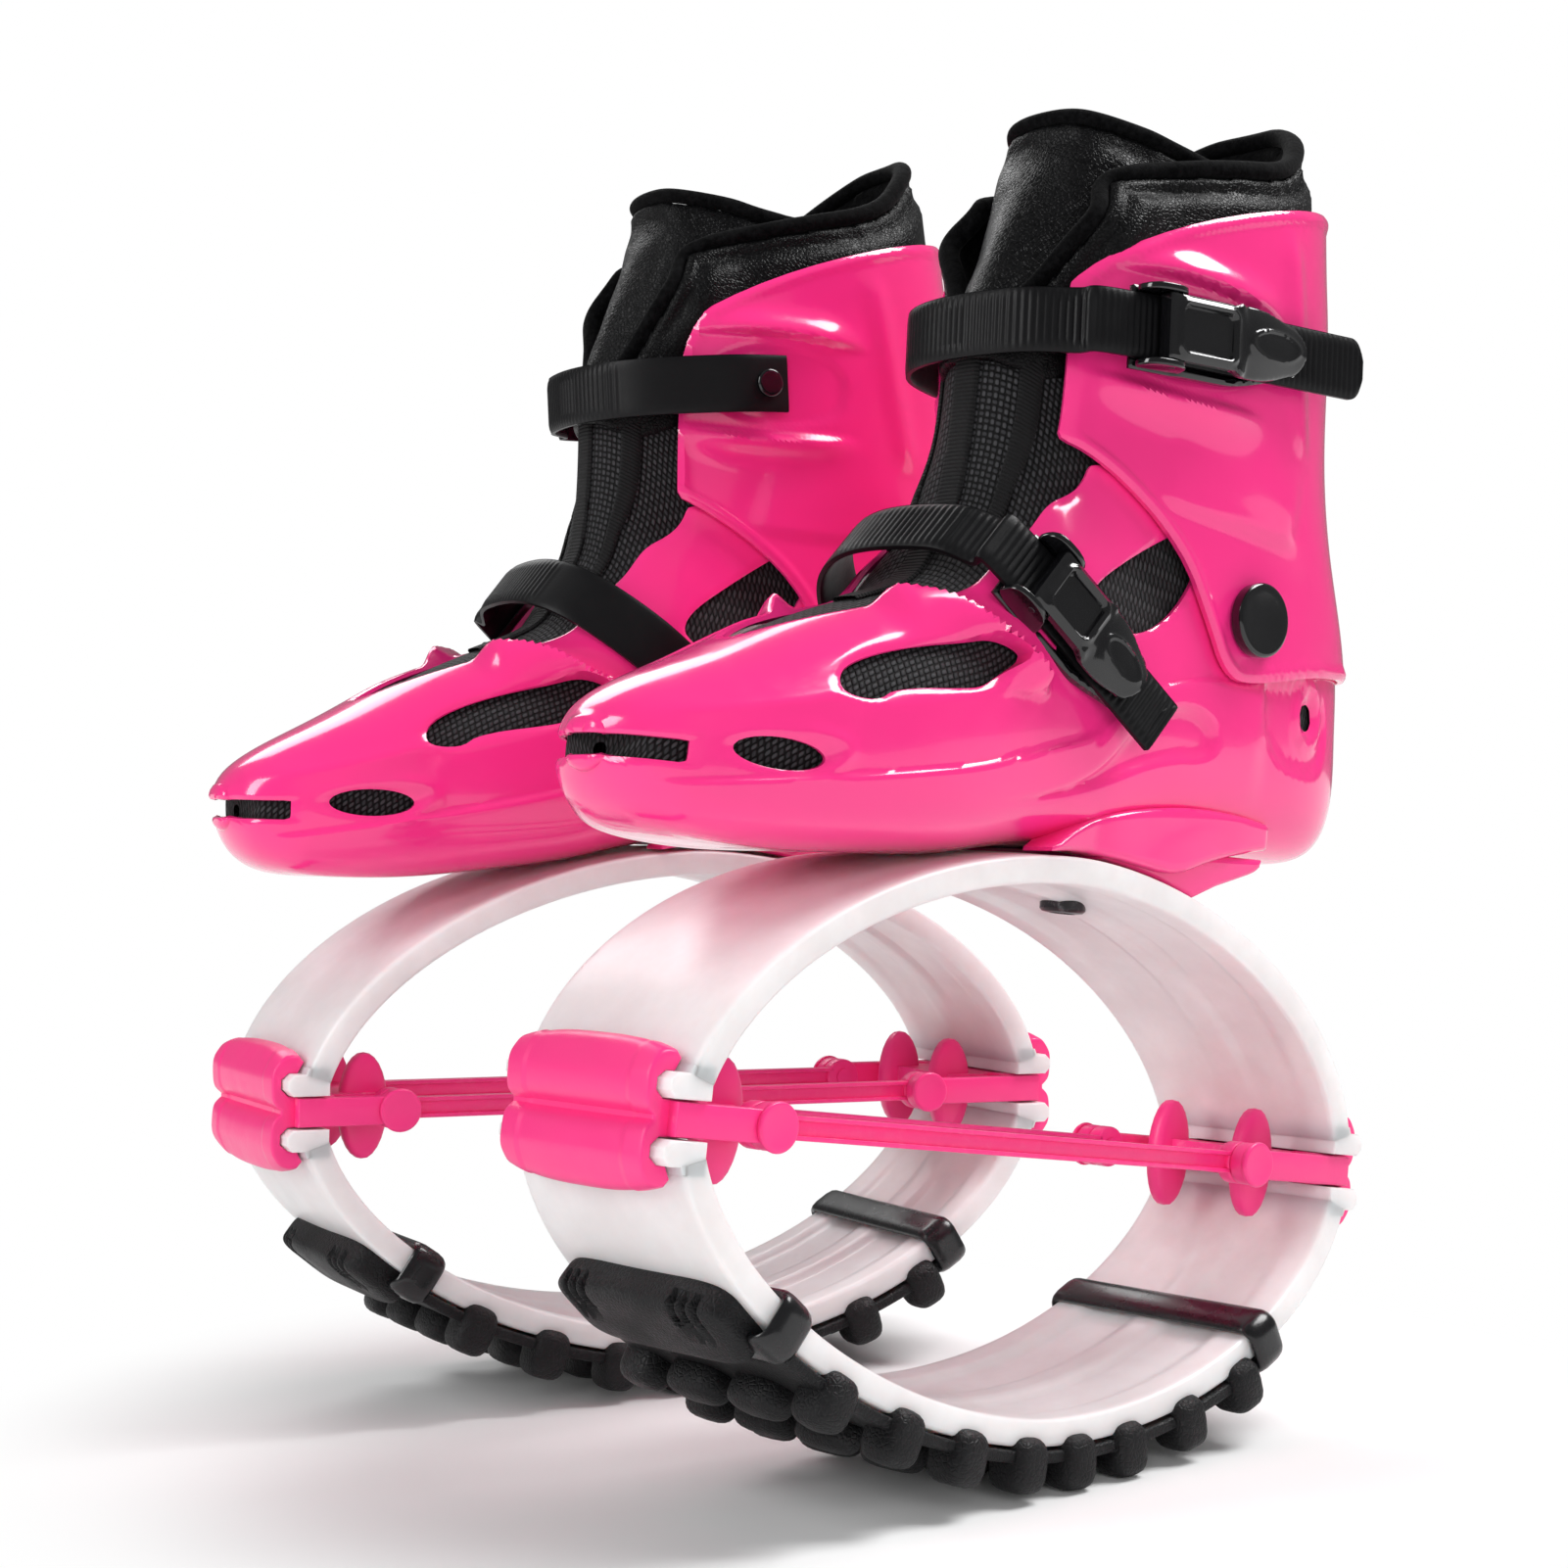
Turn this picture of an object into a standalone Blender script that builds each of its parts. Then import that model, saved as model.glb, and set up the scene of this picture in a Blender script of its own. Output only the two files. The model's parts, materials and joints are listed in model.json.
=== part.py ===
"""A pair of jumping shoes: ski-style boots on two nylon bows each, with a rubber rocker sole.

Metres, +Z up, toes towards -Y. Every piece is modelled once in the shoe's own frame, whose origin
is the middle of the tension bands, with +X to the outer side of a left shoe. The left shoe is that
frame placed in the pair, and the right shoe is its mirror image.
"""

import math

import bmesh
import bpy
import numpy as np
from mathutils import Matrix, Vector

# How the pair stands: the distance between the shoes, and how far the toes point out
PAIR_SPACING = 0.1836
TOE_OUT = math.radians(6.2)

# Clearances: between touching pieces, under a seated one, and the overrun of a cut
GAP = 0.0003
SEAT_GAP = 0.0009
OVERRUN = 0.003

# Bows: two like hoops, one turned over, wider at the crest, with a lip at each end
RING_MIDDLE_Y = 0.0005
BOW_HALF_LENGTH = 0.1462
BOW_RISE = 0.089
BOW_ROUNDNESS = 1.85
BOW_END_WIDTH = 0.075
BOW_CREST_WIDTH = 0.087
BOW_THICKNESS = 0.0095
BOW_CROWN = 0.0012
LIP_REACH = 0.0058
LIP_THICKNESS = 0.0072
LIP_GAP = 0.0055
FLUTE_DEPTH = 0.0022
FLUTE_EDGE = 0.008
RIB_HALF_WIDTH = 0.005
BOW_STEPS = 14

# Brackets: jaws over the lips, a web between the bows, arms out to the bosses, bump pads
JAW_WALL = 0.0042
JAW_HEIGHT = 0.0205
JAW_GROOVE = 0.0038
JAW_HALF_WIDTH = 0.0325
WEB_HALF_HEIGHT = 0.0050
WEB_LENGTH = 0.036
WEB_HALF_WIDTH = 0.023
ARM_THICKNESS = 0.0052
ARM_HEIGHT = 0.0095
ARM_INSET = 0.0008
FRONT_BOSS_SHARE = -0.7524
REAR_BOSS_SHARE = 0.6635
FRONT_BOSS_Y = FRONT_BOSS_SHARE * BOW_HALF_LENGTH
REAR_BOSS_Y = REAR_BOSS_SHARE * BOW_HALF_LENGTH
PAD_OFFSET_X = 0.018
PAD_THICKNESS = 0.008
PAD_HALF_HEIGHT = 0.018
PAD_HALF_LENGTH = 0.0065
PAD_FROM_WEB_END = 0.003

# Tension bands and the rivets that join them to the arms
BAND_THICKNESS = 0.0052
BAND_HEIGHT = 0.007
EYE_RADIUS = 0.0068
RIVET_RADIUS = 0.003
RIVET_HEAD_RADIUS = 0.0073
RIVET_HEAD_HEIGHT = 0.0016
RIVET_TAIL_RADIUS = 0.005
RIVET_TAIL_HEIGHT = 0.0012

# Outsole: a rubber strip with rounded lugs, a pocket and two loops round the lower bow
RUBBER_WALL = 0.0035
TREAD_DEPTH = 0.0125
SOLE_OVERHANG = 0.001
SIDE_LUG_WRAP = 0.0045
SIDE_LUG_LENGTH_IN = 0.016
SIDE_LUG_RISE = 0.0045
LUG_LENGTH = 0.0138
LUG_ROUNDING = 0.0032
LUG_ROW_SHARES = (-0.5643, -0.3830, -0.2052, -0.0342, 0.1094, 0.2633, 0.4480, 0.6259)
LUG_ROW_PLACES = tuple(share * BOW_HALF_LENGTH for share in LUG_ROW_SHARES)
CENTRE_LUG_INSIDE = 0.003
CENTRE_LUG_WIDTH = 0.0215
LEFT_REST_ROW = 5
RIGHT_REST_ROW = 4
LOOP_WALL = 0.0032
LOOP_LENGTH = 0.013
POCKET_LENGTH = 0.024
POCKET_DEPTH = 0.0085
POCKET_SIDE_INSET = 0.004
FRONT_LOOP_SHARE = -0.72845
REAR_LOOP_SHARE = 0.70793
POCKET_SHARE = -0.77633
FRONT_LOOP_Y = FRONT_LOOP_SHARE * BOW_HALF_LENGTH
REAR_LOOP_Y = REAR_LOOP_SHARE * BOW_HALF_LENGTH
POCKET_Y = POCKET_SHARE * BOW_HALF_LENGTH

# Boot: the outer skin of the hard shell, from which the shell, cuff and liner are offset
TOE_Y = -0.163
SOLE_Z = 0.077
BOOT_LENGTH = 0.313
BOOT_HEIGHT = 0.273
BOOT_HALF_WIDTH = 0.047
SHELL_WALL = 0.0026
CUFF_WALL = 0.0026
LINER_GAP = 0.0012
COLLAR_GAP = 0.0009
LINER_WALL = 0.006
CUFF_GAP = 0.0008
RING_POINTS = 16
TONGUE_WIDTH_SHARE = 0.6383
TONGUE_HALF_WIDTH = TONGUE_WIDTH_SHARE * BOOT_HALF_WIDTH
TONGUE_RISE = 0.010

# Each station of the boot, as shares of its length, height and half width:
# front edge y and z, back edge y and z, half width, how round the front is, and the back
STATION_SHARES = (
    (0.000, 0.114, 0.006, 0.055, 0.21, 0.90, 1.00),
    (0.016, 0.136, 0.022, 0.026, 0.43, 0.90, 0.85),
    (0.054, 0.165, 0.058, 0.004, 0.60, 0.90, 0.70),
    (0.121, 0.205, 0.121, 0.000, 0.77, 0.90, 0.60),
    (0.201, 0.256, 0.201, 0.004, 0.91, 0.90, 0.55),
    (0.291, 0.304, 0.291, 0.015, 1.00, 0.90, 0.50),
    (0.361, 0.341, 0.377, 0.027, 1.00, 0.88, 0.50),
    (0.387, 0.388, 0.473, 0.048, 0.98, 0.88, 0.50),
    (0.406, 0.432, 0.601, 0.059, 0.96, 0.87, 0.50),
    (0.412, 0.473, 0.728, 0.073, 0.94, 0.87, 0.50),
    (0.414, 0.509, 0.856, 0.081, 0.89, 0.87, 0.55),
    (0.415, 0.546, 0.952, 0.095, 0.87, 0.87, 0.70),
    (0.415, 0.582, 0.994, 0.150, 0.87, 0.87, 0.85),
    (0.415, 0.619, 0.998, 0.231, 0.87, 0.87, 0.92),
    (0.419, 0.656, 0.987, 0.322, 0.90, 0.87, 0.96),
    (0.428, 0.692, 0.946, 0.432, 0.96, 0.87, 1.00),
    (0.441, 0.729, 0.911, 0.560, 1.00, 0.87, 1.00),
    (0.457, 0.766, 0.893, 0.689, 1.04, 0.87, 1.00),
    (0.476, 0.802, 0.875, 0.780, 1.05, 0.87, 1.00),
    (0.489, 0.828, 0.861, 0.861, 1.05, 0.87, 1.00),
    (0.502, 0.853, 0.843, 0.985, 1.04, 0.87, 1.00),
)
SHELL_STATIONS = range(0, 17)
CUFF_STATIONS = range(10, 21)
LINER_STATIONS = range(2, 21)
TONGUE_STATIONS = range(6, 21)

# Outlines cut in the shell and round the cuff, as shares of the boot's length and height
THROAT_SHARES = ((0.135, 0.0), (0.20, 0.30), (0.27, 0.50), (0.36, 0.62), (0.46, 0.70), (0.78, 0.70))
SHELL_RIM_SHARES = (
    (0.30, 0.43), (0.402, 0.414), (0.48, 0.475), (0.515, 0.490), (0.68, 0.490),
    (0.82, 0.42), (1.02, 0.39), (1.02, 1.2), (0.30, 1.2),
)
REAR_WINDOW_SHARES = (
    (0.478, 0.334), (0.575, 0.402), (0.625, 0.436), (0.655, 0.40), (0.62, 0.335),
    (0.56, 0.297), (0.505, 0.295),
)
FRONT_WINDOW_SHARES = (
    (0.186, 0.181), (0.196, 0.207), (0.235, 0.230), (0.285, 0.244), (0.360, 0.259),
    (0.391, 0.243), (0.366, 0.222), (0.306, 0.189), (0.248, 0.170), (0.205, 0.165),
)
CUFF_EDGE_SHARES = (
    (0.447, 0.513), (0.442, 0.60), (0.447, 0.668), (0.50, 0.735), (0.607, 0.797),
    (0.773, 0.855), (0.90, 0.878), (1.15, 0.868), (1.15, 0.335), (0.88, 0.315),
    (0.73, 0.272), (0.69, 0.279), (0.661, 0.330), (0.613, 0.410), (0.508, 0.491),
)
INNER_CUFF_FRONT_SHARES = (
    (0.49, 0.40), (0.49, 0.60), (0.487, 0.69), (0.52, 0.755), (0.45, 0.80), (0.30, 0.60), (0.40, 0.40),
)
TONGUE_KEEP_SHARES = (
    (0.20, 0.30), (0.40, 0.30), (0.455, 0.50), (0.465, 0.68), (0.55, 0.84), (0.60, 0.93), (0.60, 1.2), (0.20, 1.2),
)
COLLAR_TOP_SHARES = (
    (0.35, 0.785), (0.45, 0.80), (0.52, 0.826), (0.62, 0.852), (0.74, 0.885), (0.80, 0.945),
    (0.84, 0.975), (1.1, 0.985), (1.1, 1.3), (0.35, 1.3),
)
VENT_CENTRE_SHARES = (0.131, 0.093)
VENT_HALF_LENGTH = 0.0135
VENT_HALF_HEIGHT = 0.0045
TOE_SLOT_LENGTH = 0.016
TOE_SLOT_HEIGHT = 0.0065
TOE_SLOT_Z_SHARE = 0.082
HEEL_HOLE_SHARES = (0.862, 0.258)
HEEL_HOLE_RADIUS = 0.0045
CUFF_FRONT_WIDTH_SHARE = 0.6383
CUFF_FRONT_HALF_WIDTH = CUFF_FRONT_WIDTH_SHARE * BOOT_HALF_WIDTH
CUFF_FRONT_DEPTH = 0.060

# Ankle pivot and how far the cuff swings each way
PIVOT_SHARES = (0.72364, 0.34799)
PIVOT_Y = TOE_Y + PIVOT_SHARES[0] * BOOT_LENGTH
PIVOT_Z = SOLE_Z + PIVOT_SHARES[1] * BOOT_HEIGHT
PIVOT_PIN_RADIUS = 0.005
PIVOT_CAP_RADIUS = 0.012
PIVOT_CAP_HEIGHT = 0.003
CUFF_FORWARD = math.radians(5.0)
CUFF_BACK = math.radians(0.0)
LINER_FRONT_ANGLE = math.radians(169.0)
LINER_BACK_ANGLE = math.radians(19.0)
LINER_SPLIT_GAP = 0.0012
FOLD_MARGIN = math.radians(1.5)

# Saddle under the heel, and the bolt through the upper bow
SADDLE_WIDTH = 0.060
SADDLE_START_SHARE = 0.0684
SADDLE_FOOT_END_SHARE = 0.42408
SADDLE_PLATE_END_SHARE = 0.6156
SADDLE_END_SHARE = 0.77975
SADDLE_START_Y = SADDLE_START_SHARE * BOW_HALF_LENGTH
SADDLE_FOOT_END_Y = SADDLE_FOOT_END_SHARE * BOW_HALF_LENGTH
SADDLE_PLATE_END_Y = SADDLE_PLATE_END_SHARE * BOW_HALF_LENGTH
SADDLE_END_Y = SADDLE_END_SHARE * BOW_HALF_LENGTH
SADDLE_END_THICKNESS = 0.003
SADDLE_PLATE_DROP = 0.0075
BOLT_SHARE = 0.2394
BOLT_Y = BOLT_SHARE * BOW_HALF_LENGTH
BOLT_RADIUS = 0.004
BOLT_HEAD_RADIUS = 0.0075
BOLT_HEAD_HEIGHT = 0.004
BOLT_POCKET_RADIUS = 0.0095
BOLT_POCKET_DEPTH = 0.003
BOLT_GRIP = 0.006

# Ladder straps and ratchet buckles: each strap's path, from its riveted root round to its tail
STRAP_THICKNESS = 0.0024
CUFF_STRAP_WIDTH = 0.020
CUFF_STRAP_Z_SHARE = 0.6392
CUFF_STRAP_Z = SOLE_Z + CUFF_STRAP_Z_SHARE * BOOT_HEIGHT
CUFF_STRAP_SLOPE = 0.07
CUFF_STRAP_SHARES = (
    (-1.0894, 0.59744), (-1.0894, 0.54952), (-1.0106, 0.51118), (-0.8511, 0.46645),
    (-0.6170, 0.42971), (-0.3191, 0.40831), (0.0000, 0.40192), (0.3191, 0.40735),
    (0.6170, 0.42492), (0.8404, 0.45367), (1.0106, 0.49361), (1.2085, 0.73163),
    (1.2660, 0.80192),
)
CUFF_STRAP_PLAN = tuple(
    (x * BOOT_HALF_WIDTH, TOE_Y + y * BOOT_LENGTH) for x, y in CUFF_STRAP_SHARES
)
CUFF_STRAP_RIVET_SHARE = 0.57348
CUFF_STRAP_RIVET_Y = TOE_Y + CUFF_STRAP_RIVET_SHARE * BOOT_LENGTH
INSTEP_STRAP_WIDTH = 0.0195
INSTEP_TOP_SHARES = (0.34505, 0.38462)
INSTEP_TOP_Y = TOE_Y + INSTEP_TOP_SHARES[0] * BOOT_LENGTH
INSTEP_TOP_Z = SOLE_Z + INSTEP_TOP_SHARES[1] * BOOT_HEIGHT
INSTEP_SLOPE = math.radians(38.0)
INSTEP_STRAP_SHARES = (
    (-1.0255, 0.18530), (-1.0255, 0.12780), (-0.9362, 0.08307), (-0.7872, 0.04473),
    (-0.5745, 0.01757), (-0.2979, 0.00319), (0.0000, 0.00000), (0.2979, 0.00256),
    (0.5745, 0.01278), (0.7660, 0.02875), (0.8936, 0.05112), (1.1383, 0.24281),
    (1.1617, 0.26198),
)
INSTEP_STRAP_PLAN = tuple((x * BOOT_HALF_WIDTH, drop * BOOT_LENGTH) for x, drop in INSTEP_STRAP_SHARES)
INSTEP_STRAP_RIVET_SHARE = 0.16454
INSTEP_STRAP_RIVET_DROP = INSTEP_STRAP_RIVET_SHARE * BOOT_LENGTH
CUFF_BUCKLE_LENGTH = 0.074
INSTEP_BUCKLE_LENGTH = 0.062
BUCKLE_WIDTH = 0.026
BUCKLE_FLOOR = 0.002
BUCKLE_CHEEK = 0.0022
BUCKLE_CHEEK_HEIGHT = 0.0105
BUCKLE_CHEEK_LENGTH = 0.018
BUCKLE_SEAT = 0.006
BUCKLE_PIN_RADIUS = 0.0015
BUCKLE_PIN_RISE = 0.0062
BUCKLE_PIN_FROM_END = 0.010
LEVER_LENGTH = 0.044
LEVER_THICKNESS = 0.0032
LEVER_NOSE_RADIUS = 0.0028
CUFF_BUCKLE_FROM = 0.0015
INSTEP_BUCKLE_FROM = 0.001

PINK = (0.90, 0.035, 0.20, 1.0)
SOFT_PINK = (0.90, 0.05, 0.22, 1.0)
NYLON = (0.80, 0.78, 0.78, 1.0)
RUBBER = (0.012, 0.012, 0.014, 1.0)
BLACK_PLASTIC = (0.006, 0.006, 0.007, 1.0)
BLACK_CLOTH = (0.010, 0.010, 0.011, 1.0)
STEEL = (0.35, 0.35, 0.36, 1.0)


def clear_scene():
    for obj in list(bpy.data.objects):
        bpy.data.objects.remove(obj, do_unlink=True)


def material(name, colour, roughness, metallic=0.0):
    made = bpy.data.materials.new(name)
    made.use_nodes = True
    shader = made.node_tree.nodes["Principled BSDF"]
    shader.inputs["Base Color"].default_value = colour
    shader.inputs["Roughness"].default_value = roughness
    shader.inputs["Metallic"].default_value = metallic
    return made


def mesh_object(name, points, faces, made_of=None):
    """A closed mesh with its faces turned outwards."""
    mesh = bpy.data.meshes.new(name)
    mesh.from_pydata([tuple(map(float, p)) for p in points], [], faces)
    work = bmesh.new()
    work.from_mesh(mesh)
    bmesh.ops.recalc_face_normals(work, faces=work.faces)
    work.to_mesh(mesh)
    work.free()
    obj = bpy.data.objects.new(name, mesh)
    bpy.context.scene.collection.objects.link(obj)
    if made_of:
        mesh.materials.append(made_of)
    return obj


def loft(name, rings, made_of=None):
    """A solid whose skin runs through rings of equal point counts, with flat ends."""
    count = len(rings[0])
    points = [p for ring in rings for p in ring]
    faces = [list(range(count)), list(range((len(rings) - 1) * count, len(rings) * count))]
    for i in range(len(rings) - 1):
        for j in range(count):
            k = (j + 1) % count
            faces.append([i * count + j, i * count + k, (i + 1) * count + k, (i + 1) * count + j])
    return mesh_object(name, points, faces, made_of)


def prism(name, outline, x_low, x_high, made_of=None):
    """An outline in the side plane, as (y, z), carried from one x to another."""
    rings = [[(x, y, z) for y, z in outline] for x in (x_low, x_high)]
    return loft(name, rings, made_of)


def turned(name, profile, centre, sides, made_of=None):
    """A profile of (x, radius) turned round an axis along X through centre, as (y, z)."""
    rings = []
    for x, radius in profile:
        angles = [2 * math.pi * i / sides for i in range(sides)]
        rings.append([
            (x, centre[0] + radius * math.cos(a), centre[1] + radius * math.sin(a)) for a in angles
        ])
    return loft(name, rings, made_of)


def combine(obj, other, operation):
    """Adds a Boolean to obj and keeps the other shape only as its cutter."""
    other.hide_render = True
    other.display_type = "WIRE"
    change = obj.modifiers.new(operation.title(), "BOOLEAN")
    change.operation = operation
    change.object = other
    change.solver = "EXACT"
    change.use_self = True
    return obj


def add(obj, other):
    return combine(obj, other, "UNION")


def cut(obj, other):
    return combine(obj, other, "DIFFERENCE")


def keep(obj, other):
    return combine(obj, other, "INTERSECT")


def settle(obj):
    """Makes the modifiers' result the object's own mesh and drops the cutters."""
    cutters = {m.object for m in obj.modifiers if m.type == "BOOLEAN"}
    graph = bpy.context.evaluated_depsgraph_get()
    graph.update()
    mesh = bpy.data.meshes.new_from_object(obj.evaluated_get(graph))
    obj.modifiers.clear()
    obj.data = mesh
    for other in cutters:
        bpy.data.objects.remove(other, do_unlink=True)
    mesh.shade_smooth()
    mesh.set_sharp_from_angle(angle=math.radians(35.0))
    return obj


def boot_point(y_share, z_share):
    return (TOE_Y + y_share * BOOT_LENGTH, SOLE_Z + z_share * BOOT_HEIGHT)


def boot_outline(shares):
    return [boot_point(*pair) for pair in shares]


def station(index, inset):
    """One station's front point, back point and half width, moved in by inset, and its roundness."""
    row = STATION_SHARES[index]
    front = Vector((0.0, *boot_point(row[0], row[1])))
    back = Vector((0.0, *boot_point(row[2], row[3])))
    along = (back - front).normalized()
    return front + along * inset, back - along * inset, row[4] * BOOT_HALF_WIDTH - inset, row[5:]


def station_ring(index, inset, count=RING_POINTS):
    """A closed ring whose front and back halves are each as round as the station says."""
    front, back, half_width, powers = station(index, inset)
    ring = []
    for i in range(count):
        angle = 2 * math.pi * (i + 0.5) / count
        across = math.sin(angle)
        along = -math.cos(angle)
        power = powers[1] if along > 0 else powers[0]
        x = math.copysign(abs(across) ** power, across) * half_width
        share = 0.5 + 0.5 * math.copysign(abs(along) ** power, along)
        point = front.lerp(back, share)
        ring.append((x, point.y, point.z))
    return ring


def boot_hull(name, inset, stations, count=RING_POINTS, made_of=None):
    return loft(name, [station_ring(i, inset, count) for i in stations], made_of)


def hoop_point(y, depth=0.0):
    """A point of the upper bow's outer curve, or one that depth inside it, as (y, z)."""
    share = min(abs(y) / BOW_HALF_LENGTH, 1.0)
    height = BOW_RISE * (1 - share ** BOW_ROUNDNESS) ** (1 / BOW_ROUNDNESS)
    out_y, out_z = hoop_normal(y)
    return RING_MIDDLE_Y + y - out_y * depth, height - out_z * depth


def hoop_normal(y):
    """The outward direction of the bow's outer curve at y, as (y, z)."""
    share_y = abs(y) / BOW_HALF_LENGTH
    share_z = (1 - share_y ** BOW_ROUNDNESS) ** (1 / BOW_ROUNDNESS)
    out_y = math.copysign(share_y ** (BOW_ROUNDNESS - 1), y) / BOW_HALF_LENGTH
    out_z = share_z ** (BOW_ROUNDNESS - 1) / BOW_RISE
    length = math.hypot(out_y, out_z)
    return out_y / length, out_z / length


def hoop_half_width(y):
    """The bow is widest at its crest and narrows to its ends."""
    height = hoop_point(y)[1] / BOW_RISE
    return (BOW_END_WIDTH + (BOW_CREST_WIDTH - BOW_END_WIDTH) * height) / 2


def hoop_stations(first, last, count):
    """Places along the bow, closer together where it turns down to its ends."""
    low = math.asin(first / BOW_HALF_LENGTH)
    high = math.asin(last / BOW_HALF_LENGTH)
    return [BOW_HALF_LENGTH * math.sin(low + (high - low) * i / count) for i in range(count + 1)]


def sweep(name, section, first, last, count, made_of=None):
    """A section, as (x, depth) pairs for each place along the bow, swept along it."""
    rings = []
    for y in hoop_stations(first, last, count):
        rings.append([(x, *hoop_point(y, depth)) for x, depth in section(y)])
    return loft(name, rings, made_of)


def slab(low_depth, high_depth, side_room=0.0):
    """The section of a plain slab as wide as the bow plus side_room."""
    def section(y):
        half = hoop_half_width(y) + side_room
        return [(-half, low_depth), (half, low_depth), (half, high_depth), (-half, high_depth)]
    return section


def turned_over(obj):
    """The same shape below the bands instead of above them."""
    obj.data.transform(Matrix.Scale(-1.0, 4, (0.0, 0.0, 1.0)))
    obj.data.flip_normals()
    return obj


def bow_end():
    """How far along the bow's outer curve its ends are, at the top of the lips."""
    top = (LIP_GAP + LIP_THICKNESS) / BOW_RISE
    return BOW_HALF_LENGTH * (1 - top ** BOW_ROUNDNESS) ** (1 / BOW_ROUNDNESS)


def bow_section(y):
    """Crowned outside; inside, two shallow flutes that fade out towards the ends."""
    half = hoop_half_width(y)
    fade = 1 - (y / bow_end()) ** 4
    flute = BOW_THICKNESS - FLUTE_DEPTH * fade
    edge = half - FLUTE_EDGE
    slope = FLUTE_DEPTH * 2
    right = [
        (half, BOW_THICKNESS), (edge, BOW_THICKNESS), (edge - slope, flute),
        (RIB_HALF_WIDTH + slope, flute), (RIB_HALF_WIDTH, BOW_THICKNESS),
    ]
    left = [(-x, depth) for x, depth in reversed(right)]
    outside = [(-half, BOW_CROWN), (-half / 2, 0.0), (half / 2, 0.0), (half, BOW_CROWN)]
    return right + left + outside


def lip_outline(side):
    """The foot of one end of the bow with its lip, as (y, z); side is 1 at the heel."""
    end = bow_end()
    inside = hoop_point(end, BOW_THICKNESS)[0] - RING_MIDDLE_Y
    outside = hoop_point(end)[0] - RING_MIDDLE_Y
    top = LIP_GAP + LIP_THICKNESS
    tip = outside + LIP_REACH
    corner = LIP_THICKNESS * 0.3
    outline = [
        (inside + GAP, top + corner), (inside + GAP, LIP_GAP), (tip - corner, LIP_GAP),
        (tip, LIP_GAP + corner), (tip, top - corner), (tip - corner, top),
        (outside - GAP, top), (outside - 4 * GAP, top + corner),
    ]
    return [(RING_MIDDLE_Y + side * y, z) for y, z in outline]


def make_bow(name, nylon):
    """One bow: a fluted band with a lip at each end."""
    end = bow_end()
    bow = sweep(name, bow_section, -end, end, BOW_STEPS, nylon)
    half = BOW_END_WIDTH / 2 + BOW_CROWN / 2
    for side in (-1, 1):
        add(bow, prism("lip", lip_outline(side), -half, half))
    return bow


def make_upper_bow(nylon):
    bow = make_bow("upper_bow", nylon)
    return settle(bow_bolt_holes(bow))


def bow_bolt_holes(bow):
    """The hole for the saddle bolt, and the pocket for its head."""
    underside = bolt_seat_z()
    cut(bow, upright("bolt_hole", BOLT_RADIUS + GAP, underside - OVERRUN, BOW_RISE + OVERRUN))
    low = underside - BOLT_POCKET_DEPTH - OVERRUN
    return cut(bow, upright("bolt_pocket", BOLT_POCKET_RADIUS, low, underside + FLUTE_DEPTH))


def bolt_seat_z():
    """The height of the upper bow's inner face at the bolt."""
    return hoop_point(BOLT_Y - RING_MIDDLE_Y, BOW_THICKNESS)[1]


def upright(name, radius, low, high, sides=16, made_of=None):
    """A cylinder along Z at the saddle bolt's place."""
    angles = [2 * math.pi * i / sides for i in range(sides)]
    rings = [
        [(radius * math.cos(a), BOLT_Y + radius * math.sin(a), z) for a in angles]
        for z in (low, high)
    ]
    return loft(name, rings, made_of)


def make_lower_bow(nylon):
    return turned_over(settle(make_bow("lower_bow", nylon)))


def make_saddle(plastic):
    """The wedge between the upper bow and the heel of the shell."""
    def sole_z(y):
        rows = [boot_point(row[2], row[3]) for row in STATION_SHARES[4:12]]
        return float(np.interp(y, [r[0] for r in rows], [r[1] for r in rows])) - GAP

    tops = [SADDLE_END_Y, SADDLE_PLATE_END_Y, SADDLE_FOOT_END_Y, BOLT_Y, SADDLE_START_Y]
    outline = [(y, sole_z(y)) for y in tops]
    foot = hoop_stations(SADDLE_START_Y - RING_MIDDLE_Y, SADDLE_FOOT_END_Y - RING_MIDDLE_Y, 6)
    outline += [hoop_point(y, -GAP) for y in foot]
    outline += [
        (SADDLE_FOOT_END_Y + GAP, sole_z(SADDLE_FOOT_END_Y) - SADDLE_PLATE_DROP - GAP),
        (SADDLE_PLATE_END_Y, sole_z(SADDLE_PLATE_END_Y) - SADDLE_PLATE_DROP),
        (SADDLE_PLATE_END_Y + SADDLE_PLATE_DROP, sole_z(SADDLE_END_Y) - SADDLE_END_THICKNESS),
        (SADDLE_END_Y, sole_z(SADDLE_END_Y) - SADDLE_END_THICKNESS),
    ]
    saddle = prism("saddle", outline, -SADDLE_WIDTH / 2, SADDLE_WIDTH / 2, plastic)
    top = BOW_RISE + BOLT_GRIP * 0.5
    cut(saddle, upright("bolt_hole", BOLT_RADIUS + GAP, bolt_seat_z(), top + GAP))
    return settle(saddle)


def make_saddle_bolt(steel):
    head_top = bolt_seat_z() + FLUTE_DEPTH - GAP
    bolt = upright("saddle_bolt", BOLT_HEAD_RADIUS, head_top - BOLT_HEAD_HEIGHT, head_top, 12, steel)
    shank_top = BOW_RISE + BOLT_GRIP * 0.5
    add(bolt, upright("shank", BOLT_RADIUS, head_top - BOLT_HEAD_HEIGHT / 2, shank_top, 12))
    return settle(bolt)


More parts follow.
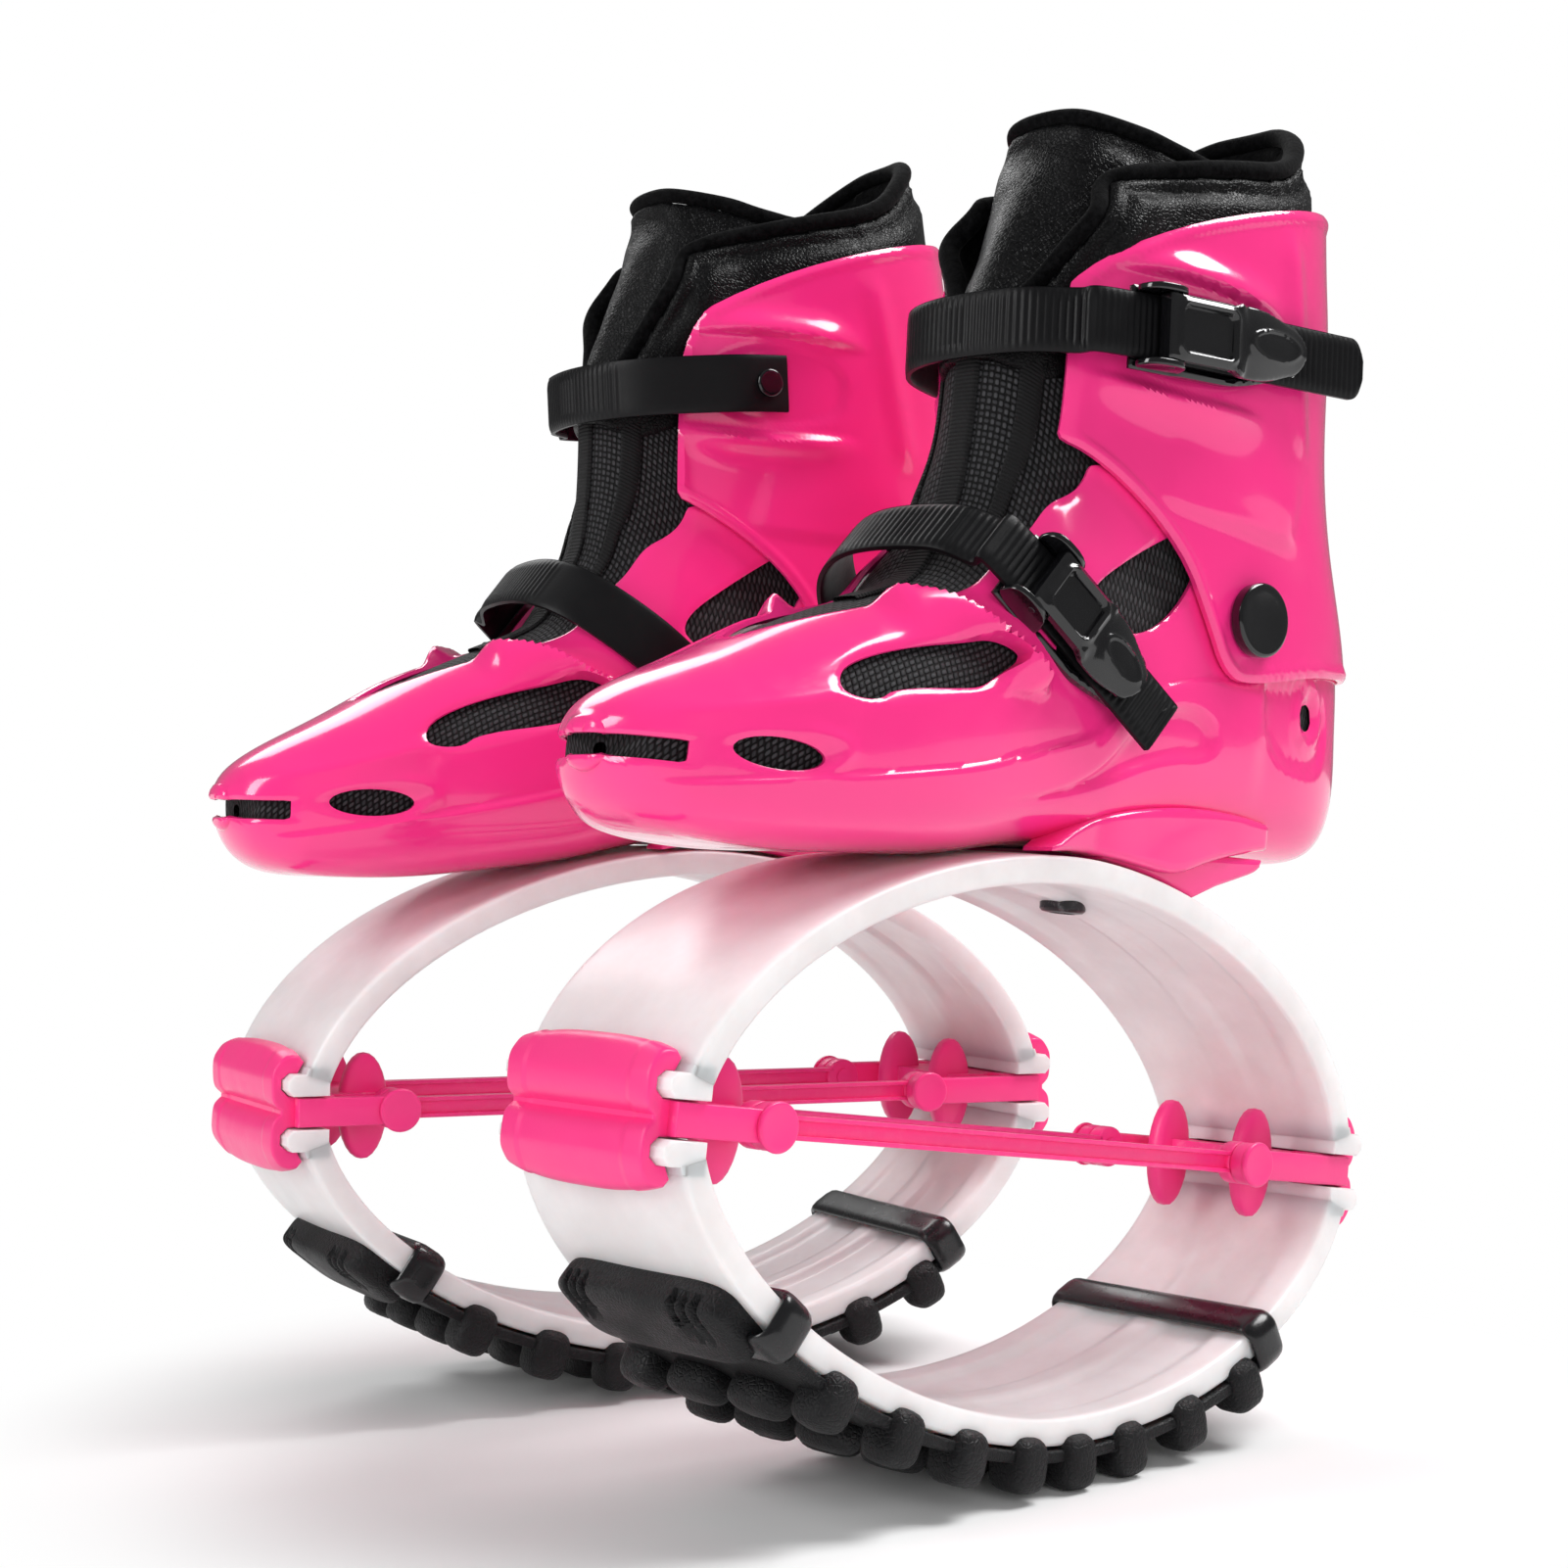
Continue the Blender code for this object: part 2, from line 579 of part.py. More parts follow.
def jaw_outline():
    """The rear bracket's jaws and the root of its web, as seen from the side."""
    end = bow_end()
    outside = hoop_point(end)[0]
    tip = outside + LIP_REACH
    top = LIP_GAP + LIP_THICKNESS
    back = tip + JAW_WALL
    share = (1 - (JAW_HEIGHT * 0.88 / BOW_RISE) ** BOW_ROUNDNESS) ** (1 / BOW_ROUNDNESS)
    bow_side = hoop_point(BOW_HALF_LENGTH * share, -2 * GAP)
    corner = LIP_THICKNESS * 0.3
    web_top = LIP_GAP - GAP
    upper = [
        (tip - WEB_LENGTH / 2, web_top),
        (tip - corner, web_top),
        (tip + GAP, LIP_GAP + corner - GAP / 2),
        (tip + GAP, top - corner + GAP / 2),
        (tip - corner, top + GAP),
        (outside + 2 * GAP, top + GAP),
        bow_side,
        (bow_side[0] + JAW_WALL, JAW_HEIGHT),
        (tip, JAW_HEIGHT * 0.93),
        (back - JAW_WALL * 0.25, JAW_HEIGHT * 0.72),
        (back, JAW_HEIGHT * 0.48),
        (back - JAW_WALL * 0.2, JAW_HEIGHT * 0.22),
        (back - JAW_GROOVE, 0.0),
    ]
    return upper + [(y, -z) for y, z in reversed(upper[:-1])]


def eye_outline(root_y, eye_y, half_height, radius):
    """A bar from root_y that ends in a round eye at eye_y."""
    step = math.asin(half_height / radius)
    towards = math.copysign(1.0, eye_y - root_y)
    count = 8
    angles = [step + (2 * math.pi - 2 * step) * i / count for i in range(count + 1)]
    arc = [(eye_y - towards * radius * math.cos(a), radius * math.sin(a)) for a in angles]
    return [(root_y, half_height)] + arc + [(root_y, -half_height)]


def arm_sides():
    """The x range of the outer arm, and of the band that laps its inner face."""
    outside = BOW_END_WIDTH / 2 - ARM_INSET
    arm_inside = outside - ARM_THICKNESS
    band_outside = arm_inside - GAP
    return outside, arm_inside, band_outside, band_outside - BAND_THICKNESS


def make_bracket(name, boss_y, plastic):
    """Jaws, web, two arms with eyes and two bump pads, moulded in one."""
    end = 1 if boss_y > 0 else -1

    def placed(outline):
        return [(RING_MIDDLE_Y + end * (y - RING_MIDDLE_Y), z) for y, z in outline]

    bracket = prism(name, placed(jaw_outline()), -JAW_HALF_WIDTH, JAW_HALF_WIDTH, plastic)
    tip = hoop_point(bow_end())[0] + LIP_REACH
    web_end = tip - WEB_LENGTH
    root = tip - WEB_LENGTH * 0.45
    half = ARM_HEIGHT / 2
    web = [(web_end, -half), (root, -half), (root, half), (web_end, half)]
    add(bracket, prism("web", placed(web), -WEB_HALF_WIDTH, WEB_HALF_WIDTH))
    outside, inside, _, _ = arm_sides()
    arm = eye_outline(placed([(tip - JAW_WALL, 0.0)])[0][0], boss_y, half, EYE_RADIUS)
    for side in (-1, 1):
        low, high = sorted((side * inside, side * outside))
        add(bracket, prism("arm", arm, low, high))
        add(bracket, pad(placed([(web_end + PAD_FROM_WEB_END, 0.0)])[0][0], side * PAD_OFFSET_X))
    span = BOW_CREST_WIDTH / 2
    cut(bracket, turned("eye", [(-span, RIVET_RADIUS + GAP), (span, RIVET_RADIUS + GAP)],
                        (boss_y, 0.0), 12))
    return settle(bracket)


def pad(y, x):
    """An upright oval bump pad."""
    count = 12
    angles = [2 * math.pi * i / count for i in range(count)]
    outline = [(y + PAD_HALF_LENGTH * math.cos(a), PAD_HALF_HEIGHT * math.sin(a)) for a in angles]
    return prism("pad", outline, x - PAD_THICKNESS / 2, x + PAD_THICKNESS / 2)


def make_band(name, side, plastic):
    """A tension band with an eye at each end, thinned along its middle like an I-beam."""
    _, _, outside, inside = arm_sides()
    low, high = sorted((side * outside, side * inside))
    middle = (FRONT_BOSS_Y + REAR_BOSS_Y) / 2
    front = eye_outline(middle, FRONT_BOSS_Y, BAND_HEIGHT / 2, EYE_RADIUS)
    rear = eye_outline(middle, REAR_BOSS_Y, BAND_HEIGHT / 2, EYE_RADIUS)
    outline = list(reversed(front[1:-1])) + rear[1:-1]
    band = prism(name, outline, low, high, plastic)
    for boss_y in (FRONT_BOSS_Y, REAR_BOSS_Y):
        ends = [(low - OVERRUN, RIVET_RADIUS + GAP), (high + OVERRUN, RIVET_RADIUS + GAP)]
        cut(band, turned("eye", ends, (boss_y, 0.0), 12))
    return settle(band)


def make_band_rivet(name, side, boss_y, plastic):
    """A headed rivet through the arm's eye and the band's."""
    outside, _, _, inside = arm_sides()
    head = outside + GAP
    tail = inside - GAP
    profile = [
        (tail - RIVET_TAIL_HEIGHT, RIVET_TAIL_RADIUS),
        (tail, RIVET_TAIL_RADIUS),
        (tail, RIVET_RADIUS),
        (head, RIVET_RADIUS),
        (head, RIVET_HEAD_RADIUS),
        (head + RIVET_HEAD_HEIGHT, RIVET_HEAD_RADIUS),
    ]
    placed = [(side * x, radius) for x, radius in profile]
    return settle(turned(name, placed, (boss_y, 0.0), 10, plastic))


def hoop_block(name, y, length, low_depth, high_depth, x_low, x_high):
    """A block square to the bow at y, between two depths, with its outer corners taken off."""
    out_y, out_z = hoop_normal(y)
    middle_y, middle_z = hoop_point(y)
    half = length / 2
    nose = high_depth - LUG_ROUNDING
    shape = [
        (-half, low_depth), (-half, nose), (-half + LUG_ROUNDING, high_depth),
        (half - LUG_ROUNDING, high_depth), (half, nose), (half, low_depth),
    ]
    outline = [
        (middle_y + out_y * r + out_z * t, middle_z + out_z * r - out_y * t) for t, r in shape
    ]
    return prism(name, outline, x_low, x_high)


def rest_pitch(row):
    """How far the shoe rocks back when it stands on this lug row and the one in front of it."""
    places = [LUG_ROW_PLACES[row - 1], LUG_ROW_PLACES[row]]
    front, back = [hoop_point(y, -TREAD_DEPTH) for y in places]
    return math.atan2(front[1] - back[1], back[0] - front[0])


def make_outsole(rubber):
    """The strip, its lugs, the toe pocket and the loops, modelled above and then turned over."""
    first, last = FRONT_LOOP_Y, REAR_LOOP_Y
    strip = slab(0.0, -RUBBER_WALL, SOLE_OVERHANG)
    sole = sweep("outsole", strip, first, last, BOW_STEPS, rubber)
    ring = slab(BOW_THICKNESS + LOOP_WALL, -RUBBER_WALL - GAP, LOOP_WALL)
    half = LOOP_LENGTH / 2
    for y in (first, last):
        add(sole, sweep("loop", ring, y - half, y + half, 2))
    pocket = slab(0.0, -POCKET_DEPTH, -POCKET_SIDE_INSET)
    half = POCKET_LENGTH / 2
    add(sole, sweep("pocket", pocket, POCKET_Y - half, POCKET_Y + half, 3))
    for y in LUG_ROW_PLACES:
        add_lug_row(sole, y)
    room = slab(BOW_THICKNESS + GAP, -GAP, GAP)
    cut(sole, sweep("bow_room", room, -bow_end(), bow_end(), BOW_STEPS))
    return turned_over(settle(sole))


def add_lug_row(sole, y):
    """Two side lugs that wrap the bow's edges and two centre lugs between them."""
    wrap = hoop_half_width(y) + SIDE_LUG_WRAP
    for side in (-1, 1):
        low, high = sorted((side * (wrap - SIDE_LUG_LENGTH_IN), side * wrap))
        add(sole, hoop_block("side_lug", y, LUG_LENGTH, -SIDE_LUG_RISE, TREAD_DEPTH, low, high))
        ends = (side * CENTRE_LUG_INSIDE, side * (CENTRE_LUG_INSIDE + CENTRE_LUG_WIDTH))
        low, high = sorted(ends)
        add(sole, hoop_block("centre_lug", y, LUG_LENGTH, GAP, TREAD_DEPTH, low, high))


def throat_outline():
    """The throat seen from above, as (x, y): a point near the toe that widens to the ankle."""
    side = [(x * BOOT_HALF_WIDTH, TOE_Y + y * BOOT_LENGTH) for y, x in THROAT_SHARES]
    return side + [(-x, y) for x, y in reversed(side[1:])]


def column(name, outline, low, high):
    """An outline in plan, as (x, y), carried from one height to another."""
    return loft(name, [[(x, y, z) for x, y in outline] for z in (low, high)])


def through_cut(name, outline):
    reach = BOOT_HALF_WIDTH * 2
    return prism(name, outline, -reach, reach)


def ellipse(centre, half_length, half_height, count=14):
    angles = [2 * math.pi * i / count for i in range(count)]
    return [
        (centre[0] + half_length * math.cos(a), centre[1] + half_height * math.sin(a)) for a in angles
    ]


def toe_slot():
    """The slot that wraps round the tip of the toe."""
    z = SOLE_Z + TOE_SLOT_Z_SHARE * BOOT_HEIGHT
    low, high = z - TOE_SLOT_HEIGHT / 2, z + TOE_SLOT_HEIGHT / 2
    back = TOE_Y + TOE_SLOT_LENGTH
    front = TOE_Y - OVERRUN
    return through_cut("toe_slot", [(front, low), (back, low), (back, high), (front, high)])


def make_lower_shell(plastic):
    """The hard boot: a walled skin with a throat, windows, vents and a toe slot."""
    shell = boot_hull("lower_shell", 0.0, SHELL_STATIONS, RING_POINTS, plastic)
    inside = [station_ring(i, SHELL_WALL) for i in SHELL_STATIONS[1:]]
    last = inside[-1]
    lift = BOOT_HEIGHT / 8
    inside.append([(x, y, z + lift) for x, y, z in last])
    cut(shell, loft("hollow", inside))
    low = SOLE_Z + 0.18 * BOOT_HEIGHT
    cut(shell, column("throat", throat_outline(), low, SOLE_Z + BOOT_HEIGHT))
    cut(shell, through_cut("rim", boot_outline(SHELL_RIM_SHARES)))
    cut(shell, through_cut("rear_window", boot_outline(REAR_WINDOW_SHARES)))
    cut(shell, through_cut("front_window", boot_outline(FRONT_WINDOW_SHARES)))
    vent = ellipse(boot_point(*VENT_CENTRE_SHARES), VENT_HALF_LENGTH, VENT_HALF_HEIGHT)
    cut(shell, through_cut("vent", vent))
    cut(shell, toe_slot())
    hole = ellipse(boot_point(*HEEL_HOLE_SHARES), HEEL_HOLE_RADIUS, HEEL_HOLE_RADIUS, 10)
    cut(shell, through_cut("heel_hole", hole))
    cut(shell, pivot_bore())
    return settle(shell)


def pivot_bore():
    span = BOOT_HALF_WIDTH * 1.6
    radius = PIVOT_PIN_RADIUS + GAP
    return turned("pivot_bore", [(-span, radius), (span, radius)], (PIVOT_Y, PIVOT_Z), 14)


def make_cuff(plastic):
    """The hinged cuff: a walled skin outside the shell, open at the front."""
    outside = -(CUFF_GAP + CUFF_WALL)
    cuff = boot_hull("cuff", outside, CUFF_STATIONS, RING_POINTS, plastic)
    cut(cuff, boot_hull("hollow", -CUFF_GAP, range(9, 21)))
    keep(cuff, through_cut("edge", boot_outline(CUFF_EDGE_SHARES)))
    wide = CUFF_FRONT_HALF_WIDTH
    front = [(-wide, -2 * CUFF_FRONT_DEPTH), (wide, -2 * CUFF_FRONT_DEPTH), (wide, 0.0), (-wide, 0.0)]
    cut(cuff, column("front", front, PIVOT_Z, SOLE_Z + 1.2 * BOOT_HEIGHT))
    inner = prism("inner_front", boot_outline(INNER_CUFF_FRONT_SHARES), -2 * BOOT_HALF_WIDTH, 0.0)
    cut(cuff, inner)
    cut(cuff, pivot_bore())
    return settle(cuff)


def make_pivot_pin(name, side, plastic):
    """The round cap and stub that hinge the cuff to the shell, one each side."""
    depth = BOOT_HALF_WIDTH * 0.92 - SHELL_WALL + GAP
    top = BOOT_HALF_WIDTH * 0.92 + CUFF_GAP + CUFF_WALL + PIVOT_CAP_HEIGHT
    profile = [
        (depth, PIVOT_PIN_RADIUS),
        (top - PIVOT_CAP_HEIGHT * 1.4, PIVOT_PIN_RADIUS),
        (top - PIVOT_CAP_HEIGHT * 1.4, PIVOT_CAP_RADIUS),
        (top - PIVOT_CAP_HEIGHT * 0.25, PIVOT_CAP_RADIUS),
        (top, PIVOT_CAP_RADIUS * 0.9),
    ]
    placed = [(side * x, radius) for x, radius in profile]
    return settle(turned(name, placed, (PIVOT_Y, PIVOT_Z), 16, plastic))


def fan(angles, apex_shift):
    """The side plane above two rays from near the ankle pivot, as an outline."""
    far = BOOT_LENGTH
    front, back = angles
    apex = (PIVOT_Y, PIVOT_Z + apex_shift)
    rays = [(apex[0] + far * math.cos(a), apex[1] + far * math.sin(a)) for a in (front, back)]
    return [apex, rays[1], (rays[1][0], apex[1] + far), (rays[0][0], apex[1] + far), rays[0]]


def liner_tube(name, cloth, gap, count=RING_POINTS):
    inset = SHELL_WALL + gap
    liner = boot_hull(name, inset, LINER_STATIONS, count, cloth)
    inside = [station_ring(i, inset + LINER_WALL, count) for i in LINER_STATIONS[1:]]
    inside.append([(x, y, z + OVERRUN) for x, y, z in inside[-1]])
    cut(liner, loft("foot_room", inside))
    return liner


def tongue_gate(extra):
    """The front strip that the tongue fills, as a cutter from the instep up."""
    wide = TONGUE_HALF_WIDTH + extra
    back = TOE_Y + 0.60 * BOOT_LENGTH
    front = TOE_Y
    outline = [(-wide, front), (wide, front), (wide, back), (-wide, back)]
    return column("gate", outline, SOLE_Z + 0.40 * BOOT_HEIGHT, SOLE_Z + 1.2 * BOOT_HEIGHT)


def make_liner_foot(cloth):
    """The sock inside the shell, up to the ankle."""
    liner = liner_tube("liner_foot", cloth, LINER_GAP)
    angles = (LINER_FRONT_ANGLE, LINER_BACK_ANGLE)
    cut(liner, through_cut("ankle", fan(angles, -LINER_SPLIT_GAP)))
    return settle(liner)


def shaft_fan():
    """The rays above which the liner turns with the cuff, clear of the foot at both limits."""
    front = LINER_FRONT_ANGLE - CUFF_FORWARD - FOLD_MARGIN
    back = LINER_BACK_ANGLE + CUFF_BACK + FOLD_MARGIN
    return fan((front, back), LINER_SPLIT_GAP)


def make_liner_shaft(cloth):
    """The padded collar round the leg, open down its front for the tongue."""
    liner = liner_tube("liner_shaft", cloth, COLLAR_GAP)
    keep(liner, through_cut("ankle", shaft_fan()))
    cut(liner, tongue_gate(GAP))
    cut(liner, through_cut("collar_top", boot_outline(COLLAR_TOP_SHARES)))
    return settle(liner)


def make_tongue(cloth):
    """The front strip of the same skin, a little higher than the collar."""
    inset = SHELL_WALL + COLLAR_GAP
    rings = [station_ring(i, inset) for i in TONGUE_STATIONS]
    rings.append([(x, y, z + TONGUE_RISE) for x, y, z in rings[-1]])
    tongue = loft("tongue", rings, cloth)
    inside = [station_ring(i, inset + LINER_WALL) for i in TONGUE_STATIONS]
    lift = TONGUE_RISE + OVERRUN
    inside.append([(x, y, z + lift) for x, y, z in inside[-1]])
    cut(tongue, loft("foot_room", inside))
    keep(tongue, tongue_gate(0.0))
    keep(tongue, through_cut("ankle", shaft_fan()))
    keep(tongue, through_cut("front", boot_outline(TONGUE_KEEP_SHARES)))
    return settle(tongue)


def strap_rings(path, width_way, width):
    """Rectangular rings along a path, thick along the path's own normal."""
    rings = []
    count = len(path)
    for i, point in enumerate(path):
        ahead = path[min(i + 1, count - 1)] - path[max(i - 1, 0)]
        out = ahead.cross(width_way).normalized()
        across = width_way * (width / 2)
        thick = out * (STRAP_THICKNESS / 2)
        rings.append([
            tuple(point - across - thick), tuple(point + across - thick),
            tuple(point + across + thick), tuple(point - across + thick),
        ])
    return rings


def cuff_strap_point(x, y):
    return Vector((x, y, CUFF_STRAP_Z + CUFF_STRAP_SLOPE * y))


def cuff_strap_across():
    return Vector((0.0, -CUFF_STRAP_SLOPE, 1.0)).normalized()


def make_cuff_strap(plastic):
    """The ladder strap: inner root, round the front, through the buckle to its tail."""
    path = [cuff_strap_point(x, y) for x, y in CUFF_STRAP_PLAN]
    rings = strap_rings(path, cuff_strap_across(), CUFF_STRAP_WIDTH)
    strap = loft("cuff_strap", rings, plastic)
    cut(strap, rivet_bore(cuff_strap_point(0.0, CUFF_STRAP_RIVET_Y)))
    return settle(strap)


def rivet_bore(point):
    span = BOOT_HALF_WIDTH * 2
    radius = RIVET_RADIUS + GAP
    return turned("bore", [(-span, radius), (0.0, radius)], (point.y, point.z), 12)


def instep_point(x, drop):
    down = Vector((0.0, math.cos(INSTEP_SLOPE), -math.sin(INSTEP_SLOPE)))
    return Vector((x, INSTEP_TOP_Y, INSTEP_TOP_Z)) + down * drop


def instep_across():
    return Vector((0.0, math.sin(INSTEP_SLOPE), math.cos(INSTEP_SLOPE)))


def make_instep_strap(plastic):
    """The ladder strap over the instep, in a plane that leans towards the toe."""
    path = [instep_point(x, drop) for x, drop in INSTEP_STRAP_PLAN]
    strap = loft("instep_strap", strap_rings(path, instep_across(), INSTEP_STRAP_WIDTH), plastic)
    cut(strap, rivet_bore(instep_point(0.0, INSTEP_STRAP_RIVET_DROP)))
    return settle(strap)


def strap_rivet(name, point, skin_x, plastic):
    """A headed rivet through a strap's root, at point, into the skin that carries it."""
    outer = point.x - STRAP_THICKNESS / 2 - GAP
    profile = [
        (-skin_x, RIVET_RADIUS),
        (outer, RIVET_RADIUS),
        (outer, RIVET_TAIL_RADIUS),
        (outer - RIVET_TAIL_HEIGHT, RIVET_TAIL_RADIUS * 0.8),
    ]
    return turned(name, profile, (point.y, point.z), 12, plastic)


def make_cuff_strap_rivet(plastic):
    """Its inner end is cut to sit on the cuff."""
    point = cuff_strap_point(CUFF_STRAP_PLAN[0][0], CUFF_STRAP_RIVET_Y)
    rivet = strap_rivet("cuff_strap_rivet", point, BOOT_HALF_WIDTH * 0.9, plastic)
    cut(rivet, boot_hull("seat", -(CUFF_GAP + CUFF_WALL + SEAT_GAP), range(9, 21)))
    return settle(rivet)


def make_instep_strap_rivet(plastic):
    """Its inner end is cut to sit on the shell."""
    point = instep_point(INSTEP_STRAP_PLAN[0][0], INSTEP_STRAP_RIVET_DROP)
    rivet = strap_rivet("instep_strap_rivet", point, BOOT_HALF_WIDTH * 0.8, plastic)
    cut(rivet, boot_hull("seat", -SEAT_GAP, range(1, 17)))
    return settle(rivet)


def buckle_frame(start, end, across, inset):
    """The matrix from a buckle's own axes (along the strap, across it, outwards) to the shoe.

    Start and end are the ends of the strap's straight run, and inset is how far along it begins.
    """
    along = (end - start).normalized()
    out = along.cross(across).normalized()
    origin = start + along * inset - out * (STRAP_THICKNESS / 2 + GAP)
    rows = Matrix((along, across, out)).transposed().to_4x4()
    return Matrix.Translation(origin) @ rows


def cuff_buckle_frame():
    start, end = [cuff_strap_point(*CUFF_STRAP_PLAN[i]) for i in (-3, -2)]
    return buckle_frame(start, end, cuff_strap_across(), CUFF_BUCKLE_FROM)


def instep_buckle_frame():
    start, end = [instep_point(*INSTEP_STRAP_PLAN[i]) for i in (-3, -2)]
    return buckle_frame(start, end, instep_across(), INSTEP_BUCKLE_FROM)


def block(name, low, high, frame, made_of=None):
    """A box between two corners in a buckle's own axes."""
    rings = [
        [(x, low[1], low[2]), (x, high[1], low[2]), (x, high[1], high[2]), (x, low[1], high[2])]
        for x in (low[0], high[0])
    ]
    box = loft(name, rings, made_of)
    box.data.transform(frame)
    return box


def pin_place():
    """The hinge pin's place in a buckle's own axes."""
    return BUCKLE_PIN_FROM_END, STRAP_THICKNESS + 2 * GAP + BUCKLE_PIN_RISE - BUCKLE_FLOOR


def make_buckle_base(name, frame, length, seat, plastic):
    """A tapered floor under the strap, with two cheeks that hold the lever's pin."""
    half_width = BUCKLE_WIDTH / 2
    shoulder, tail = length * 0.66, half_width * 0.55
    outline = [
        (0.0, -half_width), (shoulder, -half_width), (length, -tail),
        (length, tail), (shoulder, half_width), (0.0, half_width),
    ]
    rings = [[(a, b, c) for a, b in outline] for c in (-BUCKLE_SEAT, 0.0)]
    base = loft(name, rings, plastic)
    base.data.transform(frame)
    outside = half_width - GAP
    for side in (-1, 1):
        low, high = sorted((side * (outside - BUCKLE_CHEEK), side * outside))
        add(base, block("cheek", (GAP, low, -BUCKLE_FLOOR),
                        (BUCKLE_CHEEK_LENGTH, high, BUCKLE_CHEEK_HEIGHT), frame))
    cut(base, buckle_pin("bore", frame, BUCKLE_PIN_RADIUS + GAP, BUCKLE_WIDTH + OVERRUN))
    cut(base, seat)
    return settle(base)


def buckle_pin(name, frame, radius, length, made_of=None):
    pin_along, pin_rise = pin_place()
    pin = turned(name, [(-length / 2, radius), (length / 2, radius)], (0.0, 0.0), 10, made_of)
    turn = Matrix.Rotation(math.radians(90.0), 4, "Z")
    pin.data.transform(frame @ Matrix.Translation((pin_along, 0.0, pin_rise)) @ turn)
    return pin


def make_lever(name, frame, plastic):
    """The ratchet lever: a round nose on the pin and a handle that lies over the strap."""
    pin_along, pin_rise = pin_place()
    half_width = BUCKLE_WIDTH / 2 - BUCKLE_CHEEK - 2 * GAP
    nose = LEVER_NOSE_RADIUS
    top = pin_rise + nose
    low = top - LEVER_THICKNESS
    count = 6
    arc = [
        (pin_along - nose * math.sin(math.pi * i / count), pin_rise + nose * math.cos(math.pi * i / count))
        for i in range(count + 1)
    ]
    end = pin_along + LEVER_LENGTH
    outline = arc + [
        (pin_along + nose, low), (end - LEVER_THICKNESS, low),
        (end, top - LEVER_THICKNESS * 0.4), (end - LEVER_THICKNESS * 0.4, top + LEVER_THICKNESS * 0.3),
    ]
    rings = [[(a, b, c) for a, c in outline] for b in (-half_width, half_width)]
    lever = loft(name, rings, plastic)
    lever.data.transform(frame)
    cut(lever, buckle_pin("bore", frame, BUCKLE_PIN_RADIUS + GAP, BUCKLE_WIDTH + OVERRUN))
    return settle(lever)


def make_buckle(name, frame, length, seat, plastic, steel):
    """A buckle's base, lever and hinge pin."""
    base = make_buckle_base(name + "_base", frame, length, seat, plastic)
    lever = make_lever(name + "_lever", frame, plastic)
    pin = settle(buckle_pin(name + "_pin", frame, BUCKLE_PIN_RADIUS, BUCKLE_WIDTH - GAP, steel))
    return base, lever, pin


def make_pieces():
    """Every piece of one shoe, grouped by the body that it moves with."""
    pink = material("gloss_pink_shell", PINK, 0.18)
    soft_pink = material("moulded_pink_bracket", SOFT_PINK, 0.42)
    nylon = material("natural_nylon", NYLON, 0.38)
    rubber = material("black_rubber", RUBBER, 0.75)
    plastic = material("black_plastic", BLACK_PLASTIC, 0.22)
    ladder = material("black_ladder_strap", BLACK_PLASTIC, 0.5)
    cloth = material("black_lining", BLACK_CLOTH, 0.8)
    steel = material("dark_steel", STEEL, 0.35, 0.9)

    cuff_seat = boot_hull("cuff_seat", -(CUFF_GAP + CUFF_WALL + SEAT_GAP), range(9, 21))
    shell_seat = boot_hull("shell_seat", -SEAT_GAP, range(1, 17))
    cuff_buckle = make_buckle("cuff_buckle", cuff_buckle_frame(), CUFF_BUCKLE_LENGTH,
                              cuff_seat, plastic, steel)
    instep_buckle = make_buckle("instep_buckle", instep_buckle_frame(), INSTEP_BUCKLE_LENGTH,
                                shell_seat, plastic, steel)
    rivets = [
        make_band_rivet(f"band_rivet_{end}_{where}", side, y, soft_pink)
        for end, y in (("front", FRONT_BOSS_Y), ("rear", REAR_BOSS_Y))
        for where, side in (("outer", 1), ("inner", -1))
    ]
    return {
        "sole": [make_lower_bow(nylon), make_outsole(rubber)],
        "hooks": [
            make_bracket("front_bracket", FRONT_BOSS_Y, soft_pink),
            make_bracket("rear_bracket", REAR_BOSS_Y, soft_pink),
            make_band("tension_band_outer", 1, soft_pink),
            make_band("tension_band_inner", -1, soft_pink),
            *rivets,
        ],
        "boot": [
            make_upper_bow(nylon), make_saddle(pink), make_saddle_bolt(steel),
            make_lower_shell(pink), make_liner_foot(cloth),
            make_pivot_pin("pivot_pin_outer", 1, plastic),
            make_pivot_pin("pivot_pin_inner", -1, plastic),
            make_instep_strap(ladder), make_instep_strap_rivet(plastic),
            instep_buckle[0], instep_buckle[2],
        ],
        "cuff": [
            make_cuff(pink), make_liner_shaft(cloth), make_tongue(cloth),
            make_cuff_strap(ladder), make_cuff_strap_rivet(plastic),
            cuff_buckle[0], cuff_buckle[2],
        ],
        "cuff_lever": [cuff_buckle[1]],
        "instep_lever": [instep_buckle[1]],
    }


def pin_point(frame):
    pin_along, pin_rise = pin_place()
    return frame @ Vector((pin_along, 0.0, pin_rise))


def body_places():
    """Each body's parent body and the point of the shoe's frame that it turns or slides about."""
    middle = Vector((0.0, RING_MIDDLE_Y, 0.0))
    return {
        "sole": (None, middle),
        "hooks": ("sole", middle),
        "boot": ("hooks", middle),
        "cuff": ("boot", Vector((0.0, PIVOT_Y, PIVOT_Z))),
        "cuff_lever": ("cuff", pin_point(cuff_buckle_frame())),
        "instep_lever": ("boot", pin_point(instep_buckle_frame())),
    }


def empty(name, matrix, parent=None):
    made = bpy.data.objects.new(name, None)
    bpy.context.scene.collection.objects.link(made)
    made.parent = parent
    made.matrix_local = matrix
    return made


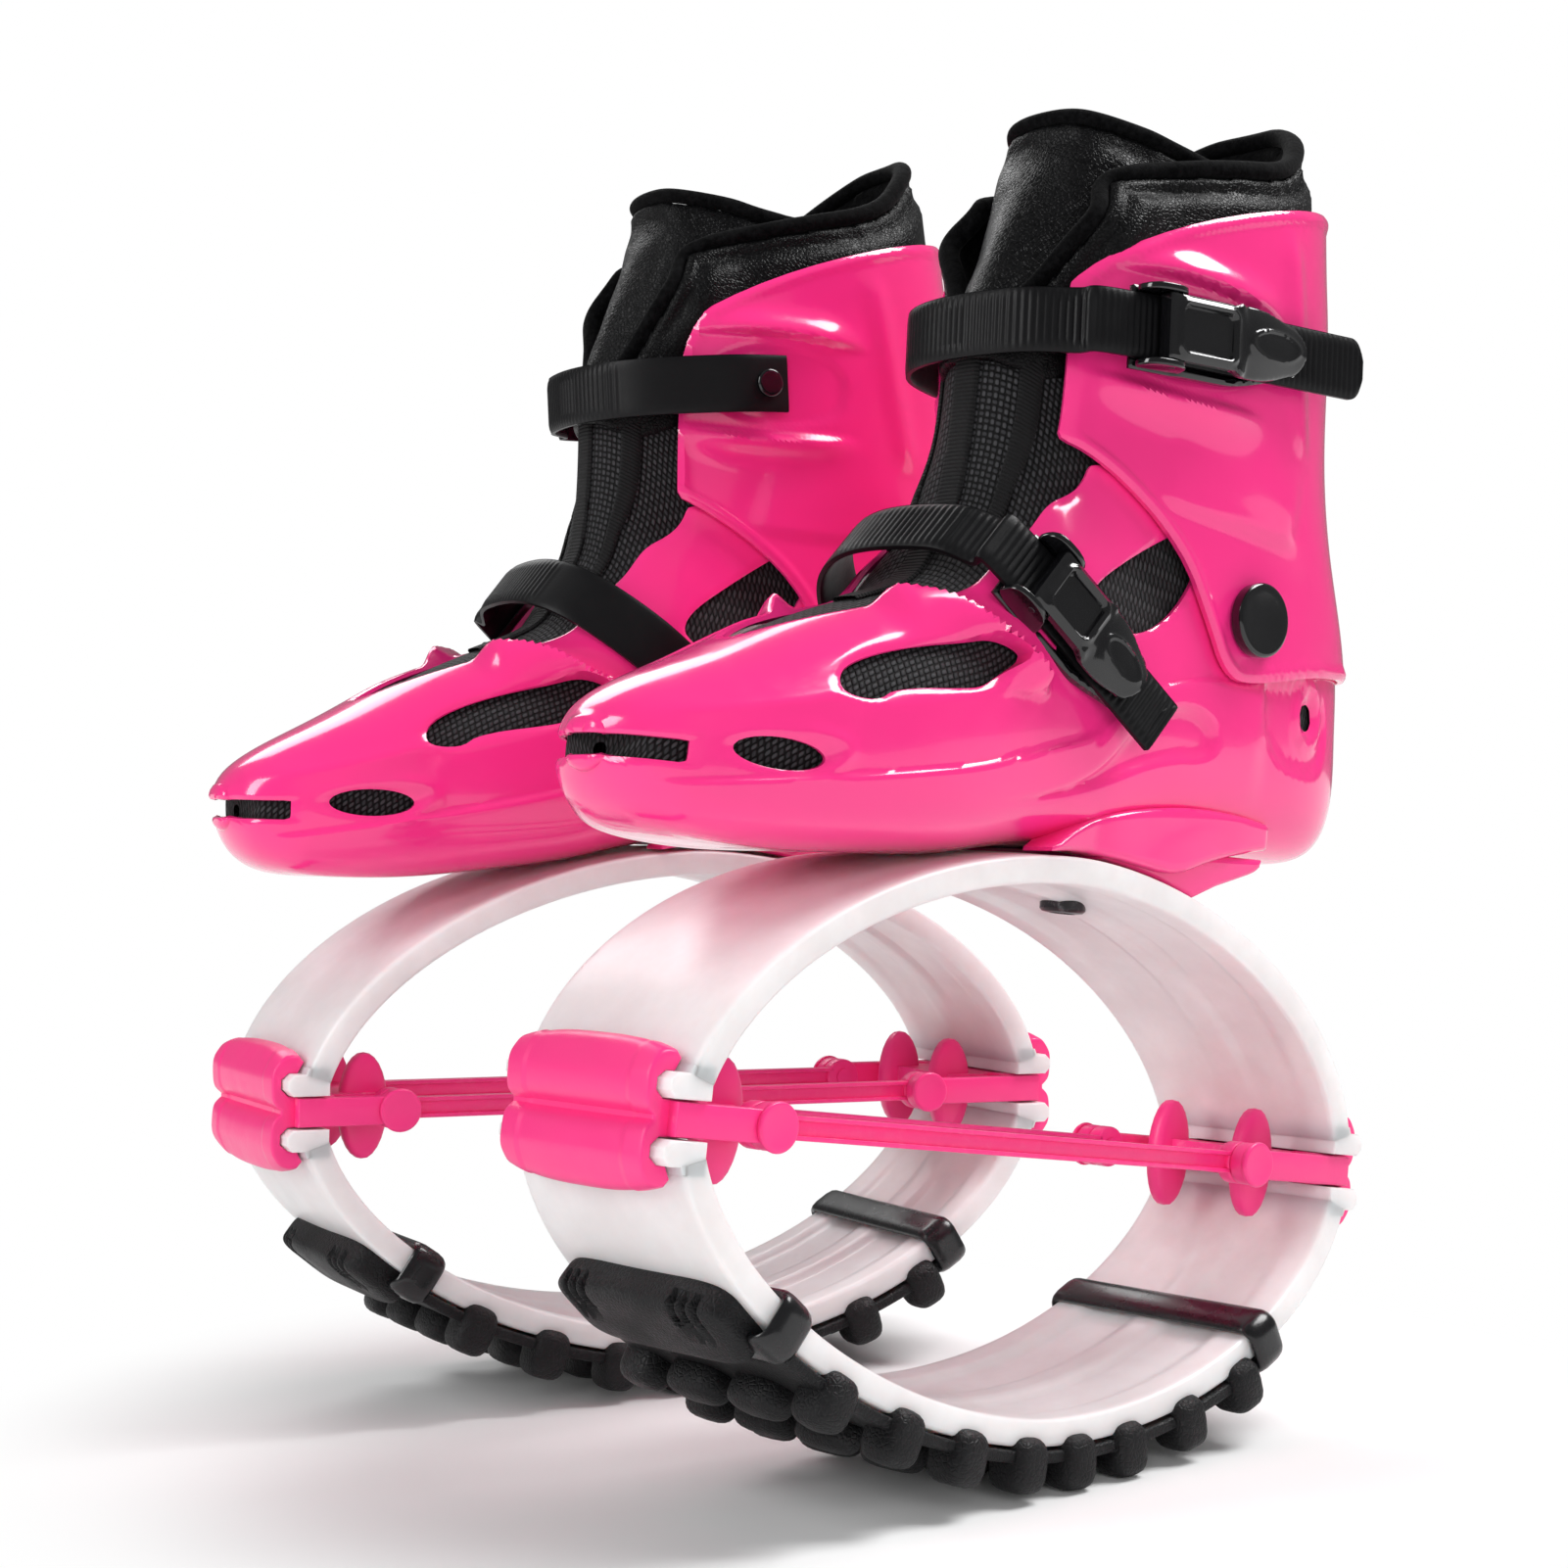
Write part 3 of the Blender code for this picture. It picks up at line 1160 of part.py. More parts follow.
def shoe_matrix(outer_side, row, outsole):
    """Where one shoe stands: mirrored for the right, rocked back, toed out, lugs on the floor."""
    mirror = Matrix.Scale(outer_side, 4, (1.0, 0.0, 0.0))
    rock = Matrix.Rotation(-rest_pitch(row), 4, "X")
    swing = Matrix.Rotation(outer_side * TOE_OUT, 4, "Z")
    turn = swing @ mirror @ rock
    lowest = min((turn @ vertex.co).z for vertex in outsole.data.vertices)
    place = Matrix.Translation((outer_side * PAIR_SPACING / 2, 0.0, -lowest))
    return place @ turn


def place_shoe(side_name, matrix, pieces):
    """Copies of the pieces under empties on the joint axes of one shoe."""
    shoe = empty(side_name + "_shoe", matrix)
    inner = {}
    placed = []
    for body, (parent, point) in body_places().items():
        above = inner[parent] if parent else (shoe, Vector())
        at = Matrix.Translation(point - above[1])
        inner[body] = (empty(f"{side_name}_{body}_axis", at, above[0]), point)
        for piece in pieces[body]:
            copy = bpy.data.objects.new(f"{side_name}_{piece.name}", piece.data)
            bpy.context.scene.collection.objects.link(copy)
            copy.parent = inner[body][0]
            copy.location = -point
            placed.append(copy)
    return placed


def centre_pair(placed):
    """Moves both shoes so that the pair's box is centred over the origin."""
    bpy.context.view_layer.update()
    points = np.array([
        obj.matrix_world @ vertex.co for obj in placed for vertex in obj.data.vertices
    ])
    middle = (points.min(axis=0) + points.max(axis=0)) / 2
    for name in ("left_shoe", "right_shoe"):
        shoe = bpy.data.objects[name]
        shoe.location.x -= middle[0]
        shoe.location.y -= middle[1]


def main():
    clear_scene()
    pieces = make_pieces()
    outsole = next(piece for piece in pieces["sole"] if piece.name == "outsole")
    placed = place_shoe("left", shoe_matrix(1, LEFT_REST_ROW, outsole), pieces)
    placed += place_shoe("right", shoe_matrix(-1, RIGHT_REST_ROW, outsole), pieces)
    for group in pieces.values():
        for piece in group:
            bpy.data.objects.remove(piece, do_unlink=True)
    centre_pair(placed)
    bpy.context.view_layer.update()


main()
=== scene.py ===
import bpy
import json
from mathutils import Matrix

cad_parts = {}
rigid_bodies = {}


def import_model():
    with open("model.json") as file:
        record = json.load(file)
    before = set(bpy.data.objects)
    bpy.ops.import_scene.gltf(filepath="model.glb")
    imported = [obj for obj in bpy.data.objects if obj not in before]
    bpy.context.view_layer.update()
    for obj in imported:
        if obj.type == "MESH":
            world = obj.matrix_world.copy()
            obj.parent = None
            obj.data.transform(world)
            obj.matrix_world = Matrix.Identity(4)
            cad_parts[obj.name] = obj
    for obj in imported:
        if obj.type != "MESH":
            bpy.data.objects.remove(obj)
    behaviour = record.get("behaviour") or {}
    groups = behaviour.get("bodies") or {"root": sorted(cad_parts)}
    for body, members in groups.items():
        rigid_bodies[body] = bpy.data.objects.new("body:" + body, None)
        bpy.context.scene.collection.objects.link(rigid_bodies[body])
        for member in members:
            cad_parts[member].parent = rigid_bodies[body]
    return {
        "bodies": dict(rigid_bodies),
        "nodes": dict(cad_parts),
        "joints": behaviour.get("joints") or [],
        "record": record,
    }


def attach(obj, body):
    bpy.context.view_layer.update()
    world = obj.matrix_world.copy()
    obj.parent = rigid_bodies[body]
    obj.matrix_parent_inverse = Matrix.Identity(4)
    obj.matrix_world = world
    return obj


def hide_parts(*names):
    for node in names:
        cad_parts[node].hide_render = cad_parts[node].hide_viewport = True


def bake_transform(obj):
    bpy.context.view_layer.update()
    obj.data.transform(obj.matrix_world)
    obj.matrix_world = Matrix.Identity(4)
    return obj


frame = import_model()

"""The look of the jumping shoes: every piece of one shoe is worked out in the shoe's own frame
(metres, origin in the middle of its tension bands, toes towards -Y, +X to the outer side of a left
shoe), then placed for the left shoe and mirrored for the right one.
"""

import json
import math

import bmesh
import bpy
import numpy as np
from mathutils import Matrix

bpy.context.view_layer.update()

# ---------------------------------------------------------------- where each shoe stands
TOE_OUT = math.radians(6.2)
SHOES = {
    "left": {"centre": (0.0926198, -0.0053204, 0.1023456), "pitch": math.radians(8.4716), "mirror": 1.0},
    "right": {"centre": (-0.0909802, -0.0053204, 0.1014282), "pitch": math.radians(1.9252), "mirror": -1.0},
}

# ---------------------------------------------------------------- sizes shared with the CAD model
GAP = 0.0003
RING_MIDDLE_Y = 0.0005
BOW_HALF_LENGTH = 0.1462
BOW_RISE = 0.089
BOW_ROUNDNESS = 1.85
BOW_END_WIDTH = 0.075
BOW_CREST_WIDTH = 0.087
BOW_THICKNESS = 0.0095
BOW_CROWN = 0.0012
LIP_REACH = 0.0058
LIP_THICKNESS = 0.0072
LIP_GAP = 0.0055
FLUTE_DEPTH = 0.0022
FLUTE_FROM_EDGE = 0.0105
FLUTE_FROM_MIDDLE = 0.0045
BOW_EDGE_CUT = 0.0004
BOW_EDGE_RUN = 0.0013
JAW_WALL = 0.0042
JAW_HEIGHT = 0.0205
JAW_GROOVE = 0.0038
JAW_HALF_WIDTH = 0.0325
WEB_LENGTH = 0.036
WEB_HALF_WIDTH = 0.023
ARM_THICKNESS = 0.0052
ARM_HEIGHT = 0.0095
ARM_INSET = 0.0008
FRONT_BOSS_Y = -0.110
REAR_BOSS_Y = 0.097
PAD_OFFSET_X = 0.018
PAD_THICKNESS = 0.008
PAD_HALF_HEIGHT = 0.018
PAD_HALF_LENGTH = 0.0084
PAD_FROM_WEB_END = 0.003
BAND_THICKNESS = 0.0052
BAND_HEIGHT = 0.007
EYE_RADIUS = 0.0068
RIVET_HEAD_RADIUS = 0.0073
RIVET_HEAD_HEIGHT = 0.0016
RUBBER_WALL = 0.0035
TREAD_DEPTH = 0.0125
SIDE_LUG_WRAP = 0.0045
SIDE_LUG_LENGTH_IN = 0.016
SIDE_LUG_RISE = 0.0045
LUG_LENGTH = 0.0138
LUG_ROW_PLACES = (-0.0825, -0.056, -0.030, -0.005, 0.016, 0.0385, 0.0655, 0.0915)
CENTRE_LUG_INSIDE = 0.003
CENTRE_LUG_WIDTH = 0.0215
LOOP_WALL = 0.0032
LOOP_LENGTH = 0.013
POCKET_LENGTH = 0.024
POCKET_DEPTH = 0.0085
POCKET_SIDE_INSET = 0.004
POCKET_HALF_WIDTH = 0.036
FRONT_LOOP_Y = -0.1065
REAR_LOOP_Y = 0.1035
POCKET_Y = -0.1135
TOE_Y = -0.163
SOLE_Z = 0.077
BOOT_LENGTH = 0.313
BOOT_HEIGHT = 0.273
BOOT_HALF_WIDTH = 0.047
SHELL_WALL = 0.0026
CUFF_WALL = 0.0026
CUFF_GAP = 0.0008
COLLAR_GAP = 0.0009
LINER_WALL = 0.006
PIVOT_Y = 0.0635
PIVOT_Z = 0.172
PIVOT_CAP_RADIUS = 0.012
PIVOT_CAP_HEIGHT = 0.003
STRAP_THICKNESS = 0.0024
STRAP_TAIL = 0.005
STRAP_ROW = 0.00058
RIB_PITCH = 0.0023
RIB_HEIGHT = 0.00055
RIB_FLOOR = 0.00028
NOSE_BULGE = 0.0032
SAME_PLACE = 2e-6
FINE_STATIONS = 801
FINE_ANGLES = 1441
SEAM_JUMP = 0.05
SIDES = (("outer", 1.0), ("inner", -1.0))

# Stations of the boot as shares of its length, height and half width: front edge y and z,
# back edge y and z, half width, how round the front is, and the back
STATION_SHARES = np.array((
    (0.000, 0.114, 0.006, 0.055, 0.21, 0.90, 1.00),
    (0.016, 0.136, 0.022, 0.026, 0.43, 0.90, 0.85),
    (0.054, 0.165, 0.058, 0.004, 0.60, 0.90, 0.70),
    (0.121, 0.205, 0.121, 0.000, 0.77, 0.90, 0.60),
    (0.201, 0.256, 0.201, 0.004, 0.91, 0.90, 0.55),
    (0.291, 0.304, 0.291, 0.015, 1.00, 0.90, 0.50),
    (0.361, 0.341, 0.377, 0.027, 1.00, 0.88, 0.50),
    (0.387, 0.388, 0.473, 0.048, 0.98, 0.88, 0.50),
    (0.406, 0.432, 0.601, 0.059, 0.96, 0.87, 0.50),
    (0.412, 0.473, 0.728, 0.073, 0.94, 0.87, 0.50),
    (0.414, 0.509, 0.856, 0.081, 0.89, 0.87, 0.55),
    (0.415, 0.546, 0.952, 0.095, 0.87, 0.87, 0.70),
    (0.415, 0.582, 0.994, 0.150, 0.87, 0.87, 0.85),
    (0.415, 0.619, 0.998, 0.231, 0.87, 0.87, 0.92),
    (0.419, 0.656, 0.987, 0.322, 0.90, 0.87, 0.96),
    (0.428, 0.692, 0.946, 0.432, 0.96, 0.87, 1.00),
    (0.441, 0.729, 0.911, 0.560, 1.00, 0.87, 1.00),
    (0.457, 0.766, 0.893, 0.689, 1.04, 0.87, 1.00),
    (0.476, 0.802, 0.875, 0.780, 1.05, 0.87, 1.00),
    (0.489, 0.828, 0.861, 0.861, 1.05, 0.87, 1.00),
    (0.502, 0.853, 0.843, 0.985, 1.04, 0.87, 1.00),
))
THROAT_SHARES = ((0.135, 0.0), (0.20, 0.30), (0.27, 0.50), (0.36, 0.62), (0.46, 0.70), (0.78, 0.70))
SHELL_RIM_SHARES = (
    (0.30, 0.43), (0.402, 0.414), (0.48, 0.475), (0.515, 0.490), (0.68, 0.490),
    (0.82, 0.42), (1.02, 0.39), (1.02, 1.2), (0.30, 1.2),
)
REAR_WINDOW_SHARES = (
    (0.478, 0.334), (0.575, 0.402), (0.625, 0.436), (0.655, 0.40), (0.62, 0.335),
    (0.56, 0.297), (0.505, 0.295),
)
CUFF_EDGE_SHARES = (
    (0.447, 0.513), (0.442, 0.60), (0.447, 0.668), (0.50, 0.735), (0.607, 0.797),
    (0.773, 0.855), (0.90, 0.878), (1.15, 0.868), (1.15, 0.335), (0.88, 0.315),
    (0.73, 0.272), (0.69, 0.279), (0.661, 0.330), (0.613, 0.410), (0.508, 0.491),
)
INNER_CUFF_FRONT_SHARES = (
    (0.49, 0.40), (0.49, 0.60), (0.487, 0.69), (0.52, 0.755), (0.45, 0.80), (0.30, 0.60), (0.40, 0.40),
)
COLLAR_TOP_SHARES = (
    (0.35, 0.785), (0.45, 0.80), (0.52, 0.826), (0.62, 0.852), (0.74, 0.885), (0.80, 0.950),
    (0.84, 0.992), (1.1, 1.005), (1.1, 1.3), (0.35, 1.3),
)
VENT_CENTRE_SHARES = (0.131, 0.093)
VENT_HALF_LENGTH = 0.0135
VENT_HALF_HEIGHT = 0.0045
TOE_SLOT_LENGTH = 0.016
TOE_SLOT_HEIGHT = 0.0065
TOE_SLOT_Z_SHARE = 0.082
HEEL_HOLE_SHARES = (0.862, 0.258)
HEEL_HOLE_RADIUS = 0.0045
CUFF_FRONT_HALF_WIDTH = 0.030

CUFF_STRAP_WIDTH = 0.020
CUFF_STRAP_Z = 0.2515
CUFF_STRAP_SLOPE = 0.07
CUFF_STRAP_PLAN = np.array((
    (-0.0512, 0.0240), (-0.0512, 0.0090), (-0.0475, -0.0030), (-0.0400, -0.0170), (-0.0290, -0.0285),
    (-0.0150, -0.0352), (0.0, -0.0372), (0.0150, -0.0355), (0.0290, -0.0300), (0.0395, -0.0210),
    (0.0475, -0.0085), (0.0568, 0.0660), (0.0595, 0.0880),
))
INSTEP_STRAP_WIDTH = 0.0195
INSTEP_TOP_Y = -0.055
INSTEP_TOP_Z = 0.182
INSTEP_SLOPE = math.radians(38.0)
INSTEP_STRAP_PLAN = np.array((
    (-0.0482, 0.0580), (-0.0482, 0.0400), (-0.0440, 0.0260), (-0.0370, 0.0140), (-0.0270, 0.0055),
    (-0.0140, 0.0010), (0.0, 0.0), (0.0140, 0.0008), (0.0270, 0.0040), (0.0360, 0.0090),
    (0.0420, 0.0160), (0.0535, 0.0760), (0.0546, 0.0820),
))
CUFF_BUCKLE_LENGTH = 0.074
INSTEP_BUCKLE_LENGTH = 0.062
BUCKLE_WIDTH = 0.026
BUCKLE_FLOOR = 0.002
BUCKLE_CHEEK = 0.0022
BUCKLE_CHEEK_HEIGHT = 0.0105
BUCKLE_CHEEK_LENGTH = 0.018
BUCKLE_PIN_RISE = 0.0062
BUCKLE_PIN_FROM_END = 0.010
LEVER_THICKNESS = 0.0032
LEVER_NOSE_RADIUS = 0.0028
PLATE_EDGE = 0.0007
BUCKLE_TAIL = 0.018
BASE_TIP = 0.010
LEVER_TIP = 0.006
LEVER_HALF_SPACE = 0.0135
BUCKLE_BASE_DEPTH = 0.0022
CUFF_BUCKLE_FROM = 0.0015
INSTEP_BUCKLE_FROM = 0.001


# ================================================================ curves and surfaces
def smooth_step(share):
    """0 below 0, 1 above 1, and 3s^2 - 2s^3 between."""
    share = np.clip(share, 0.0, 1.0)
    return share * share * (3.0 - 2.0 * share)


def spline(rows, places):
    """Rows read at fractional row numbers on the natural cubic spline through all of them.

    The second derivatives m solve m[i-1] + 4 m[i] + m[i+1] = 6 (r[i-1] - 2 r[i] + r[i+1]).
    """
    rows = np.asarray(rows, float)
    count = len(rows)
    system = np.eye(count)
    inner = np.arange(1, count - 1)
    system[inner, inner] = 4.0
    system[inner, inner - 1] = 1.0
    system[inner, inner + 1] = 1.0
    bend = np.zeros_like(rows)
    bend[1:-1] = 6.0 * (rows[:-2] - 2.0 * rows[1:-1] + rows[2:])
    second = np.linalg.solve(system, bend)
    places = np.clip(np.asarray(places, float), 0.0, count - 1.0)
    low = np.minimum(places.astype(int), count - 2)
    b = (places - low)[:, None]
    a = 1.0 - b
    pull = (a ** 3 - a) * second[low] + (b ** 3 - b) * second[low + 1]
    return a * rows[low] + b * rows[low + 1] + pull / 6.0


def run_along(points):
    """How far along a line each of its points lies."""
    return np.concatenate([[0.0], np.cumsum(np.linalg.norm(np.diff(points, axis=0), axis=1))])


def read_along(values, run, count):
    """A line's values at places the same distance apart along it."""
    stops = np.linspace(0.0, run[-1], count)
    return np.column_stack([np.interp(stops, run, column) for column in values.T])


def even_path(points, count):
    """Points the same distance apart along a smooth curve through the given ones."""
    fine = spline(points, np.linspace(0, len(points) - 1, 40 * len(points)))
    return read_along(fine, run_along(fine), count)


def cut_corners(outline, passes=3, closed=True):
    """Each corner is replaced by points a quarter and three quarters along its sides, again and again."""
    line = np.asarray(outline, float)
    for _ in range(passes):
        after = np.roll(line, -1, axis=0) if closed else line[1:]
        before = line if closed else line[:-1]
        pairs = np.stack([0.75 * before + 0.25 * after, 0.25 * before + 0.75 * after], axis=1)
        middle = pairs.reshape(-1, line.shape[1])
        line = middle if closed else np.vstack([line[:1], middle, line[-1:]])
    return line


def boot_place(shares):
    """Shares of the boot's length and height as (y, z)."""
    return np.asarray(shares, float) * (BOOT_LENGTH, BOOT_HEIGHT) + (TOE_Y, SOLE_Z)


def side_outline(shares, passes=3):
    """Shares of the boot's length and height as a smooth closed outline of (y, z)."""
    return cut_corners(boot_place(shares), passes)


def to_segment(first, second, start, end):
    """(squared distance to a segment, the share of the way along it) for each point."""
    (a, b), (c, d) = start, end
    along_a, along_b = c - a, d - b
    length = max(along_a ** 2 + along_b ** 2, 1e-18)
    share = np.clip(((first - a) * along_a + (second - b) * along_b) / length, 0.0, 1.0)
    return (first - a - share * along_a) ** 2 + (second - b - share * along_b) ** 2, share


def inside_distance(first, second, outline):
    """How far each point lies inside a closed outline, and below zero how far outside."""
    nearest = np.full(first.shape, np.inf)
    crossings = np.zeros(first.shape, bool)
    for start, end in zip(outline, np.roll(outline, -1, axis=0)):
        nearest = np.minimum(nearest, to_segment(first, second, start, end)[0])
        (a, b), (c, d) = start, end
        if d != b:
            crossings ^= ((b > second) != (d > second)) & (first < a + (second - b) * (c - a) / (d - b))
    return np.where(crossings, 1.0, -1.0) * np.sqrt(nearest)


def line_distance(first, second, line):
    """(distance to an open line, the side it lies on, the share of the way along) for each point."""
    nearest = np.full(first.shape, np.inf)
    side, share_along = np.zeros(first.shape), np.zeros(first.shape)
    for index, (start, end) in enumerate(zip(line[:-1], line[1:])):
        away, share = to_segment(first, second, start, end)
        away = np.sqrt(away)
        closer = away < nearest
        turn = (end[0] - start[0]) * (second - start[1]) - (end[1] - start[1]) * (first - start[0])
        nearest = np.where(closer, away, nearest)
        side = np.where(closer, np.sign(turn), side)
        share_along = np.where(closer, (index + share) / (len(line) - 1), share_along)
    return nearest, side, share_along


def near_line(y, z, line, fade):
    """(distance to a smooth line, the side it lies on, 1 along it and 0 at its ends) for each point."""
    away, side, share = line_distance(y, z, even_path(line, 40))
    return away, side, smooth_step(share / fade) * smooth_step((1.0 - share) / fade)


def ridge(y, z, line, height, width, fade=0.18):
    """A rounded ridge along a line: height * exp(-(distance / width)^2), fading out at both ends."""
    away, _, ends = near_line(y, z, line, fade)
    return height * np.exp(-(away / width) ** 2) * ends


def ledge(y, z, line, height, width, fade=0.12, reach=0.03):
    """A step that is height tall on the left of a line, eased over width, dying away past reach."""
    away, side, ends = near_line(y, z, line, fade)
    rise = smooth_step(0.5 + 0.5 * side * away / width)
    gone = 1.0 - smooth_step((away * (side > 0) - reach * 0.3) / (reach * 0.7))
    return height * rise * gone * ends


def fin(y, z, line, height, width, drop, fade=0.35):
    """A fin with a sharp brow: it slopes away on the left of a line and drops at once on the right."""
    away, side, ends = near_line(y, z, line, fade)
    slope = np.exp(-(away / width) ** 2)
    cliff = 1.0 - smooth_step(away / drop)
    return height * ends * np.where(side > 0, slope, cliff)


def hollow(y, z, outline, depth, edge):
    """A sunken field inside an outline, eased over its edge."""
    return -depth * smooth_step(inside_distance(y, z, outline) / edge)


def grid_normals(points):
    """Unit normals of a grid that closes round its second axis, from its two tangents."""
    down = np.gradient(points, axis=0)
    over = np.roll(points, -1, axis=1) - np.roll(points, 1, axis=1)
    normals = np.cross(over, down)
    away = points - points.mean(axis=1, keepdims=True)
    normals *= np.sign(np.sum(normals * away))
    return normals / np.maximum(np.linalg.norm(normals, axis=2, keepdims=True), 1e-12)


def boot_skin(first, last, rows, columns, inset, nose=0, rise=0.0):
    """The boot's skin between two stations, moved in by inset: a grid of rings with their normals.

    Each ring starts at its back edge and goes round the front: across it x is half width *
    |sin a|^p, and along it the share is (1 + |cos a|^p sign) / 2, where p is how round that half
    is. Its points are then spread evenly along its length. Nose rings close the toe with a
    quarter of an ellipse, and rise lifts one last ring.
    """
    place = np.linspace(0, len(STATION_SHARES) - 1, FINE_STATIONS)

    def edges(stations):
        return boot_place(stations[:, 0:2]), boot_place(stations[:, 2:4])

    front, back = edges(spline(STATION_SHARES, place))
    steps = 0.5 * (np.linalg.norm(np.diff(front, axis=0), axis=1) + np.linalg.norm(np.diff(back, axis=0), axis=1))
    run = np.concatenate([[0.0], np.cumsum(steps)])
    ends = np.interp([first, last], place, run)
    stations = spline(STATION_SHARES, np.interp(np.linspace(ends[0], ends[1], rows), run, place))
    front, back = edges(stations)
    toward = back - front
    toward /= np.linalg.norm(toward, axis=1, keepdims=True)
    front, back = front + toward * inset, back - toward * inset
    half = stations[:, 4] * BOOT_HALF_WIDTH - inset
    angle = 2.0 * math.pi * np.linspace(0.0, 1.0, FINE_ANGLES)
    across, along = np.sin(angle), np.cos(angle)
    blend = smooth_step(0.5 + along)[None, :]
    power = stations[:, 5:6] * (1.0 - blend) + stations[:, 6:7] * blend
    x = np.sign(across) * np.abs(across) ** power * half[:, None]
    share = 0.5 + 0.5 * np.sign(along) * np.abs(along) ** power
    y = front[:, :1] + (back - front)[:, :1] * share
    z = front[:, 1:] + (back - front)[:, 1:] * share
    ring = np.stack([x, y, z], axis=2)
    step = np.linalg.norm(np.diff(ring, axis=1), axis=2)
    run = np.concatenate([np.zeros((rows, 1)), np.cumsum(step, axis=1)], axis=1)
    stops = np.linspace(0.0, 1.0, columns + 1)[:-1]
    points = np.empty((rows, columns, 3))
    for row in range(rows):
        for axis in range(3):
            points[row, :, axis] = np.interp(stops * run[row, -1], run[row], ring[row, :, axis])
    if nose:
        middle = points[:1].mean(axis=1, keepdims=True)
        out = np.array([0.0, (back - front)[0, 1], -(back - front)[0, 0]])
        out = out / np.linalg.norm(out) * (1.0 if out[1] < 0 else -1.0)
        turn = np.linspace(0.0, math.pi / 2, nose + 1)[:-1][:, None, None]
        cap = middle + (points[:1] - middle) * np.sin(turn) + out * (NOSE_BULGE * np.cos(turn))
        points = np.concatenate([cap, points])
    if rise:
        lifts = np.linspace(0.0, rise, max(2, int(rise / 0.002)) + 1)[1:, None, None]
        points = np.concatenate([points, points[-1:] + lifts * np.array([0.0, 0.0, 1.0])])
    return Skin(points)


class Skin:
    """A grid that closes round its columns, with outward normals and a map in metres."""

    def __init__(self, points, closed=True, normals=None):
        self.points = points
        self.closed = closed
        self.normals = grid_normals(points) if normals is None else normals
        shifted = np.roll(points, -1, axis=1)
        over = np.linalg.norm(shifted - points, axis=2)
        run = np.concatenate([np.zeros((len(points), 1)), np.cumsum(over, axis=1)], axis=1)
        self.round = run[:, -1]
        self.u = run[:, :-1] - self.round[:, None] / 2.0
        down = np.linalg.norm(np.diff(points, axis=0), axis=2)
        self.v = np.concatenate([np.zeros((1, points.shape[1])), np.cumsum(down, axis=0)])

    @property
    def x(self):
        return self.points[..., 0]

    @property
    def y(self):
        return self.points[..., 1]

    @property
    def z(self):
        return self.points[..., 2]


def trimmed(skin, keep):
    """Cuts a skin along keep = 0: the nearest corners slide onto the cut, and what lies past it goes.

    Gives (points, normals, map of every face corner, distance to the cut, faces).
    """
    rows, columns = keep.shape
    values = np.concatenate([skin.points, skin.normals, skin.u[..., None], skin.v[..., None]], axis=2)
    best = np.full(keep.shape, np.inf)
    moved = values.copy()
    for down, over in ((1, 0), (-1, 0), (0, 1), (0, -1)):
        other_keep = np.roll(np.roll(keep, -down, 0), -over, 1)
        step = np.roll(np.roll(values, -down, 0), -over, 1) - values
        step[..., 6] = np.where(np.abs(step[..., 6]) > SEAM_JUMP, 0.0, step[..., 6])
        apart = keep - other_keep
        share = keep / np.where(apart == 0.0, 1.0, apart)
        crosses = (keep * other_keep < 0) & (share <= 0.5)
        if down == 1:
            crosses[-1] = False
        if down == -1:
            crosses[0] = False
        if not skin.closed and over:
            crosses[:, -1 if over == 1 else 0] = False
        length = share * np.linalg.norm(step[..., :3], axis=2)
        better = crosses & (length < best)
        best = np.where(better, length, best)
        moved = np.where(better[..., None], values + share[..., None] * step, moved)
    level = np.where(np.isfinite(best), 0.0, keep)
    i = np.arange(rows - 1)
    j = np.arange(columns if skin.closed else columns - 1)
    i, j = [v.ravel() for v in np.meshgrid(i, j, indexing="ij")]
    corner_rows = np.stack([i, i, i + 1, i + 1], 1)
    corner_columns = np.stack([j, j + 1, j + 1, j], 1)
    index = corner_rows * columns + corner_columns % columns
    kept = level.ravel()[index] >= 0.0
    flat = (level.ravel()[index] == 0.0).all(1) & (keep.ravel()[index].mean(1) < 0.0)
    whole, partly = kept.all(1) & ~flat, kept.sum(1) == 3
    order = (np.argmin(kept[partly], axis=1)[:, None] + np.array([1, 2, 3])[None, :]) % 4
    sides = [index[whole], np.take_along_axis(index[partly], order, 1)]
    rings = [corner_rows[whole], np.take_along_axis(corner_rows[partly], order, 1)]
    spokes = [corner_columns[whole], np.take_along_axis(corner_columns[partly], order, 1)]
    used = np.unique(np.concatenate([part.ravel() for part in sides]))
    renumber = np.full(rows * columns, -1)
    renumber[used] = np.arange(len(used))
    faces = [face for part in sides for face in renumber[part].tolist()]
    corners = np.concatenate([part.ravel() for part in sides])
    ring_of = np.concatenate([part.ravel() for part in rings])
    spoke_of = np.concatenate([part.ravel() for part in spokes])
    flat_values = moved.reshape(-1, 8)
    u = flat_values[corners, 6] + np.where(spoke_of == columns, skin.round[ring_of], 0.0)
    uv = np.stack([u, flat_values[corners, 7]], axis=1)
    away = np.maximum(level.ravel()[used], 0.0)
    return flat_values[used, :3], flat_values[used, 3:6], uv, away, faces


def open_edges(faces):
    """The edges that only one face uses, in that face's direction."""
    pairs = np.array([(face[k], face[(k + 1) % len(face)]) for face in faces for k in range(len(face))])
    key = np.sort(pairs, axis=1)
    _, first, counts = np.unique(key[:, 0] * (key.max() + 1) + key[:, 1], return_index=True, return_counts=True)
    return pairs[first[counts == 1]]


def reversed_corners(faces):
    """The order of all face corners when every face is turned over."""
    sizes = np.array([len(face) for face in faces])
    ends = np.cumsum(sizes)
    return np.concatenate([np.arange(e - 1, e - n - 1, -1) for n, e in zip(sizes, ends)])


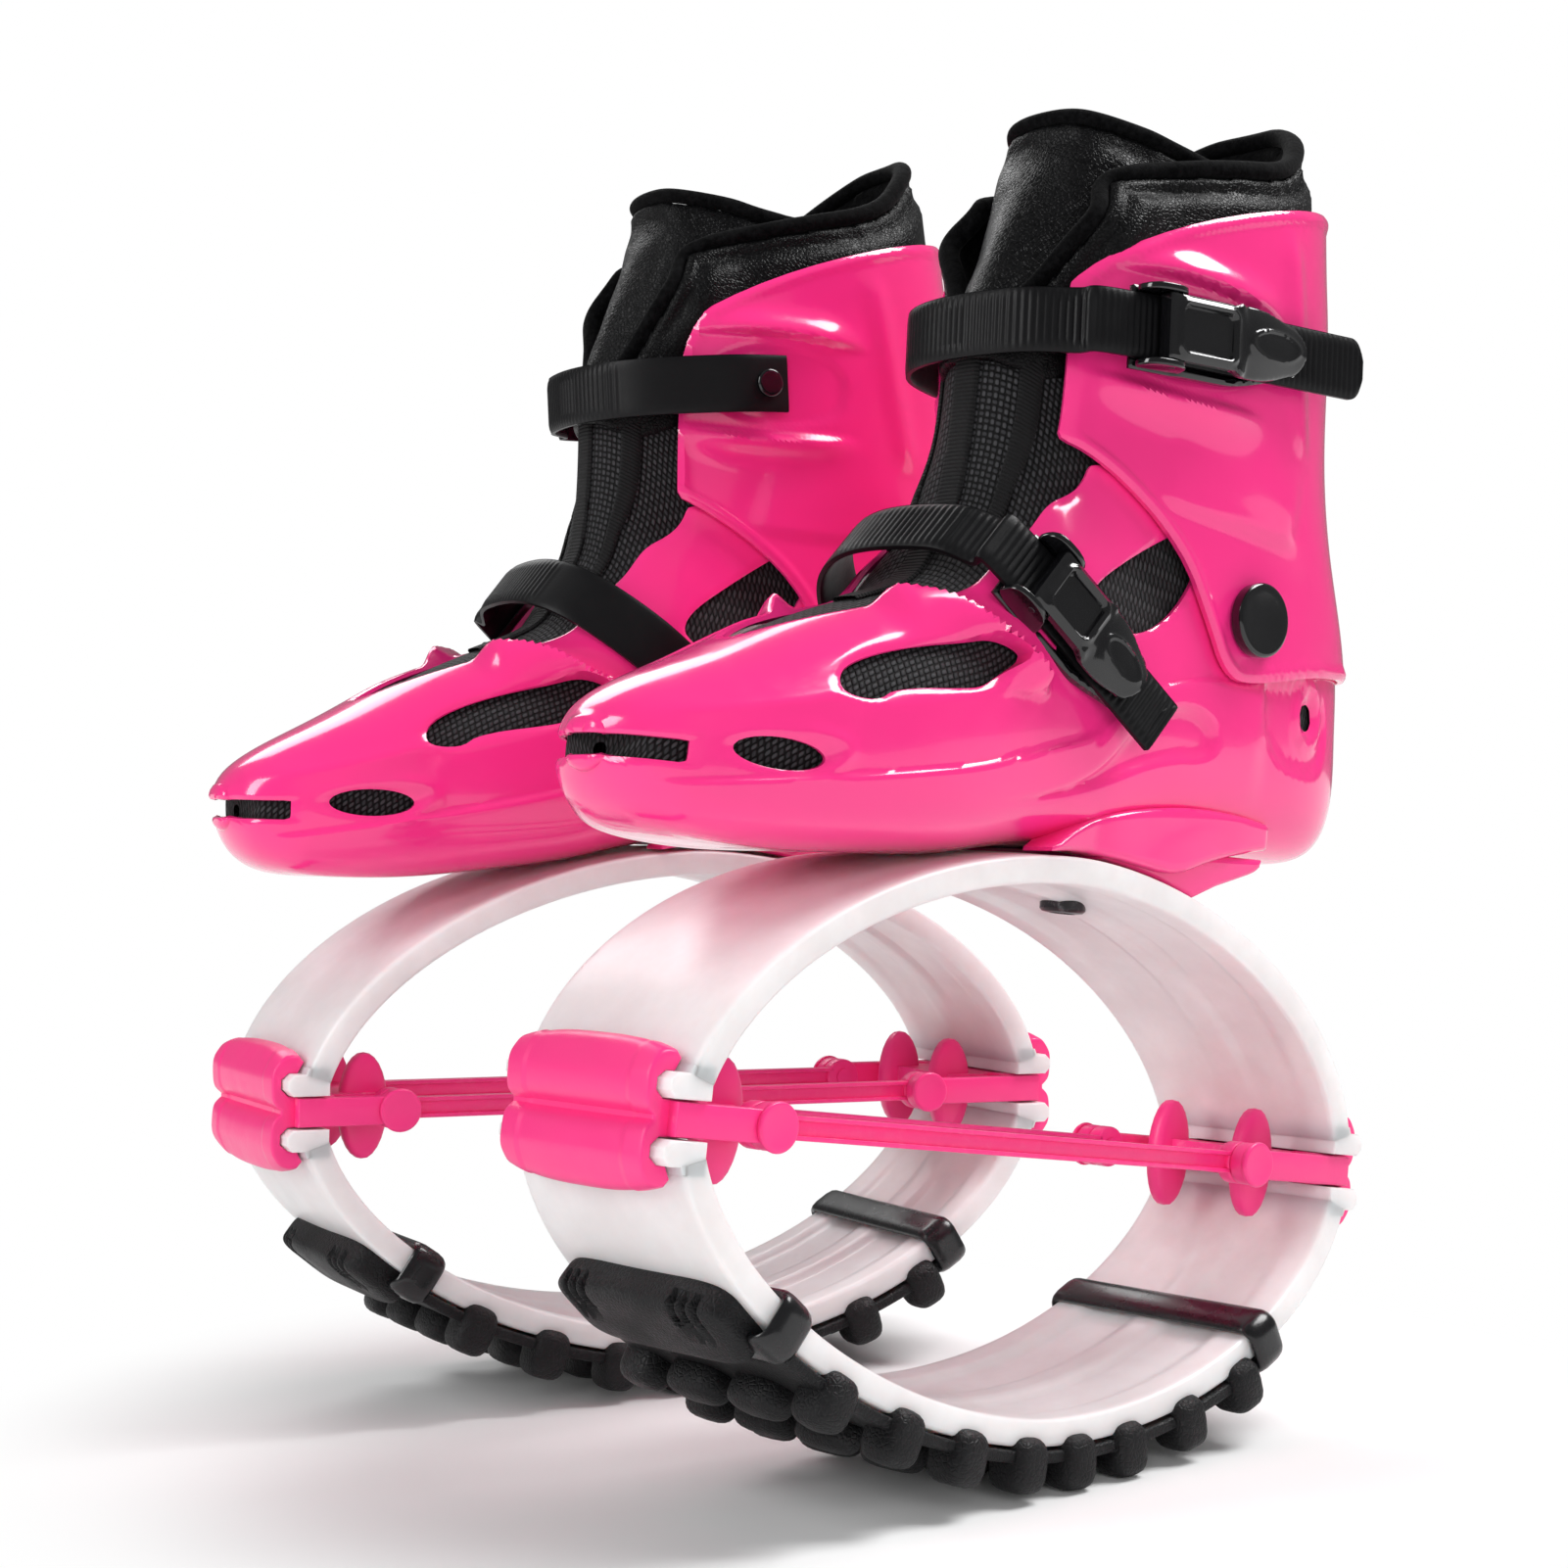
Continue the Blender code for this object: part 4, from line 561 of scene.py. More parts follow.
def wall_faces(faces, count, strip=True):
    """A side's faces, the same ones turned over for the other side, and a strip that joins them."""
    back = [[v + count for v in face[::-1]] for face in faces]
    rim = [[b, a, a + count, b + count] for a, b in open_edges(faces).tolist()] if strip else []
    return faces + back + rim


def two_sided(outer, inner, faces, uv, strip=True):
    every = wall_faces(faces, len(outer), strip)
    rim_uv = np.zeros((4 * (len(every) - 2 * len(faces)), 2))
    shape = Shape(np.vstack([outer, inner]), every, np.vstack([uv, uv[reversed_corners(faces)], rim_uv]))
    shape.outer = len(faces)
    return shape


def walled(cut, thickness, relief, round_off=0.0008, reach=0.0016):
    """A hard wall: the skin, the same skin thickness deeper, and a strip that closes its rim.

    Near the rim both sides draw together by round_off * (1 - distance / reach)^2.
    """
    points, normals, uv, away, faces = cut
    ease = round_off * np.clip(1.0 - away / reach, 0.0, 1.0) ** 2
    high = relief(*points.T, away) - ease
    inner = points - normals * (thickness - 0.5 * ease)[:, None]
    return two_sided(points + normals * high[:, None], inner, faces, uv)


def stuffed(cut, thickness, relief=None, round_off=0.0035):
    """A soft wall whose rim closes in half an ellipse: both sides meet half way down at the rim."""
    points, normals, uv, away, faces = cut
    full = np.sqrt(np.clip(1.0 - (1.0 - np.clip(away / round_off, 0.0, 1.0)) ** 2, 0.0, 1.0))
    ease = thickness / 2.0 * (1.0 - full)
    high = -ease
    if relief is not None:
        high = high + full * relief(*points.T, away)
    inner = points - normals * (thickness - ease)[:, None]
    return two_sided(points + normals * high[:, None], inner, faces, uv, strip=False)


def hoop(y, depth=0.0):
    """The upper bow's outer curve at y, or that depth inside it: z = rise (1 - |y/l|^n)^(1/n)."""
    share = np.minimum(np.abs(y) / BOW_HALF_LENGTH, 1.0)
    base = (1.0 - share ** BOW_ROUNDNESS) ** (1.0 / BOW_ROUNDNESS)
    out_y = np.sign(y) * share ** (BOW_ROUNDNESS - 1.0) / BOW_HALF_LENGTH
    out_z = base ** (BOW_ROUNDNESS - 1.0) / BOW_RISE
    length = np.hypot(out_y, out_z)
    out_y, out_z = out_y / length, out_z / length
    return RING_MIDDLE_Y + y - out_y * depth, BOW_RISE * base - out_z * depth, out_y, out_z


def hoop_half_width(y):
    height = hoop(y)[1] / BOW_RISE
    return (BOW_END_WIDTH + (BOW_CREST_WIDTH - BOW_END_WIDTH) * height) / 2.0


def hoop_places(first, last, count):
    """Places along the bow, closer together where it turns down to its ends."""
    low, high = math.asin(first / BOW_HALF_LENGTH), math.asin(last / BOW_HALF_LENGTH)
    return BOW_HALF_LENGTH * np.sin(np.linspace(low, high, count))


def bow_end():
    top = (LIP_GAP + LIP_THICKNESS) / BOW_RISE
    return BOW_HALF_LENGTH * (1.0 - top ** BOW_ROUNDNESS) ** (1.0 / BOW_ROUNDNESS)


def rounded_box_ring(half_wide, low, high, radius, arc, flat):
    """A closed section (x, height) of a box with round corners, the same point count for any size."""
    half_wide, low, high = np.broadcast_arrays(
        np.asarray(half_wide, float), np.asarray(low, float), np.asarray(high, float))
    radius = np.minimum(radius, np.minimum(half_wide, (high - low) / 2.0) * 0.98)
    parts = []
    corners = ((1, 1, 0.0), (-1, 1, 90.0), (-1, -1, 180.0), (1, -1, 270.0))
    for side_x, side_z, start in corners:
        turn = np.radians(start + np.linspace(0.0, 90.0, arc))
        middle_x = side_x * (half_wide - radius)
        middle_z = np.where(side_z > 0, high - radius, low + radius)
        parts.append(np.stack([
            middle_x[..., None] + radius[..., None] * np.cos(turn),
            middle_z[..., None] + radius[..., None] * np.sin(turn),
        ], axis=-1))
    ring = []
    for index, part in enumerate(parts):
        ring.append(part)
        nxt = parts[(index + 1) % 4]
        share = np.linspace(0.0, 1.0, flat + 2)[1:-1][:, None]
        ring.append(part[..., -1:, :] * (1.0 - share) + nxt[..., :1, :] * share)
    return np.concatenate(ring, axis=-2)


def sweep_faces(rows, columns, close_rows=False, caps=True):
    """Quads of a grid that closes round its columns, with a flat cap at each end."""
    i = np.arange(rows if close_rows else rows - 1)
    j = np.arange(columns)
    a = (i[:, None] * columns + j[None, :]).ravel()
    b = (i[:, None] * columns + (j[None, :] + 1) % columns).ravel()
    c = (((i[:, None] + 1) % rows) * columns + (j[None, :] + 1) % columns).ravel()
    d = (((i[:, None] + 1) % rows) * columns + j[None, :]).ravel()
    faces = np.stack([a, b, c, d], axis=1).tolist()
    if caps and not close_rows:
        faces.append(list(range(columns))[::-1])
        faces.append(list(range((rows - 1) * columns, rows * columns)))
    return faces


def superellipsoid(half, power, rows, columns):
    """A box-like ball: each axis is half * sign * |cos or sin|^power of its two angles."""
    up = np.linspace(-math.pi / 2, math.pi / 2, rows + 1)
    round_ = 2.0 * math.pi * np.arange(columns) / columns

    def shaped(values):
        return np.sign(values) * np.abs(values) ** power

    ring = shaped(np.cos(up[1:-1]))[:, None]
    x = half[0] * ring * shaped(np.cos(round_))[None, :]
    y = half[1] * ring * shaped(np.sin(round_))[None, :]
    z = half[2] * shaped(np.sin(up[1:-1]))[:, None] * np.ones((1, columns))
    points = np.stack([x, y, z], 2).reshape(-1, 3)
    bottom, top = len(points), len(points) + 1
    points = np.vstack([points, [[0, 0, -half[2]]], [[0, 0, half[2]]]])
    faces = sweep_faces(rows - 1, columns, caps=False)
    ring_last = (rows - 2) * columns
    for j in range(columns):
        k = (j + 1) % columns
        faces.append([bottom, k, j])
        faces.append([top, ring_last + j, ring_last + k])
    return points, faces


def joined(parts):
    """Several (points, faces) as one."""
    points, faces, start = [], [], 0
    for these, those in parts:
        points.append(np.asarray(these, float))
        faces += [[v + start for v in face] for face in those]
        start += len(these)
    return np.vstack(points), faces


# ================================================================ placing pieces
def placement(side):
    """The turn and shift from a shoe's own frame to the pair: mirror, rock back, toe out, stand."""
    shoe = SHOES[side]
    pitch, swing = -shoe["pitch"], shoe["mirror"] * TOE_OUT
    rock = np.array([[1, 0, 0], [0, math.cos(pitch), -math.sin(pitch)], [0, math.sin(pitch), math.cos(pitch)]])
    yaw = np.array([[math.cos(swing), -math.sin(swing), 0], [math.sin(swing), math.cos(swing), 0], [0, 0, 1]])
    return yaw @ np.diag([shoe["mirror"], 1.0, 1.0]) @ rock, np.array(shoe["centre"])


def to_pair(side, points):
    turn, centre = placement(side)
    return np.asarray(points, float).reshape(-1, 3) @ turn.T + centre


class Shape:
    """One worked-out piece in the shoe's own frame: points, faces, and a map for each face corner."""

    def __init__(self, points, faces, corner_map=None):
        self.points = np.asarray(points, float).reshape(-1, 3)
        self.faces = faces
        self.corner_map = corner_map
        self.tints = None


def outward(mesh):
    """Turns every closed shell of a mesh so that its faces point out."""
    work = bmesh.new()
    work.from_mesh(mesh)
    bmesh.ops.remove_doubles(work, verts=work.verts, dist=SAME_PLACE)
    bmesh.ops.recalc_face_normals(work, faces=work.faces)
    work.to_mesh(mesh)
    work.free()


def put(name, made, body, slot, materials, stands_for, sharp=40.0, blend=None):
    """Places a piece on both shoes, with its materials, on its body unless blend is given, and hides the CAD nodes it
    stands for; its slot is not used.
    """
    shape = made if isinstance(made, Shape) else Shape(*made)
    placed = []
    for side in SHOES:
        mesh = bpy.data.meshes.new(f"{side}_{name}")
        turned = SHOES[side]["mirror"] < 0
        faces = [face[::-1] for face in shape.faces] if turned else shape.faces
        mesh.from_pydata(to_pair(side, shape.points).tolist(), [], faces)
        if shape.corner_map is not None:
            layer = mesh.uv_layers.new(name="map")
            values = shape.corner_map[reversed_corners(shape.faces)] if turned else shape.corner_map
            layer.data.foreach_set("uv", np.ascontiguousarray(values, np.float32).ravel())
        for material in materials:
            mesh.materials.append(material)
        if shape.tints is not None:
            mesh.polygons.foreach_set("material_index", np.asarray(shape.tints, np.int32))
        outward(mesh)
        mesh.shade_smooth()
        mesh.set_sharp_from_angle(angle=math.radians(sharp))
        obj = bpy.data.objects.new(f"{side}_{name}_skin", mesh)
        bpy.context.scene.collection.objects.link(obj)
        if blend:
            low, high, start, end = blend
            start, end = to_pair(side, start)[0], to_pair(side, end)[0]
            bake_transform(obj)
        else:
            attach(obj, f"{side}_{body}")
        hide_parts(*[f"{side}_{node}" for node in stands_for])
        placed.append(obj)
    return placed


def settle(obj):
    """Makes the modifiers' result the object's own mesh."""
    graph = bpy.context.evaluated_depsgraph_get()
    graph.update()
    mesh = bpy.data.meshes.new_from_object(obj.evaluated_get(graph))
    obj.modifiers.clear()
    obj.data = mesh


# ================================================================ the hard boot
def line_of(*places):
    """Places in millimetres on the side plane, as (y, z) in metres."""
    return np.array(places, float) / 1000.0


WELT_LINE = line_of((85, 150.5), (67, 151.3), (45.7, 150.1), (29.5, 146), (15.9, 140.8), (4.7, 135.3), (-2, 128.5),
                    (-12.8, 122.2), (-34.6, 115), (-54, 108.9), (-79.5, 103.2), (-104, 98.6), (-128, 94.3), (-155, 90))
FIN_LINE = line_of((-25.9, 132.2), (-25.6, 135.9), (-29.3, 141.8), (-36.6, 147), (-48.5, 152.7), (-59.8, 156),
                   (-78, 155.3))
FIN_SHIFT = (-0.0050, -0.0015)
TOE_LINE = line_of((-158, 109), (-138, 113), (-117, 118), (-99, 123.5), (-88, 129))
FRONT_WINDOW = cut_corners(line_of(
    (-104.8, 126), (-103.4, 121.6), (-92.5, 121.8), (-89.5, 125.2), (-79.8, 127.7), (-66.1, 129.4), (-55.6, 131.2),
    (-48.9, 136.1), (-38.8, 142.7), (-43.2, 145.8), (-50.4, 147.6), (-59.2, 145.1), (-76.5, 141.4), (-91.4, 136.6),
    (-101.7, 131)), 2)
WINDOW_FIELD = cut_corners(line_of(
    (-107.5, 126), (-105, 119), (-90, 119.5), (-60, 127), (-46, 132), (-36, 143), (-47, 153), (-73.3, 146.5),
    (-93.1, 140), (-103, 132.5)), 2)
VENT_RIM = line_of((-121, 111), (-111, 109.8), (-104, 108.2), (-102.2, 104.6), (-105.4, 100.6), (-112, 97.6),
                   (-121, 96.5))
CRESCENT = cut_corners(line_of(
    (-58, 98.7), (-35, 102.0), (-11.5, 110.5), (1, 119), (7.8, 127.5), (17, 134.5), (27, 139.5), (39, 141.5),
    (50, 139), (54, 132), (50, 124), (35, 122.5), (18.8, 118), (-5.4, 107), (-27.5, 100.8)), 2)
HEEL_RECESS = cut_corners(line_of(
    (77, 158), (76.5, 147), (79.3, 139.3), (87, 130.9), (96.4, 127.8), (116, 129), (122, 142), (116, 158)), 2)
WING_TOP = line_of((-18.6, 88.6), (-8.1, 95.9), (6.6, 102.5), (26.1, 106.9), (46.4, 109.6), (67.7, 110.3),
                   (80, 110.0), (89.0, 109.4))
WING_LOW = line_of((-18.6, 88.0), (-3.5, 90), (12.4, 89.6), (30, 88), (40, 87.5), (57, 94.1), (76, 98.8),
                   (89.0, 101.3))
CUFF_UPPER_RIDGE = line_of((-12, 271.5), (20, 272), (60, 268))
CUFF_LOWER_RIDGE = line_of((58, 235), (20, 234.5), (-16, 236.5))
CUFF_POCKET = cut_corners(line_of((-2, 269), (50, 266), (50, 238), (-2, 238)), 3)
CUFF_REAR_RIDGE = line_of((55, 300), (62, 279), (71.5, 249), (79.5, 222))
CUFF_CRESCENT = line_of((14, 204), (28, 201), (52, 200), (82, 199))


def skin_side(x):
    """1 on the sides of the boot and 0 along its middle."""
    return smooth_step((np.abs(x) - 0.010) / 0.014)


def shell_relief(x, y, z, _):
    """The welt, the sickle fin, the window field, the vent's rim and the heel's hollows, in metres."""
    height = ledge(y, z, WELT_LINE, height=0.0014, width=0.0009, fade=0.05, reach=0.045)
    height += fin(y - FIN_SHIFT[0], z - FIN_SHIFT[1], FIN_LINE, height=0.0062, width=0.0075, drop=0.0014, fade=0.16)
    for outline, depth, edge in ((WINDOW_FIELD, 0.0011, 0.0055), (CRESCENT, 0.0022, 0.0040),
                                 (HEEL_RECESS, 0.0015, 0.0016)):
        height += hollow(y, z, outline, depth, edge)
    height += ridge(y, z, VENT_RIM, height=0.0011, width=0.0020, fade=0.35)
    hole_y, hole_z = boot_place(HEEL_HOLE_SHARES)
    height += 0.0014 * np.exp(-((np.hypot(y - hole_y, z - hole_z) - 0.0085) / 0.0020) ** 2)
    toe = ridge(y, z, TOE_LINE, height=0.0009, width=0.0028) * smooth_step((np.abs(x) - 0.004) / 0.008)
    return height * skin_side(x) + toe


def clear_of(first, second, *outlines):
    """How far each point lies outside all of the outlines."""
    return np.minimum.reduce([-inside_distance(first, second, outline) for outline in outlines])


def shell_keep(skin):
    """How far each point is inside what is left of the shell; below zero it is cut away."""
    x, y, z = skin.x, skin.y, skin.z
    throat = np.array([(w * BOOT_HALF_WIDTH, TOE_Y + l * BOOT_LENGTH) for l, w in THROAT_SHARES])
    throat = np.vstack([throat, (throat * [-1.0, 1.0])[::-1][:-1]])
    low = SOLE_Z + 0.18 * BOOT_HEIGHT
    keep = np.maximum(clear_of(x, y, cut_corners(throat)), low - z)
    rim, rear_window = side_outline(SHELL_RIM_SHARES, 2), side_outline(REAR_WINDOW_SHARES)
    keep = np.minimum(keep, clear_of(y, z, rim, rear_window, FRONT_WINDOW))
    vent_y, vent_z = boot_place(VENT_CENTRE_SHARES)
    oval = np.hypot((y - vent_y) / VENT_HALF_LENGTH, (z - vent_z) / VENT_HALF_HEIGHT)
    keep = np.minimum(keep, (oval - 1.0) * VENT_HALF_HEIGHT)
    slot_z = SOLE_Z + TOE_SLOT_Z_SHARE * BOOT_HEIGHT
    slot = np.minimum(TOE_Y + TOE_SLOT_LENGTH - y, TOE_SLOT_HEIGHT / 2 - np.abs(z - slot_z))
    hole_y, hole_z = boot_place(HEEL_HOLE_SHARES)
    return np.minimum(np.minimum(keep, -slot), np.hypot(y - hole_y, z - hole_z) - HEEL_HOLE_RADIUS)


def lower_shell():
    skin = boot_skin(0, 16, rows=150, columns=310, inset=0.0, nose=6)
    return walled(trimmed(skin, shell_keep(skin)), SHELL_WALL, shell_relief)


def cuff_relief(x, y, z, away):
    """The lip along the cuff's edges, the fins over and under the buckle, and the rear ridge."""
    side = skin_side(x)
    height = 0.0008 * (1.0 - smooth_step((away - 0.0030) / 0.0014))
    height = height + fin(y, z, CUFF_UPPER_RIDGE, height=0.0042, width=0.0060, drop=0.0026) * side
    height += fin(y, z, CUFF_LOWER_RIDGE, height=0.0042, width=0.0065, drop=0.0026) * side
    height += hollow(y, z, CUFF_POCKET, depth=0.0010, edge=0.0030) * side
    height += ledge(y, z, CUFF_CRESCENT, height=0.0014, width=0.0025) * side
    return height + ridge(y, z, CUFF_REAR_RIDGE, height=0.0016, width=0.0050) * side


def cuff_keep(skin):
    x, y, z = skin.x, skin.y, skin.z
    keep = inside_distance(y, z, side_outline(CUFF_EDGE_SHARES, 2))
    front = np.minimum(np.minimum(CUFF_FRONT_HALF_WIDTH - np.abs(x), -y), z - PIVOT_Z)
    inner = inside_distance(y, z, side_outline(INNER_CUFF_FRONT_SHARES, 2))
    keep = np.minimum(keep, -front)
    return np.minimum(keep, np.where(x < 0, -inner, 1.0))


def cuff():
    skin = boot_skin(9.6, 20, rows=170, columns=190, inset=-(CUFF_GAP + CUFF_WALL))
    return walled(trimmed(skin, cuff_keep(skin)), CUFF_WALL, cuff_relief, round_off=0.0011, reach=0.0024)


# ================================================================ the padded liner
MESH_TOP_Z = 0.262
FRONT_GAP = cut_corners(line_of(
    (-90, 252), (-27, 252), (-24, 258), (-18, 274), (-10, 294), (-5, 304), (-5, 400), (-90, 400)), 1)
BORDER = 0.0052
TONGUE_WALL = 0.0050
TONGUE_BORDER_WALL = 0.0052
TONGUE_HALF_WIDTH = 0.030
TONGUE_TOP_HALF_WIDTH = 0.041
TONGUE_LOW_Z = 0.226
TONGUE_TOP_Z = 0.322
TONGUE_BACK_Y = 0.040
CLOTH_FRAMES = 20
CLOTH_HELD = 0.002
CLOTH_FREE = 0.012
TAPE_STEP = 0.0016
TAPE_SIDES = 20
STRIP_BACK_Y = 0.03


def liner_keep(skin):
    return clear_of(skin.y, skin.z, side_outline(COLLAR_TOP_SHARES, 2), FRONT_GAP)


def liner_relief(_x, _y, z, away):
    """The leather panels fill out inside a narrow border that is pulled in along its seam."""
    collar = smooth_step((z - MESH_TOP_Z) / 0.014)
    seam = np.exp(-((away - BORDER) / 0.0011) ** 2)
    return (0.0026 * smooth_step((away - BORDER) / 0.0060) - 0.0013 * seam) * collar


def flared(skin):
    """The collar's front corners stand open: they move out and forward, the more so the higher up."""
    x, y, z = skin.x, skin.y, skin.z
    front = smooth_step((0.016 - y) / 0.040) * smooth_step(np.abs(x) / 0.02)
    wide = 0.010 * smooth_step((z - 0.246) / 0.035) + 0.013 * smooth_step((z - 0.269) / 0.024)
    moved = skin.points.copy()
    moved[..., 0] += np.sign(x) * front * wide
    moved[..., 1] -= 0.004 * front * smooth_step((z - 0.250) / 0.050)
    return Skin(moved)


def liner_cut():
    inset = SHELL_WALL + COLLAR_GAP + 0.0004
    skin = flared(boot_skin(1.4, 20, rows=190, columns=190, inset=inset, nose=5, rise=0.008))
    return trimmed(skin, liner_keep(skin))


def liner(cut):
    shape = stuffed(cut, LINER_WALL, liner_relief)
    tints = np.where(face_middles(shape)[:, 2] > MESH_TOP_Z, 1, 0)
    tints[shape.outer:] = 2
    shape.tints = tints
    return shape


def face_middles(shape):
    total = np.zeros((len(shape.faces), 3))
    sizes = np.array([len(face) for face in shape.faces])
    owner = np.repeat(np.arange(len(sizes)), sizes)
    corners = np.concatenate([np.asarray(face) for face in shape.faces])
    np.add.at(total, owner, shape.points[corners])
    return total / sizes[:, None]


def tongue_keep(skin):
    """An arch over the top, a rounded flap at the bottom, and sides that widen under the collar."""
    x, y, z = np.abs(skin.x), skin.y, skin.z
    half = TONGUE_HALF_WIDTH + 0.0110 * smooth_step((z - 0.252) / 0.020)
    keep = np.minimum(half - x, z - TONGUE_LOW_Z - 0.012 * (x / TONGUE_HALF_WIDTH) ** 2)
    keep = np.minimum(keep, TONGUE_TOP_Z - 0.013 * (x / TONGUE_TOP_HALF_WIDTH) ** 3.0 - z)
    return np.minimum(keep, TONGUE_BACK_Y - y)


def tongue_relief(_x, _y, _z, away):
    """The pad fills out inside a bound edge."""
    return 0.0014 * smooth_step((away - BORDER) / 0.0070) - 0.0009 * np.exp(-((away - BORDER) / 0.0010) ** 2)


def tucked(skin):
    """The tongue is rounder than the boot, leans forward at its top, and slips inside the collar."""
    high = smooth_step((skin.z - 0.240) / 0.018)
    deep = 0.0085 * smooth_step((np.abs(skin.x) - 0.013) / 0.023) * high
    moved = skin.points - skin.normals * deep[..., None]
    round_off = 0.0090 * (1.0 - 0.85 * smooth_step((skin.z - 0.272) / 0.045))
    moved[..., 1] += round_off * smooth_step((np.abs(skin.x) - 0.002) / 0.024) * high * (skin.y < 0.03)
    moved[..., 1] -= 0.0060 * smooth_step((skin.z - 0.270) / 0.050)
    return Skin(moved)


def puffed(shape, rim, voxel, pressure, most):
    """Blows a pad up as cloth: its skin is rebuilt in voxels, then it swells under pressure.

    There is no gravity and the cloth runs for CLOTH_FRAMES. No point may move further than most, and
    less and less towards the rim's points. One subdivision smooths the result.
    """
    scene = bpy.context.scene
    mesh = bpy.data.meshes.new("pad_to_swell")
    mesh.from_pydata(shape.points.tolist(), [], shape.faces)
    outward(mesh)
    pad = bpy.data.objects.new("pad_to_swell", mesh)
    scene.collection.objects.link(pad)
    rebuild = pad.modifiers.new("rebuild", "REMESH")
    rebuild.mode = "VOXEL"
    rebuild.voxel_size = voxel
    settle(pad)
    rest = np.array([v.co for v in pad.data.vertices])
    nearest = np.array([((rim - point) ** 2).sum(axis=1).min() for point in rest]) ** 0.5
    most = most * smooth_step((nearest[:, None] - CLOTH_HELD) / CLOTH_FREE)
    cloth = pad.modifiers.new("swell", "CLOTH")
    cloth.settings.use_pressure = True
    cloth.settings.uniform_pressure_force = pressure
    cloth.settings.effector_weights.gravity = 0.0
    cloth.settings.quality = 6
    cloth.settings.mass = 0.25
    cloth.settings.tension_stiffness = 20.0
    cloth.settings.bending_stiffness = 2.0
    cloth.point_cache.frame_start, cloth.point_cache.frame_end = 1, CLOTH_FRAMES
    for frame_number in range(1, CLOTH_FRAMES + 1):
        scene.frame_set(frame_number)
    graph = bpy.context.evaluated_depsgraph_get()
    swollen = np.array([v.co for v in pad.evaluated_get(graph).data.vertices])
    pad.modifiers.clear()
    step = swollen - rest
    far = np.linalg.norm(step, axis=1, keepdims=True)
    moved = rest + step * np.minimum(1.0, most / np.maximum(far, 1e-9))
    pad.data.vertices.foreach_set("co", moved.astype(np.float32).ravel())
    smooth = pad.modifiers.new("smooth", "SUBSURF")
    smooth.levels = smooth.render_levels = 1
    settle(pad)
    points = np.array([v.co for v in pad.data.vertices])
    faces = [list(face.vertices) for face in pad.data.polygons]
    bpy.data.objects.remove(pad)
    scene.frame_set(1)
    return Shape(points, faces)


def bound_edge(cut, thickness, floor, wide, extra):
    """A soft tape over a pad's edge: an oval carried along the part of the edge that is above floor.

    Across it runs wide * cos t into the pad and (thickness / 2 + extra) * sin t through it.
    """
    follow = dict(open_edges(cut[4]).tolist())
    loops = []
    while follow:
        start, after = follow.popitem()
        loop = [start]
        while after != start:
            loop.append(after)
            after = follow.pop(after)
        loops.append(loop)
    loop = np.array(max(loops, key=len))
    lowest = int(np.argmin(cut[0][loop, 2]))
    loop = np.roll(loop, -lowest)
    loop = loop[cut[0][loop, 2] > floor]
    path = np.hstack([cut[0][loop], cut[1][loop]])
    run = run_along(path[:, :3])
    path = read_along(path, run, int(run[-1] / TAPE_STEP))
    for _ in range(4):
        path[1:-1] = 0.25 * path[:-2] + 0.5 * path[1:-1] + 0.25 * path[2:]
    out = path[:, 3:] / np.linalg.norm(path[:, 3:], axis=1, keepdims=True)
    ahead = np.gradient(path[:, :3], axis=0)
    into = np.cross(out, ahead)
    into /= np.linalg.norm(into, axis=1, keepdims=True)
    middle = path[:, :3] - out * thickness / 2 + into * wide * 0.75
    turn = 2.0 * math.pi * np.arange(TAPE_SIDES) / TAPE_SIDES
    ring = middle[:, None] + into[:, None] * (wide * np.cos(turn))[None, :, None]
    ring = ring - out[:, None] * ((thickness / 2 + extra) * np.sin(turn))[None, :, None]
    return ring.reshape(-1, 3), sweep_faces(len(middle), len(turn))


def tongue_cut():
    inset = SHELL_WALL + COLLAR_GAP - 0.0012
    skin = tucked(boot_skin(12.5, 20, rows=100, columns=210, inset=inset, rise=0.014))
    return trimmed(skin, tongue_keep(skin))


def tongue(cut):
    shape = walled(cut, TONGUE_WALL, tongue_relief, round_off=0.0016, reach=0.003)
    rim = np.unique(open_edges(cut[4]))
    shape = puffed(shape, cut[0][rim] - cut[1][rim] * TONGUE_WALL / 2, voxel=0.0022, pressure=4.0, most=0.0026)
    middle = face_middles(shape)
    corners = np.array([face[:3] for face in shape.faces])
    a, b, c = (shape.points[corners[:, i]] for i in range(3))
    facing = np.cross(b - a, c - a)
    outside = facing[:, 0] * middle[:, 0] + facing[:, 1] * (middle[:, 1] - 0.035) > 0.0
    shape.tints = np.where(outside, 0, 1)
    return shape


def front_strip(low_x, high_x, low_z, high_z, lift, thickness):
    """A strip of webbing on the front of the liner between two x and two z."""
    skin = boot_skin(5, 20, rows=150, columns=420, inset=SHELL_WALL + COLLAR_GAP - lift)
    x, y, z = skin.x, skin.y, skin.z
    keep = np.minimum(np.minimum(x - low_x, high_x - x), np.minimum(z - low_z, high_z - z))
    keep = np.minimum(keep, STRIP_BACK_Y - y)
    return stuffed(trimmed(skin, keep), thickness, round_off=thickness * 0.6)


